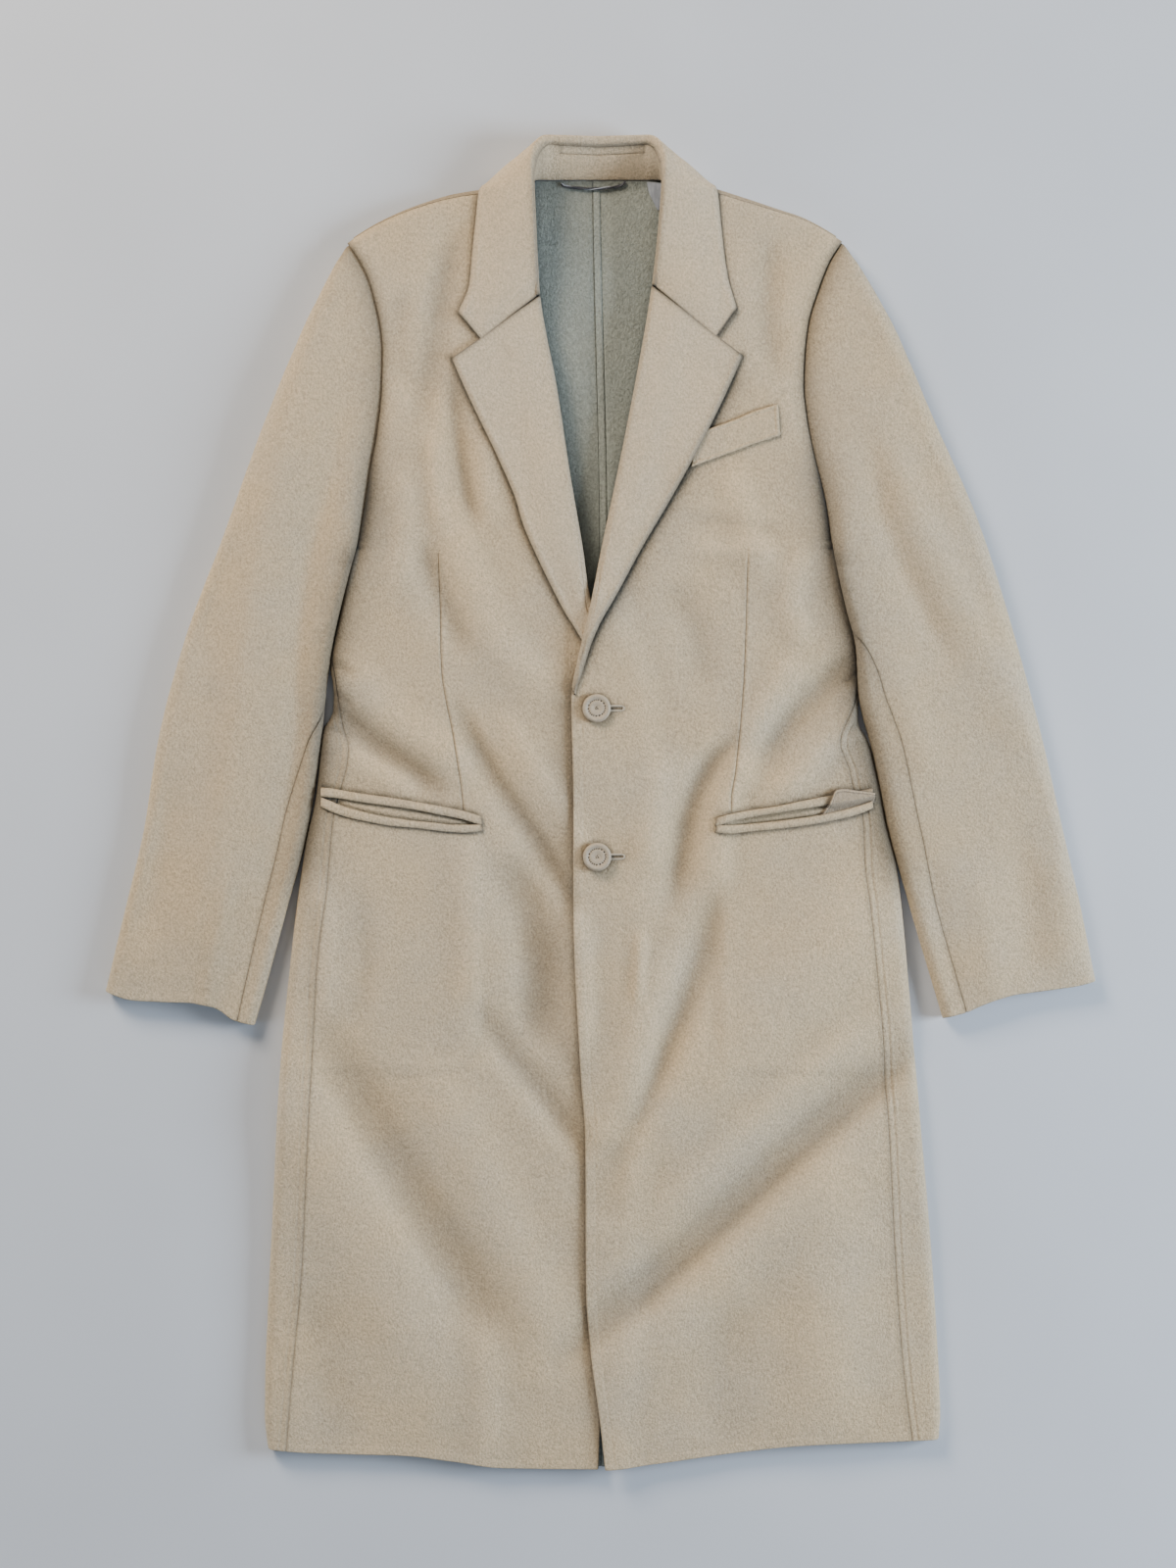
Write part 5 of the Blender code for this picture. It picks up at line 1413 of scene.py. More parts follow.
@dataclass
class SidePanel(SidePart):
    """The narrow panel that wraps a side fold, from the hidden back seam to the side seam."""

    cell: float = 3.2
    nominal: float = 96.0
    nominal_low: float = 800.0
    samples: int = 90
    gap_share: float = 0.45

    def build(self) -> None:
        """Make the panel."""
        s = self.hand.value
        low = self.nominal_low
        along = spaced(low, self.cell, (0.0, FELL, low), 0.7)[:, None]
        level = np.broadcast_to(along + HEM_LEVEL, (along.size, self.samples))
        turn = np.linspace(0, 1, self.samples)[None, :]
        for _ in range(10):
            fold = FOLD[self.hand](level) - HALF
            back_in = fold - BACK_SEAM[self.hand](level) - self.gap_share
            seam_in = fold - SIDE_SEAM[self.hand](level) - self.gap_share
            under = turn < 0.5
            share = np.where(under, 1 - turn * 2, turn * 2 - 1)
            inward = np.where(under, back_in, np.maximum(seam_in, 0.8)) * share**1.7
            x = s * (fold - inward)
            hem = HEM(x) + 0.6
            level = stretch(along, (0, 14, low), (hem, hem + 14, UNDERARM - 0.8))
        upper, lower = self.form.layers(self.hand, x, level)
        seam = SIDE_SEAM[self.hand](level)
        off = np.abs(x) - seam
        relief = 0.45 * bell(off - 1.8, 2.4) - 0.5 * bell(off - 5.8, 1.2) + 0.35 * bell(off - 7.2, 1.8)
        relief = relief * ease(inward / 4) + felled(level - HEM(x))
        z = np.where(under, lower, upper + relief)
        line = np.stack([x, level, z], -1)
        length = np.concatenate([np.zeros((along.size, 1)), np.cumsum(
            np.linalg.norm(np.diff(line, axis=1), axis=2), axis=1)], axis=1)
        places = spaced(self.nominal, self.cell, (self.nominal, self.nominal - 6.5), 0.6)
        grid = np.empty((along.size, places.size, 3))
        for i in range(along.size):
            zone = min(14.0, length[i, -1] * 0.3)
            at = stretch(places, (0, self.nominal - 14, self.nominal),
                         (0.0, length[i, -1] - zone, length[i, -1]))
            for axis in range(3):
                grid[i, :, axis] = np.interp(at, length[i], line[i, :, axis])
        tag = self.hand.tag
        x, level = grid[..., 0], grid[..., 1]
        # painted shade, with a darker line beside the side seam's fell and beside the jets
        painted_shade = self.form.painted_shade(self.hand, x, level)
        painted_shade = painted_shade * dim(np.abs(np.abs(x) - SIDE_SEAM[self.hand](level) - 6.2), 0.14, 0.9)
        painted_shade = painted_shade * self.lines.painted_shade(np.abs(x), level)
        shell = Shell(f"side_{tag}_cloth", grid, s, rolls=(0.9, 0.45, 0.45, 0.45), shade=painted_shade)
        self.room.sew(shell, self.wardrobe.cloth(), f"side_{tag}", "camel_wool", ["floor"])


@dataclass
class Back(SidePart):
    """One half of the back: flat on the floor, then over the shoulder fold to its seam."""

    neck_seam: float = 549.2
    band: float = 5.8           # width of the felled centre seam
    gap_share: float = 0.35
    nominal_wide: float = 235.0
    nominal_low: float = 760.0
    nominal_high: float = 1080.0

    def build(self) -> None:
        """Make the back panel."""
        s = self.hand.value
        wide, waist, top_at = self.nominal_wide, self.nominal_low, self.nominal_high
        low = np.linspace(0, waist, 60)
        high = np.linspace(waist, top_at, 90)[1:]
        rise = np.linspace(0, 1.25, 24)[1:]
        flat = np.concatenate([low, high])
        along = np.concatenate([flat, np.full(rise.size, top_at)])[:, None]
        turn = np.concatenate([np.zeros(flat.size), rise])[:, None]
        across = spaced(wide, 6.0, (0.0, self.band, wide), 0.7, 0.09)[None, :] / wide
        x = s * 200.0 * across + np.zeros_like(along)
        for _ in range(12):
            hem = HEM(x) + 0.6
            top = SHOULDER[self.hand](np.abs(x)) - HALF - 12.0
            level = stretch(along, (0, waist, top_at), (hem, 190.0, top))
            arm = ARMHOLE[self.hand](level) - 0.75
            seam = BACK_SEAM[self.hand](level) - self.gap_share
            outer = seam + (arm - seam) * ease((level - UNDERARM) / 4)
            start = CENTRE_BACK(level) + s * self.gap_share
            x = start + (s * outer - start) * across
        fold = SHOULDER[self.hand](np.abs(x)) - HALF
        angle = np.radians(90 * np.clip(1 - turn, 0, 1))
        inward = SHOULDER_ROUND * (1 - np.cos(angle))
        ahead = np.clip((turn - 1) / 0.25, 0, 1) * (seam_drop(x) - self.gap_share)
        over_y = np.where(turn <= 1, fold - inward, fold - ahead)
        upper, lower = self.form.layers(self.hand, x, over_y)
        over_z = np.where(turn <= 1, lower, upper)
        low_y = self.neck_seam - 9 + 7.2 * turn
        low_z = HALF + 0.8 * turn**2
        blend = ease((np.abs(x) - NECK_HALF + 4) / 12)
        wrap = turn > 0
        y = np.where(wrap, low_y * (1 - blend) + over_y * blend, level)
        z = np.where(wrap, low_z * (1 - blend) + over_z * blend, HALF)
        lie = ease((np.abs(x) - 2) / 10) * ease((y - 200) / 40) * ease((545 - y) / 30)
        z = z + np.where(wrap, 0.0, lie * (0.6 + uneven(x, y, 2.0)))
        if self.hand is Hand.RIGHT:
            off = np.abs(x - CENTRE_BACK(y))
            z = z + np.where(wrap, 0.0, 1.0 * (1 - ease((off - self.band + 0.6) / 1.2)))
            z = z - np.where(wrap, 0.0, 0.5 * bell(off - self.band - 0.8, 1.2))
        grid = np.stack([x, y, z], -1)
        tag = self.hand.tag
        shell = Shell(f"back_{tag}_cloth", grid, s, rolls=(0.9, 0.45, 0.35, 0.45), shade=self.painted_shade(x, y))
        finishes = Finishes(self.wardrobe.camel, *[self.wardrobe.sage] * 3)
        self.room.sew(shell, finishes, f"back_{tag}", "sage_wool", ["floor"])

    def painted_shade(self, x: Array, y: Array) -> Array:
        """Painted shade and light on the inner face: darker under the fronts, at the neck seam and beside the
        centre seam; lighter near the left front's edge, on the right half and on the centre band.

        Args:
            x: places to the right.
            y: levels.

        Returns:
            A factor for the tone at each point.
        """
        from_left = x - INNER[Hand.LEFT](y)
        inside = np.minimum(from_left, INNER[Hand.RIGHT](y) - x)
        # painted shade under the fronts' edges and at the neck seam, painted light near the left front's edge
        painted_shade = dim(inside, 0.34, 3.0) * (1 + 0.2 * np.exp(-(from_left / 30) ** 2))
        painted_shade = painted_shade * dim(self.neck_seam - y, 0.4, 8.0)
        off = np.abs(x - CENTRE_BACK(y))
        if self.hand is Hand.LEFT:
            return painted_shade * dim(off, 0.34, 0.9)
        # painted light over the right half and its centre band, painted shade beside the band
        painted_shade = painted_shade * 1.08 * (1 + 0.12 * (1 - ease((off - self.band + 0.6) / 1.2)))
        return painted_shade * (1 - 0.06 * bell(off - self.band - 0.6, 1.6)) * dim(off, 0.2, 0.5)


# --- sleeves ---
SLEEVE_ROWS = {
    # outer x, outer y, inner x, inner y, seam, total height, outer rounding, inner rounding
    Hand.LEFT: (
        (226, 492, 216, 229, -40, 20, 10, 2), (259, 427, 220.5, 213, -38, 24, 11, 6),
        (294, 341, 227.5, 182, -32, 24, 12, 8), (332.4, 233, 235.5, 143, -22, 23, 12, 9),
        (364, 147, 241.5, 98, -4, 21, 12, 9), (387.4, 61, 247, 45, 16, 19, 11, 9),
        (401.5, -25, 257.5, -24, 27, 18, 10, 8), (416.7, -89, 278, -100, 24, 17, 9, 8),
        (434.5, -163, 304, -193, 18, 16, 8, 8),
    ),
    Hand.RIGHT: (
        (216, 494, 206, 229, -38, 20, 10, 2), (256, 426.6, 211.5, 203, -34, 24, 11, 6),
        (296, 333, 218, 171, -14, 24, 12, 8), (332, 249, 225.5, 137, 12, 23, 12, 9),
        (364, 147, 227.5, 95, 26, 21, 12, 9), (387.4, 61, 239.5, 48, 30, 19, 11, 9),
        (407, -25, 254, -24, 31, 18, 10, 8), (421.8, -89, 273.5, -94, 26, 17, 9, 8),
        (435, -154, 301, -187, 24, 16, 8, 8),
    ),
}
CUFF_WAVE = {
    Hand.LEFT: Curve(((0, 0), (0.15, -2.4), (0.31, 0.6), (0.465, 4.5), (0.61, 7.9), (0.717, 8.2),
                      (0.78, 6.0), (0.842, 1.4), (0.895, 0.0), (1, 0))),
    Hand.RIGHT: Curve(((0, 0), (0.1, -0.2), (0.25, 1.5), (0.426, 4.1), (0.557, 5.8), (0.66, 5.1),
                       (0.762, 3.0), (0.865, 0.3), (1, 0))),
}
ARMHOLE_EASE = Curve(tuple(enumerate((1.0, 0.66, 0.34, 0.12, 0.0, 0.0, 0.0, 0.0, 0.0))))


@dataclass
class Sleeve(SidePart):
    """A flattened two-piece sleeve: the wide top sleeve and the narrow under sleeve."""

    cell: float = 3.1
    slimmer: float = 1.0
    depth: float = 1.9
    # painted shade beside the armhole and the body's side
    head_dim: dict[Hand, tuple[float, float]] = by_hand((0.74, 9.0), (0.72, 9.0))
    low_dim: float = 0.06              # the left sleeve is darker towards the cuff
    back_seam_in: float = 34.0
    length: float = 560.0
    nominal: float = 215.0
    nominal_under: float = 110.0
    ring_samples: int = 110
    cap: tuple[float, float, float] = (6.4, 9.0, 2.8)       # rise of the sleeve head, reach, sink

    def __post_init__(self) -> None:
        """Turn the sleeve's rows into curves."""
        columns = np.asarray(SLEEVE_ROWS[self.hand], float).T
        names = ("outer", "outer_y", "inner", "inner_y", "seam", "total", "round_out", "round_in")
        self.read = {n: Curve(tuple(enumerate(c))) for n, c in zip(names, columns)}
        self.last = columns.shape[1] - 1

    def plan(self, at: float, share: Array) -> tuple[Array, Array]:
        """Place across a sleeve row: share 0 at the outer edge, 1 at the inner edge.

        Args:
            at: row, from 0 at the armhole.
            share: share of the way across.

        Returns:
            Distances from the centre line, and levels.
        """
        r = self.read
        slim = ease(at / 1.5) * share
        out = r["outer"](at) + (r["inner"](at) - self.slimmer * slim - r["outer"](at)) * share
        level = r["outer_y"](at) + (r["inner_y"](at) - r["outer_y"](at)) * share
        first_level = r["outer_y"](0) + (r["inner_y"](0) - r["outer_y"](0)) * share
        chord = r["outer"](0) + (r["inner"](0) - r["outer"](0)) * share
        out = out + ARMHOLE_EASE(at) * (ARMHOLE[self.hand](first_level) + 0.45 - chord)
        level = level + ease((at - self.last + 0.7) / 0.7) * CUFF_WAVE[self.hand](share)
        return out, level

    def ring(self, at: float) -> tuple[Array, Array, float]:
        """One cross row as a closed line, with lengths from the inner fold and the outer fold's.

        Args:
            at: row, from 0 at the armhole.

        Returns:
            The closed line, the length at each of its points, and the outer fold's length.
        """
        ends_x, ends_y = self.plan(at, np.array([0.0, 1.0]))
        width = float(np.hypot(np.diff(ends_x), np.diff(ends_y))[0]) - CLOTH
        total = float(self.read["total"](at))
        turn_in, turn_out = float(self.read["round_in"](at)), float(self.read["round_out"](at))
        angles = np.radians(np.linspace(0, 90, 14))
        inner_turn = turn_in * (1 - np.cos(angles))
        outer_turn = width - turn_out * (1 - np.cos(angles[::-1]))
        flat = np.linspace(turn_in, width - turn_out, self.ring_samples)[1:-1]
        inward = np.concatenate([inner_turn, flat, outer_turn])
        x, y = self.plan(at, 1 - (inward + HALF) / (width + CLOTH))
        lift = rounding(inward, turn_in) * rounding(width - inward, turn_out)
        spread = (total - CLOTH) / 2
        follow = float(ease(1 - at / 1.6))
        s = self.hand.value
        body = self.form.mid(self.hand, s * np.minimum(x, ARMHOLE[self.hand](y) - 0.8), y)
        seam_off = np.maximum(x - ARMHOLE[self.hand](y), 0)
        rise, reach, sink = self.cap
        cap = (rise * (1 - np.exp(-seam_off / reach)) - sink) * follow
        upper = (total / 2 + lift * spread) * (1 - follow) + body * follow + cap
        own = total / 2 - lift * spread
        floor = np.where(width - inward < turn_out, own, HALF)
        lower = own * (1 - follow) + floor * follow
        press = ease(inward / 14) * ease((width - inward) / 14)
        for crease in SLEEVE_CREASES[self.hand]:
            upper = upper + self.depth * crease.lift(s * x, y) * press
        upper = upper + uneven(s * x, y, 1.0) * press
        top_line = np.stack([s * x, y, upper], -1)
        low_line = np.stack([s * x, y, lower], -1)[1:-1][::-1]
        closed = np.concatenate([top_line, low_line, top_line[:1]])
        lengths = run_along(closed)
        return closed, lengths, float(lengths[len(inward) - 1])

    def build(self) -> None:
        """Make both pieces."""
        s, tag = self.hand.value, self.hand.tag
        along = spaced(self.length, self.cell, (0.0, self.length), 0.7)
        across = spaced(self.nominal, self.cell, (0.0, 6.0), 0.7)
        narrow = spaced(self.nominal_under, 5.0, (0.0,), 0.8)
        top = np.empty((along.size, across.size, 3))
        under = np.empty((along.size, narrow.size, 3))
        for i, place in enumerate(along):
            at = self.last * (place / self.length) ** 1.1
            closed, lengths, outer_fold = self.ring(at)
            seam = float(self.read["seam"](at))
            end = outer_fold + self.back_seam_in - 0.4
            q = stretch(across, (0, 14, self.nominal), (seam + 0.4, seam + 14, end))
            top[i] = self.sample(closed, lengths, q)
            q = stretch(narrow, (0, self.nominal_under), (seam - 0.4, end + 0.8 - lengths[-1]))
            under[i] = self.sample(closed, lengths, q)
        band = (self.length - along)[:, None]
        weight = ease((top[..., 2] - 6) / 4)
        top[..., 2] += 0.4 * (1 - ease((band - 2.2) / 1.6)) * weight
        for kind, grid, places, outward, below in (
                ("top", top, across, s, f"sleeve_under_{tag}_cloth"),
                ("under", under, narrow, -s, "floor")):
            # painted shade, darker along the front seam as well
            painted_shade = self.painted_shade(grid) * dim(places[None, :] + 0 * grid[..., 0], 0.34, 1.0)
            shell = Shell(f"sleeve_{kind}_{tag}_cloth", grid, outward, rolls=(0.45, 1.0, 0.4, 0.4), shade=painted_shade)
            self.room.sew(shell, self.wardrobe.cloth(), f"sleeve_{kind}_{tag}", "camel_wool", [below])

    def painted_shade(self, grid: Array) -> Array:
        """Painted shade on the sleeve: darker towards the armhole and the body's side.

        Args:
            grid: middle surface of the piece.

        Returns:
            A factor for the tone at each point.
        """
        x, y = grid[..., 0], grid[..., 1]
        amount, reach = self.head_dim[self.hand]
        head = dim(np.abs(x) - ARMHOLE[self.hand](y), amount, reach)
        tone = np.where(y > UNDERARM - 20, head, 1.0)
        rows = [self.plan(at, np.array([1.0])) for at in np.linspace(0, self.last, 120)]
        fold = np.array([(self.hand.value * float(a[0]), float(b[0])) for a, b in rows])
        close = ease((y + 110) / 70) * (1 - ease((y - UNDERARM + 20) / 30))
        if self.hand is Hand.LEFT:
            tone = tone * (1 - self.low_dim * ease((-10 - y) / 120))
        return tone * (1 - (1 - dim(beside(x, y, fold), 0.72, 10.0)) * close)

    @staticmethod
    def sample(closed: Array, lengths: Array, at: Array) -> Array:
        """Points of a closed line at lengths along it."""
        at = np.mod(at, lengths[-1])
        return np.stack([np.interp(at, lengths, closed[:, k]) for k in range(3)], -1)


# --- lapels and collar ---
@dataclass
class Lapel(SidePart):
    """A revers: a short leg beside the front's edge, the roll, and the wide turned-back leg."""

    rows: int = 150
    nominal: float = 84.0
    cell: float = 1.9
    # painted shade beside the outer edge
    rim_dim: dict[Hand, tuple[float, float]] = by_hand((0.34, 1.2), (0.66, 2.8))

    def grid(self) -> Array:
        """Middle surface, rows down the roll line and columns from the leg to the outer edge.

        Returns:
            The points.
        """
        table = LAPEL_ROWS[self.hand]
        keys = range(len(table))
        roll_curve, edge_x, edge_y = (Curve([(k, r[c]) for k, r in zip(keys, table)]) for c in range(3))
        at = np.linspace(0, len(table) - 1, self.rows)
        s = self.hand.value
        level = roll_curve(at)
        level[0] -= 0.5
        roll = np.stack([INNER[self.hand](level), level], -1)
        edge = np.stack([edge_x(at), edge_y(at)], -1)
        edge[:, 0] -= s * 1.0
        width = np.linalg.norm(edge - roll, axis=1)
        aim = (edge - roll) / width[:, None]
        lean = np.maximum(np.abs(aim[:, 0]), 0.3)
        base = self.turn.base(self.hand, level)
        radius = self.turn.radius(self.hand, level)
        leg = np.maximum(INSET[self.hand](level) - 1.2, HALF + radius * 0.6)
        columns = [np.stack([roll[:, 0] + s * leg, roll[:, 1], base], -1)]
        for angle in np.concatenate([np.linspace(-90, -180, 8), np.linspace(165, 90, 6)]):
            turn = math.radians(angle)
            inward = HALF + radius + radius * math.cos(turn)
            keep = ease((angle - 90) / 90) if angle > 0 else 1.0
            reach = aim * (inward / lean)[:, None]
            flat = np.stack([s * inward, np.zeros_like(inward)], -1)
            spot = roll + flat * keep + reach * (1 - keep)
            columns.append(np.column_stack([spot, base + radius + radius * math.sin(turn)]))
        begin = (HALF + radius) / lean
        places = spaced(self.nominal, self.cell, (self.nominal, self.nominal - 2.6), 0.5)[1:]
        for place in places:
            share = place / self.nominal
            inward = begin + (width - begin) * share
            spot = roll + aim * inward[:, None]
            z = self.turn.height(self.hand, spot[:, 0], spot[:, 1], level, inward - begin)
            rim = width - inward
            z = z + 0.5 * bell(rim - 3.0, 2.6) - 1.3 * np.exp(-rim / 1.1)
            columns.append(np.column_stack([spot, z + 0.35 * uneven(spot[:, 0], spot[:, 1], 3.0)]))
        return np.stack(columns, axis=1)

    def build(self) -> None:
        """Make the lapel."""
        grid = self.grid()
        tag = self.hand.tag
        rim = np.linalg.norm(grid - grid[:, -1:], axis=2)
        gorge = np.linalg.norm(grid - grid[:1], axis=2)
        roll = np.abs(grid[..., 0] - INNER[self.hand](grid[..., 1]))
        # painted shade beside the outer edge, the gorge seam and the roll
        painted_shade = dim(rim, *self.rim_dim[self.hand]) * dim(gorge, 0.70, 1.5) * dim(roll, 0.46, 2.4)
        shell = Shell(f"lapel_{tag}_cloth", grid, self.hand.value, rolls=(0.5, 0.8, 0.4, 1.3), shade=painted_shade)
        finishes = self.wardrobe.turned_back()
        self.room.sew(shell, finishes, f"lapel_{tag}", "camel_wool", [f"front_{tag}_cloth"])


COLLAR_NAMES = ("roll_x", "roll_y", "roll_z", "lean", "belly_x", "belly_y", "belly_z", "edge_x", "edge_y",
                "edge_z", "neck_x", "neck_y", "neck_z")
COLLAR_MIDDLE = (-2, 579.5, 22, 3.2, -2, 582.6, 11, -2, 558, 1.5, -2, 550.8, 3.2)
COLLAR_ROWS = {
    Hand.LEFT: (
        (-52.6, 446.8, 26, -2, -85, 439, 25, -123.4, 429.7, 21.3, -57.5, 446.8, 19.2),
        (-53.6, 462, 28, -2, -82, 459, 26.5, -113.5, 455, 21.5, -58.5, 462, 19.2),
        (-54.8, 482.5, 31, -2, -80, 482.5, 28, -110.8, 482.5, 22, -59.7, 482.5, 19.2),
        (-56, 512, 34, -2, -80, 513, 30.5, -107.5, 515, 22.2, -60.9, 512, 19.2),
        (-57, 534, 36, -2, -80, 537, 32, -105, 536, 22.5, -61.6, 532, 18.6),
        (-57.5, 551, 36.5, -1, -78, 556, 27, -98.5, 547.2, 6, -60.8, 543.5, 13.5),
        (-56.5, 564, 35, 0.6, -70, 567, 22, -79, 560, 1.6, -57.5, 549.7, 7.5),
        (-52.5, 574.5, 31.5, 2, -58.5, 577.5, 17, -60, 566, 1.5, -50, 550.8, 4.4),
        (-43, 580, 27, 3, -46, 584, 13, -43, 562, 1.5, -41, 550.8, 3.4),
        COLLAR_MIDDLE,
    ),
    Hand.RIGHT: (
        (44.9, 455.4, 26, -2, 78, 445, 25, 118.4, 433.5, 21.3, 49.8, 455.4, 19.2),
        (46.6, 468, 28, -2, 77, 465, 26.5, 110.5, 461, 21.5, 51.5, 468, 19.2),
        (48.5, 484, 31, -2, 76, 484, 28, 106.8, 485, 22, 53.4, 484, 19.2),
        (51, 512, 34, -2, 76, 513, 30.5, 103.6, 515, 22.2, 55.9, 512, 19.2),
        (52.6, 534, 36, -2, 76, 537, 32, 101, 537, 22.5, 57.2, 532, 18.6),
        (53.2, 551, 36.5, -1, 74, 556, 27, 94.5, 547.6, 6, 56.8, 543.5, 13.5),
        (52.2, 564, 35, 0.6, 66, 567, 22, 75, 560, 1.6, 53.5, 549.7, 7.5),
        (48.5, 574.5, 31.5, 2, 54.5, 577.5, 17, 56, 566, 1.5, 46, 550.8, 4.4),
        (39, 580, 27, 3, 42, 584, 13, 39, 562, 1.5, 37, 550.8, 3.4),
        COLLAR_MIDDLE,
    ),
}


@dataclass
class Collar(Part):
    """The collar's fall and its stand, from one front end round the back neck to the other."""

    sections: int = 110
    spacing: float = 0.034
    notch_share: float = 0.75
    stay_share: float = 0.24        # how far down the stand the stay is stitched
    stay_ends: tuple[float, float] = (-35.0, 38.5)

    def half(self, hand: Hand) -> tuple[Array, Array]:
        """Fall and stand grids of one half, from the front end to the centre back.

        Args:
            hand: side of the coat.

        Returns:
            The two grids.
        """
        table = np.asarray(COLLAR_ROWS[hand], float).T
        at = np.linspace(0, table.shape[1] - 1, self.sections)
        read = {n: Curve(tuple(enumerate(c)))(at) for n, c in zip(COLLAR_NAMES, table)}
        roll = np.stack([read["roll_x"], read["roll_y"]], -1)
        edge = np.stack([read["edge_x"], read["edge_y"]], -1)
        belly = np.stack([read["belly_x"], read["belly_y"]], -1)
        away = (belly - roll) / np.linalg.norm(belly - roll, axis=1, keepdims=True)
        lean = read["lean"]
        seam = roll - away * lean[:, None]
        behind = ease(lean / 3)
        seam_z = read["roll_z"] - 8.5 + 4.0 * behind
        knuckle = np.where(lean < 0, HALF, -0.45 * lean)
        points = np.stack([
            np.column_stack([seam, seam_z]),
            np.column_stack([roll + away * knuckle[:, None], read["roll_z"] - 3.8 + 2.4 * behind]),
            np.column_stack([roll + away * 3.4, read["roll_z"]]),
            np.column_stack([belly, read["belly_z"]]),
            np.column_stack([edge, read["edge_z"]])], axis=1)
        shares = (0, 0.12, 0.24, 0.6, 1.0)
        near = spaced(1.0, self.spacing, shares[1:3] + (1.0,), 0.008, 0.10)
        corner_at = int(np.abs(near - self.notch_share).argmin())
        near[corner_at] = self.notch_share
        fall = np.empty((self.sections, near.size, 3))
        for i in range(self.sections):
            for axis in range(3):
                fall[i, :, axis] = Curve(list(zip(shares, points[i, :, axis])))(near)
        droop = 1 - ease(at / 1.6)
        corner = fall[:, corner_at, :2]
        sag = np.asarray(NOTCH[hand]) - corner
        before = np.linalg.norm(corner - roll, axis=1, keepdims=True)
        after = np.linalg.norm(edge - corner, axis=1, keepdims=True)
        first = np.linalg.norm(fall[:, :, :2] - roll[:, None], axis=2) / before
        second = np.linalg.norm(edge[:, None] - fall[:, :, :2], axis=2) / after
        part = np.where(near[None, :] <= self.notch_share, first, second)
        fall[:, :, :2] += sag[:, None] * (part * droop[:, None])[..., None]
        x, y, z = fall[..., 0], fall[..., 1], fall[..., 2]
        off = np.linalg.norm(fall[:, :, :2] - roll[:, None], axis=2)
        level = np.broadcast_to(roll[:, 1:2], x.shape)
        flush = self.turn.height(hand, x, y, np.minimum(level, 458.0), np.maximum(off - 3.4, 0))
        rest = self.form.mid(hand, x, y) + CLOTH + GAP + 0.4
        body = (near[None, :] > 0.26) & (edge[:, 1:2] < 536)
        z = np.where(body, np.maximum(z, rest), z)
        end = (1 - ease(at / 1.1))[:, None] * (near[None, :] > 0.2)
        z = z * (1 - end) + flush * end
        rim = (1 - near[None, :]) * np.linalg.norm(edge - roll, axis=1, keepdims=True)
        z = z + 0.45 * bell(rim - 3.0, 2.6) - 1.1 * np.exp(-rim / 1.1)
        z = z + 0.35 * uneven(x, y, 4.0) * (near[None, :] > 0.3)
        fall = np.stack([x, y, z], -1)
        neck = np.column_stack([read["neck_x"], read["neck_y"], read["neck_z"]])
        top = np.column_stack([seam, seam_z])
        down = (neck - top) / np.linalg.norm(neck - top, axis=1, keepdims=True)
        top = top + down * 0.9
        share = spaced(1.0, 0.05, (0.0, 0.22, 1.0), 0.015, 0.1)[None, :, None]
        stand = top[:, None] + (neck - top)[:, None] * share
        bulge = 0.8 * np.sin(math.pi * share[..., 0]) * ease(at / 2)[:, None]
        row = share[..., 0] - self.stay_share
        stayed = 1 - ease((np.abs(seam[:, :1] + 2) - 36) / 3)
        stand[..., 2] += bulge - 0.6 * bell(row, 0.05) * stayed
        return fall, stand

    def build(self) -> None:
        """Make the fall and the stand."""
        left_fall, left_stand = self.half(Hand.LEFT)
        right_fall, right_stand = self.half(Hand.RIGHT)
        fall = np.concatenate([left_fall, right_fall[::-1][1:]])
        stand = np.concatenate([left_stand, right_stand[::-1][1:]])
        finishes = self.wardrobe.turned_back()
        # painted shade beside the fall's edge, the gorge seams and the roll
        rim = np.linalg.norm(fall - fall[:, -1:], axis=2)
        gorge = np.minimum(np.linalg.norm(fall - fall[:1], axis=2),
                           np.linalg.norm(fall - fall[-1:], axis=2))
        roll = np.linalg.norm((fall - fall[:, :1])[..., :2], axis=2)
        painted_shade = dim(rim, 0.34, 1.2) * dim(gorge, 0.70, 1.5) * dim(roll, 0.50, 2.2)
        shell = Shell("collar_cloth", fall, 1, rolls=(0.6, 0.6, 0.4, 1.3), shade=painted_shade)
        self.room.sew(shell, finishes, "collar", "camel_wool",
                      ["collar_stand_cloth", "front_left_cloth", "front_right_cloth"])
        # painted shade on the stand: darker at its edges and towards its ends, along the stay stitching and
        # at the stay's ends
        painted_shade = dim(np.linalg.norm(stand - stand[:, :1], axis=2), 0.36, 1.2)
        painted_shade = painted_shade * dim(np.linalg.norm(stand - stand[:, -1:], axis=2), 0.3, 2.0)
        painted_shade = painted_shade * (1.12 - 0.4 * ease((np.abs(stand[..., 0] + 2) - 40) / 14))
        low = (stand[:, :1] + (stand[:, -1:] - stand[:, :1]) * self.stay_share)[..., 1]
        within = 1 - ease((np.abs(stand[..., 0] - 1.75) - 36) / 3)
        painted_shade = painted_shade * (1 - 0.5 * bell(stand[..., 1] - low, 1.3) * within)
        for end in self.stay_ends:
            painted_shade = painted_shade * (1 - 0.45 * bell(stand[..., 0] - end, 1.4) * (stand[..., 1] > low))
        shell = Shell("collar_stand_cloth", stand, 1, rolls=(0.5, 0.5, 0.5, 0.5), shade=painted_shade)
        finishes = Finishes(self.wardrobe.camel, *[self.wardrobe.turned] * 3)
        self.room.sew(shell, finishes, "collar_stand", "camel_wool", ["back_left_cloth", "back_right_cloth"])


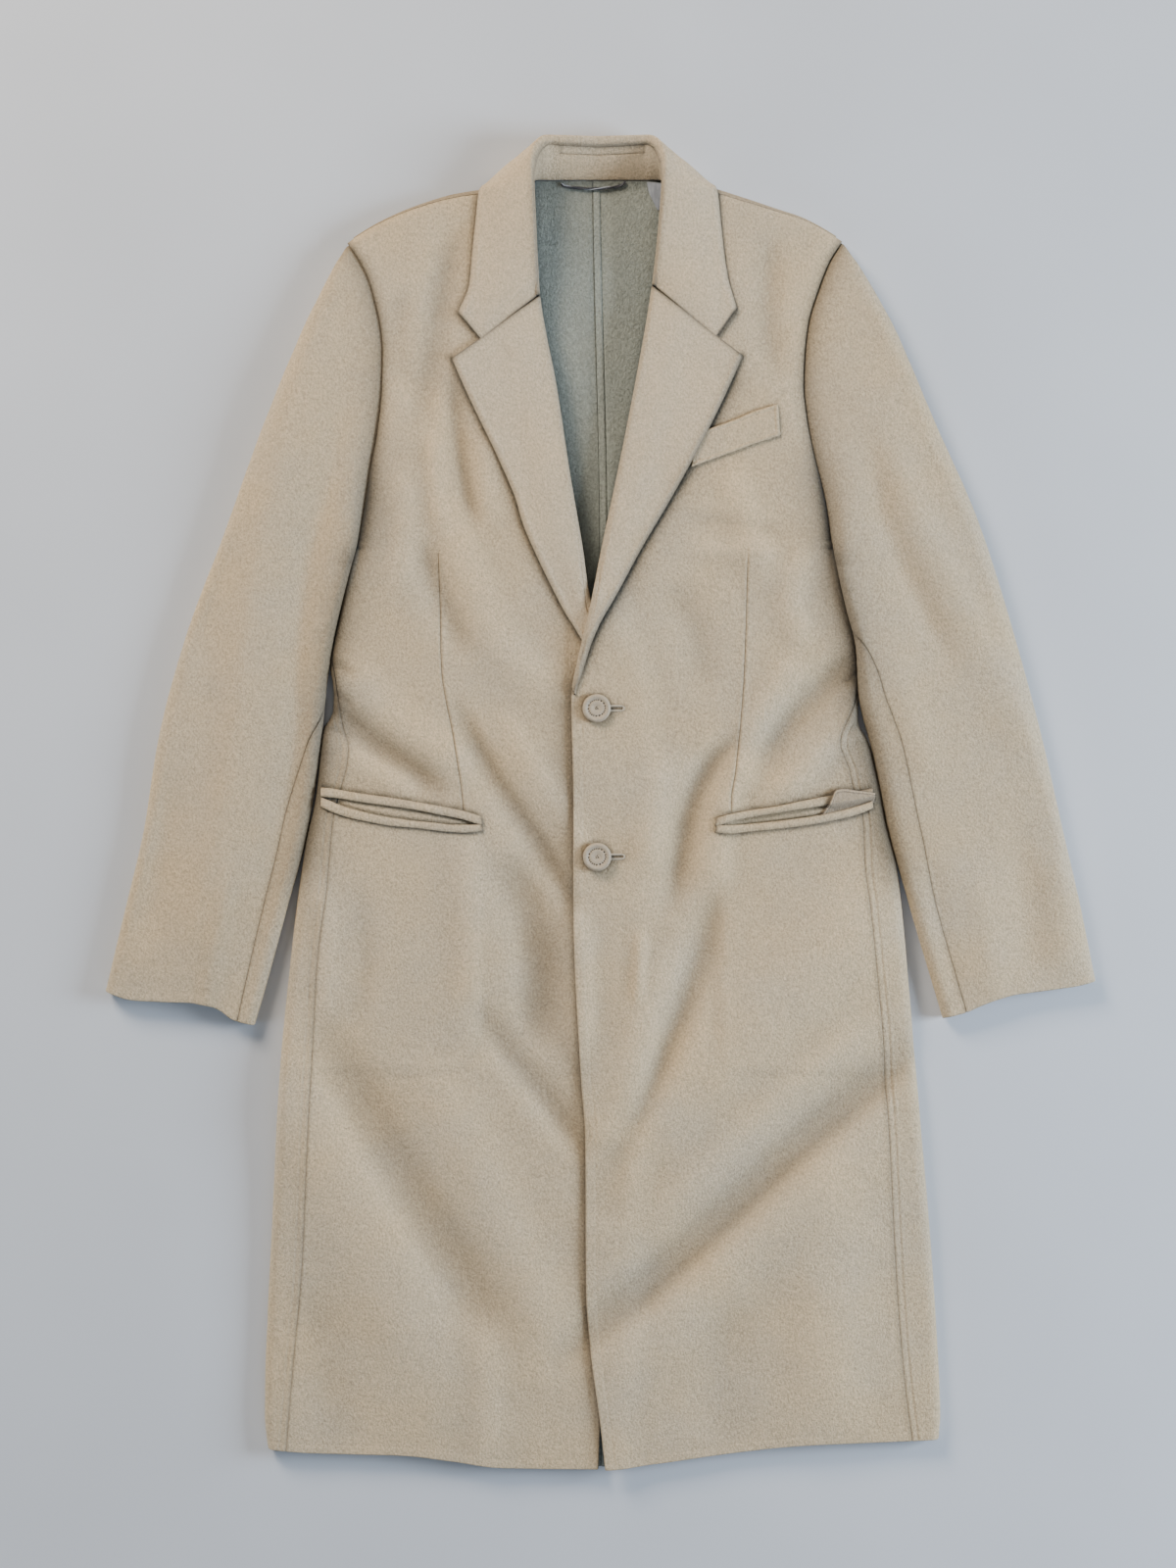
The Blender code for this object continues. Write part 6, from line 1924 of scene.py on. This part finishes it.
# --- pockets ---
@dataclass
class HipPocket(SidePart):
    """Two rolled jets along a gaping mouth, with the facing cloth seen between them."""

    jet_lift: float = 0.1
    jet_thick: float = 1.7
    facing_thick: float = 1.2

    def top_face(self, out: Array, level: Array) -> Array:
        """Height of the front's outer face without the mouth."""
        return self.form.top(self.hand, self.hand.value * out, level)

    def jet(self, node: str, upper: Curve, lower: Curve) -> None:
        """One jet: a strip rolled over along its length.

        Args:
            node: the solid it stands for.
            upper: its top edge.
            lower: its bottom edge.
        """
        out = np.linspace(self.lines.start, self.lines.stop, 110)[:, None]
        share = np.linspace(0.02, 0.98, 13)[None, :]
        slant = out + 1.6 * (0.5 - share) * (1 - ease((out - self.lines.start) / 6))
        level = upper(slant) + (lower(slant) - upper(slant)) * share
        arch = np.sqrt(np.maximum(1 - (2 * share - 1) ** 2, 0))
        z = self.top_face(slant, level) + self.jet_lift + 1.15 + 1.3 * arch - 0.5
        z = z + 0.12 * np.sin(out / 3.7) + 0.10 * np.sin(out / 1.9 + 1.0)
        grid = np.stack([self.hand.value * slant, level, z], -1)
        # painted shade along the jet's edges, at its inner end and, on the right, beside the flap
        painted_shade = dim(share * (1 - share) * 6.0 + 0 * level, 0.55, 0.28)
        painted_shade = painted_shade * dim(out - self.lines.start + 0 * level, 0.5, 1.2)
        if self.hand is Hand.RIGHT:
            painted_shade = painted_shade * dim(beside(slant + 0 * level, level, FLAP_EDGE) - 1.0, 0.6, 1.8)
        shell = Shell(f"{node}_cloth", grid, -self.hand.value, thick=self.jet_thick,
                      rolls=(0.7, 0.7, 0.6, 0.6), shade=painted_shade)
        finishes = self.wardrobe.plain(self.wardrobe.camel)
        self.room.sew(shell, finishes, node, "camel_wool", [f"front_{self.hand.tag}_cloth"])

    def build(self) -> None:
        """Make the jets and the facing."""
        tag, lines = self.hand.tag, self.lines
        self.jet(f"jet_upper_{tag}", lines.upper_top, lines.upper_low)
        self.jet(f"jet_lower_{tag}", lines.lower_top, lines.lower_low)
        out = np.linspace(lines.mouth_start - 4, lines.mouth_stop + 5, 60)[:, None]
        share = np.linspace(0, 1, 16)[None, :]
        high, low = lines.upper_low(out) + 5, lines.lower_top(out) - 5
        level = high + (low - high) * share
        x = self.hand.value * out + 0 * level
        within = ease(np.minimum(lines.upper_low(out) - level, level - lines.lower_top(out)) / 4)
        ends = ease((out - lines.mouth_start) / 8) * ease((lines.mouth_stop - out) / 8)
        lean = 0.35 + 0.65 * share
        z = self.top_face(out, level) - CLOTH - GAP - 0.8 + 3.3 * within * ends * lean
        grid = np.stack([x, level, z], -1)
        # painted shade: the facing darker towards the jets and at its top
        shell = Shell(f"pocket_cloth_{tag}_facing", grid, -self.hand.value, thick=self.facing_thick,
                      rolls=(0.4, 0.4, 0.4, 0.4), shade=0.8 + 0.2 * within * lean)
        finishes = self.wardrobe.plain(self.wardrobe.camel)
        self.room.sew(shell, finishes, f"pocket_cloth_{tag}", "pocketing", [f"front_{tag}_cloth"])


@dataclass
class FlapCorner(Part):
    """Corner of the right pocket's flap, folded up over the upper jet; it goes behind the lower."""

    start: float = 194.5
    slant: float = 11.0
    stop: float = 240.0

    def build(self) -> None:
        """Make the corner."""
        across = np.linspace(0, 1, 48)[:, None]
        up = np.linspace(0, 1, 26)[None, :]
        lines = POCKETS[Hand.RIGHT]
        start = self.start + self.slant * up**1.25
        out = start + (self.stop - start) * across
        corner = ease((out - 199) / 9)
        low = lines.lower_top(out) - 1.5
        high = FLAP_TOP(out) * corner + (1 - corner) * (FLAP_TOP(out) - 3.0)
        level = low + (high - low) * up
        jet = ease((level - lines.upper_low(out) + 3) / 4)
        z = self.form.top(Hand.RIGHT, out, level) - 0.6 + 4.6 * jet + 0.5 * np.sin(math.pi * up)
        edge = np.minimum(np.minimum(1 - up, across * 2.2) * 22, 8)
        z = z + 0.55 * bell(edge - 1.0, 1.6)
        grid = np.stack([out, level, z], -1)
        # painted highlight on the rolled rim, painted shadow line inside it and at the very edge, painted
        # shade where the corner goes behind the lower jet
        painted_shade = 1.2 - 0.26 * ease((edge - 1.2) / 0.8) - 0.5 * bell(edge - 2.0, 0.8)
        painted_shade = painted_shade * (1 - 0.25 * (1 - jet)) * np.where(edge < 0.5, 0.6, 1.0)
        shell = Shell("flap_right_cloth", grid, -1, thick=2.0, rolls=(0.9, 0.4, 0.4, 0.9), shade=painted_shade)
        finishes = self.wardrobe.plain(self.wardrobe.flap)
        self.room.sew(shell, finishes, "flap_right", "flap_cloth", ["front_right_cloth"])


@dataclass
class BreastWelt(Part):
    """The slanting breast welt; its inner end runs under the lapel."""

    length: float = 72.0
    height: float = 26.0
    top_ends: tuple[float, float] = (86.0, 154.6)
    low_ends: tuple[float, float] = (80.0, 156.4)

    def build(self) -> None:
        """Make the welt."""
        length, height = self.length, self.height
        across = (spaced(length, 1.6, (length, length - 1.8), 0.4) / length)[:, None]
        down = (spaced(height, 1.6, (0.0, 2.0, height - 1.5, height), 0.4) / height)[None, :]
        top_x = self.top_ends[0] + (self.top_ends[1] - self.top_ends[0]) * across
        low_x = self.low_ends[0] + (self.low_ends[1] - self.low_ends[0]) * across
        x = top_x + (low_x - top_x) * down
        level = WELT_TOP(x) + (WELT_LOW(x) - WELT_TOP(x)) * down
        rim = np.minimum(np.minimum(down * height, (1 - down) * height), (1 - across) * length)
        z = self.form.mid(Hand.RIGHT, x, level) + CLOTH + 0.1
        z = z + 0.4 * bell(rim - 1.0, 1.6) - 0.35 * bell(rim - 2.8, 1.1) + 0.3 * np.sin(math.pi * down)
        grid = np.stack([x, level, z], -1)
        shell = Shell("breast_welt_cloth", grid, -1, thick=1.8, rolls=(0.5, 1.0, 0.8, 0.7))
        finishes = self.wardrobe.plain(self.wardrobe.camel)
        self.room.sew(shell, finishes, "breast_welt", "camel_wool", ["front_right_cloth"])


# --- buttons, loop and label ---
@dataclass
class Button(Part):
    """A cloth-toned button with a raised rim and a ring of stitch dimples, in its keyhole slit."""

    name: str
    x: float
    y: float
    radius: float = BUTTON_RADIUS
    dimples: int = 20
    dimple_ring: float = 7.2
    slit_end: float = 22.0
    slit_half: float = 1.1

    def seat(self) -> float:
        """Height of the cloth under the button.

        Returns:
            The height.
        """
        turn = np.linspace(0, 2 * math.pi, 24)
        x, y = self.x + self.radius * np.cos(turn), self.y + self.radius * np.sin(turn)
        return float(self.form.top(Hand.RIGHT, x, y).max())

    def face(self, radius: Array, turn: Array) -> Array:
        """Height of the button's upper face over its underside.

        Args:
            radius: distances from the middle.
            turn: angles round it.

        Returns:
            The heights.
        """
        r = self.radius
        profile = Curve(((0, 3.9), (2.4, 3.7), (4.2, 4.1), (5.6, 4.2), (7.3, 3.9), (8.8, 4.5),
                         (10.2, 4.9), (11.2, 4.6), (11.9, 3.8), (r, 2.8)))
        return profile(radius) - 1.2 * self.marks(radius, turn)

    def marks(self, radius: Array, turn: Array) -> Array:
        """How deep in a dimple or in the moulded knot each point lies: 0 outside, 1 at the bottom.

        Args:
            radius: distances from the middle.
            turn: angles round it.

        Returns:
            The depths.
        """
        pitch = 2 * math.pi / self.dimples
        shift = 0.10 * np.sin(turn * 3 + 0.7)
        off = np.mod(turn + shift + pitch / 2, pitch) - pitch / 2
        ring = self.dimple_ring + 0.25 * np.sin(turn * 2 + 1.0)
        dimple = bell(off * ring, 0.85) * bell(radius - ring, 0.9)
        knot = 0.8 * bell(radius, 2.6) * ease(np.sin(turn * 3 + radius * 2.6) + 0.5)
        return np.maximum(dimple, knot)

    def build(self) -> None:
        """Make the button, then its buttonhole."""
        self.disc()
        self.buttonhole()

    def disc(self) -> None:
        """The button with its shank."""
        turns = 144
        rings = np.concatenate([np.linspace(0.4, 9.0, 30), np.linspace(9.3, self.radius, 14)])
        turn = np.linspace(0, 2 * math.pi, turns, endpoint=False)
        rest = self.seat() + 0.7
        radius, angle = np.meshgrid(rings, turn, indexing="ij")
        top = np.stack([self.x + radius * np.cos(angle), self.y + radius * np.sin(angle),
                        rest + self.face(radius, angle)], -1)
        lower = []
        for ring, z in ((self.radius - 0.5, 1.2), (self.radius - 1.6, 0.35), (9.0, 0.0), (1.1, 0.0),
                        (1.1, -3.6)):
            lower.append(np.stack([self.x + ring * np.cos(turn), self.y + ring * np.sin(turn),
                                   np.full(turns, rest + z)], -1))
        grid = np.concatenate([top, np.stack(lower)])
        points = grid.reshape(-1, 3)
        faces = []
        for i in range(grid.shape[0] - 1):
            a = i * turns + np.arange(turns)
            b = i * turns + (np.arange(turns) + 1) % turns
            faces += np.stack([a, a + turns, b + turns, b], -1).tolist()
        faces.append(list(range(turns)))
        last = (grid.shape[0] - 1) * turns
        faces.append([last + k for k in reversed(range(turns))])
        # painted shade: the deep parts of the dimples and the knot take the dark finish
        deep = self.marks(radius, angle)
        dark = np.maximum(deep[:-1], deep[1:]) > 0.36
        picks = np.zeros(len(faces), int)
        picks[:dark.size] = dark.reshape(-1)
        resin, pit_painted_shade = self.wardrobe.resin, self.wardrobe.pit_painted_shade
        piece = mesh_object(f"{self.name}_disc", points, faces, [resin, pit_painted_shade], picks)
        self.room.settle(piece, (self.name,), "button_cloth")

    def buttonhole(self) -> None:
        """The stitched keyhole: a slit between two close rows of purl stitches."""
        points, faces = [], []
        start, stop = self.x + self.radius - 2.0, self.x + self.slit_end
        places = []
        for side in (1, -1):
            for x in np.arange(start, stop, 0.62):
                wide = self.slit_half + 0.05 * math.sin(x * 7)
                places.append(((x, self.y + side * wide), (x + 0.1, self.y + side * (wide + 1.75))))
        for angle in np.linspace(-80, 80, 9):
            turn = math.radians(angle)
            aim = (math.cos(turn), math.sin(turn))
            places.append(((stop + self.slit_half * aim[0], self.y + self.slit_half * aim[1]),
                           (stop + 2.5 * aim[0], self.y + 2.5 * aim[1])))
        for near, far in places:
            share = np.linspace(0, 1, 5)[:, None]
            flat = np.asarray(near) * (1 - share) + np.asarray(far) * share
            top = self.form.top(Hand.RIGHT, flat[:, 0], flat[:, 1])
            z = top + 0.05 + 0.30 * np.sin(math.pi * share[:, 0])
            ring, quads = tube_mesh(np.column_stack([flat, z]), 0.36, 6, 0.9, sum(map(len, points)))
            points.append(ring)
            faces += quads
        piece = mesh_object(f"{self.name}_hole_stitches", np.concatenate(points), faces,
                            [self.wardrobe.thread])
        self.room.settle(piece, (), "camel_wool")
        # a thin near-black sheet painted as the slit's shadow
        x = np.linspace(start, stop + self.slit_half, 24)
        half = self.slit_half * np.sqrt(np.clip((x[-1] - x + 0.05) / 1.2, 0, 1))
        rows = []
        for share in np.linspace(-1, 1, 5):
            y = self.y + half * share
            z = self.form.top(Hand.RIGHT, x, y) + 0.02 - 0.2 * (1 - share**2)
            rows.append(np.column_stack([x, y, z]))
        shell = Shell(f"{self.name}_hole_slit", np.stack(rows), -1, thick=0.3, rolls=(0.1,) * 4)
        piece = shell.build(Finishes(*[self.wardrobe.slit] * 4))
        self.room.settle(piece, (), "camel_wool")


@dataclass
class HangerLoop(Part):
    """A dark twisted cord with a silver thread, across the back neck."""

    line: Pairs = ((-34, 546.8), (-31.5, 544.4), (-22, 542.9), (-2, 542.2), (12, 543.4), (19, 545.6),
                   (22, 548.6))
    high: float = 4.6

    def build(self) -> None:
        """Make the cord from two dark strands and a thin silver one."""
        along, (x, y) = smooth_line(self.line, 260)
        spine = np.column_stack([x, y, np.full(along.size, self.high)])
        tangent = np.gradient(spine, axis=0)
        tangent /= np.linalg.norm(tangent, axis=1, keepdims=True)
        across = np.cross(tangent, (0, 0, 1.0))
        points, faces, picks = [], [], []
        for phase, radius, off, pick in ((0.0, 0.78, 0.55, 0), (math.pi, 0.78, 0.55, 0),
                                         (math.pi / 2, 0.42, 0.95, 1)):
            turn = along / 34.0 * 2 * math.pi + phase
            path = (spine + across * (np.cos(turn) * off)[:, None]
                    + np.array((0, 0, 1.0)) * (np.sin(turn) * off)[:, None])
            ring, quads = tube_mesh(path, radius, 7, 1.0, sum(map(len, points)))
            points.append(ring)
            faces += quads
            picks += [pick] * len(quads)
        piece = mesh_object("hanger_loop_cord", np.concatenate(points), faces,
                            [self.wardrobe.cord, self.wardrobe.silver], np.asarray(picks))
        self.room.settle(piece, ("hanger_loop",), "loop_cord")


@dataclass
class Label(Part):
    """Blank satin label, seen as a corner beside the collar stand."""

    high: float = 4.4

    def build(self) -> None:
        """Make the label."""
        up = np.linspace(0, 1, 24)[:, None]
        across = np.linspace(0, 1, 16)[None, :]
        left_x = Curve(((0, 50.8), (0.72, 42.4), (1, 41.6)))(up)
        left_y = Curve(((0, 523.2), (0.72, 541.8), (1, 548.0)))(up)
        right_x, right_y = 62.5 - 1.5 * up, 527.0 + 19.0 * up
        x = left_x + (right_x - left_x) * across
        y = left_y + (right_y - left_y) * across
        z = self.high + 1.5 * np.sin(math.pi * up) * (0.3 + 0.7 * across) + 0.4 * across
        grid = np.stack([x, y, z], -1)
        shell = Shell("label_satin_tab", grid, -1, thick=0.7, rolls=(0.3, 0.3, 0.3, 0.3))
        finishes = Finishes(*[self.wardrobe.satin] * 4)
        self.room.sew(shell, finishes, "label", "label_satin", ["back_right_cloth"])


# --- the whole coat ---
@dataclass
class Coat:
    """The overcoat, assembled piece by piece."""

    room: Workroom = field(default_factory=Workroom)

    def build(self) -> None:
        """Make every piece in the order it is sewn."""
        for hand in Hand:
            for sub_assembly in (Back, SidePanel, Front, Sleeve, Lapel, HipPocket):
                sub_assembly(self.room, hand).build()
        for sub_assembly in (Collar, FlapCorner, BreastWelt):
            sub_assembly(self.room).build()
        for name, (x, y) in BUTTONS.items():
            Button(self.room, name, x, y).build()
        HangerLoop(self.room).build()
        Label(self.room).build()


@dataclass(frozen=True)
class Lamp:
    """A square soft light aimed at the coat: place and width in metres, power in watts."""

    name: str
    place: tuple[float, float, float]
    width: float
    power: float
    tint: Colour

    def hang(self) -> None:
        """Add the light to the scene."""
        data = bpy.data.lights.new(self.name, "AREA")
        data.shape, data.size = "SQUARE", self.width
        data.energy, data.color = self.power, self.tint
        lamp = bpy.data.objects.new(self.name, data)
        lamp.location = self.place
        x, y, z = self.place
        lamp.rotation_euler = (0.0, math.atan2(math.hypot(x, y), z), math.atan2(y, x))
        bpy.context.scene.collection.objects.link(lamp)


LAMPS = (
    Lamp("window_far", (-1.6, 2.1, 1.6), 1.1, 112.0, (1.0, 0.90, 0.77)),
    Lamp("window_above", (0.0, 0.3, 2.9), 2.2, 10.0, (1.0, 0.95, 0.88)),
    Lamp("window_right", (2.3, 0.0, 1.0), 1.0, 106.0, (0.72, 0.85, 1.0)),
    Lamp("window_left", (-2.3, -0.5, 0.5), 0.8, 20.0, (0.62, 0.80, 1.0)),
    Lamp("window_near", (0.5, -2.5, 1.2), 1.0, 15.0, (0.74, 0.85, 1.0)),
)


@dataclass
class Studio:
    """Pale floor, broad soft lights and the overhead camera."""

    floor_tone: Colour = (0.60, 0.62, 0.66)
    aim: tuple[float, float, float] = (-10.75, 18.06, 12.0)
    frame_high: float = 1376.0
    camera_high: float = 2300.0
    sky: float = 0.07

    def floor(self) -> None:
        """A wide flat slab with a faint grain."""
        g = Graph("floor_paint")
        broad = g.spread(g.noise(240.0, 2.0, 0.5), 0.3, 0.7)
        fine = g.spread(g.noise(3.0, 3.0, 0.6), 0.3, 0.7)
        shade = tuple(c * 0.94 for c in self.floor_tone)
        colour = g.mix(broad, shade, self.floor_tone)
        g.feed(g.shader, {"Base Color": colour, "Roughness": 0.85})
        g.bump(fine, 0.12, 0.2)
        half, low = 1700.0, -20.0
        rim = np.array([(-half, -half), (half, -half), (half, half), (-half, half)])
        points = [(x, y, z) for z in (-0.05, low) for x, y in rim]
        faces = [(0, 1, 2, 3), (7, 6, 5, 4)] + [(k, k + 4, (k + 1) % 4 + 4, (k + 1) % 4) for k in range(4)]
        piece = mesh_object("floor", points, faces, [g.material])
        for polygon in piece.data.polygons:
            polygon.use_smooth = False

    def camera(self) -> None:
        """The overhead camera."""
        data = bpy.data.cameras.new("overhead")
        data.sensor_fit, data.sensor_height = "VERTICAL", 36.0
        data.lens = 36.0 * self.camera_high / self.frame_high
        data.dof.use_dof = False
        camera = bpy.data.objects.new("overhead", data)
        camera.location = [self.aim[0] * MM, self.aim[1] * MM, (self.aim[2] + self.camera_high) * MM]
        bpy.context.scene.collection.objects.link(camera)
        bpy.context.scene.camera = camera

    def build(self) -> None:
        """Set up floor, lights, sky and camera."""
        self.floor()
        for lamp in LAMPS:
            lamp.hang()
        world = bpy.data.worlds.new("soft_sky")
        world.use_nodes = True
        shade = world.node_tree.nodes["Background"]
        shade.inputs["Color"].default_value = (0.93, 0.96, 1.0, 1.0)
        shade.inputs["Strength"].default_value = self.sky
        bpy.context.scene.world = world
        self.camera()


def main() -> None:
    """Build the coat and the room it lies in."""
    logging.basicConfig(level=logging.INFO, format="%(name)s: %(message)s")
    Studio().build()
    coat = Coat()
    coat.build()
    LOG.info("%d pieces", len(coat.room.made))


if __name__ == "__main__":
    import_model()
    main()
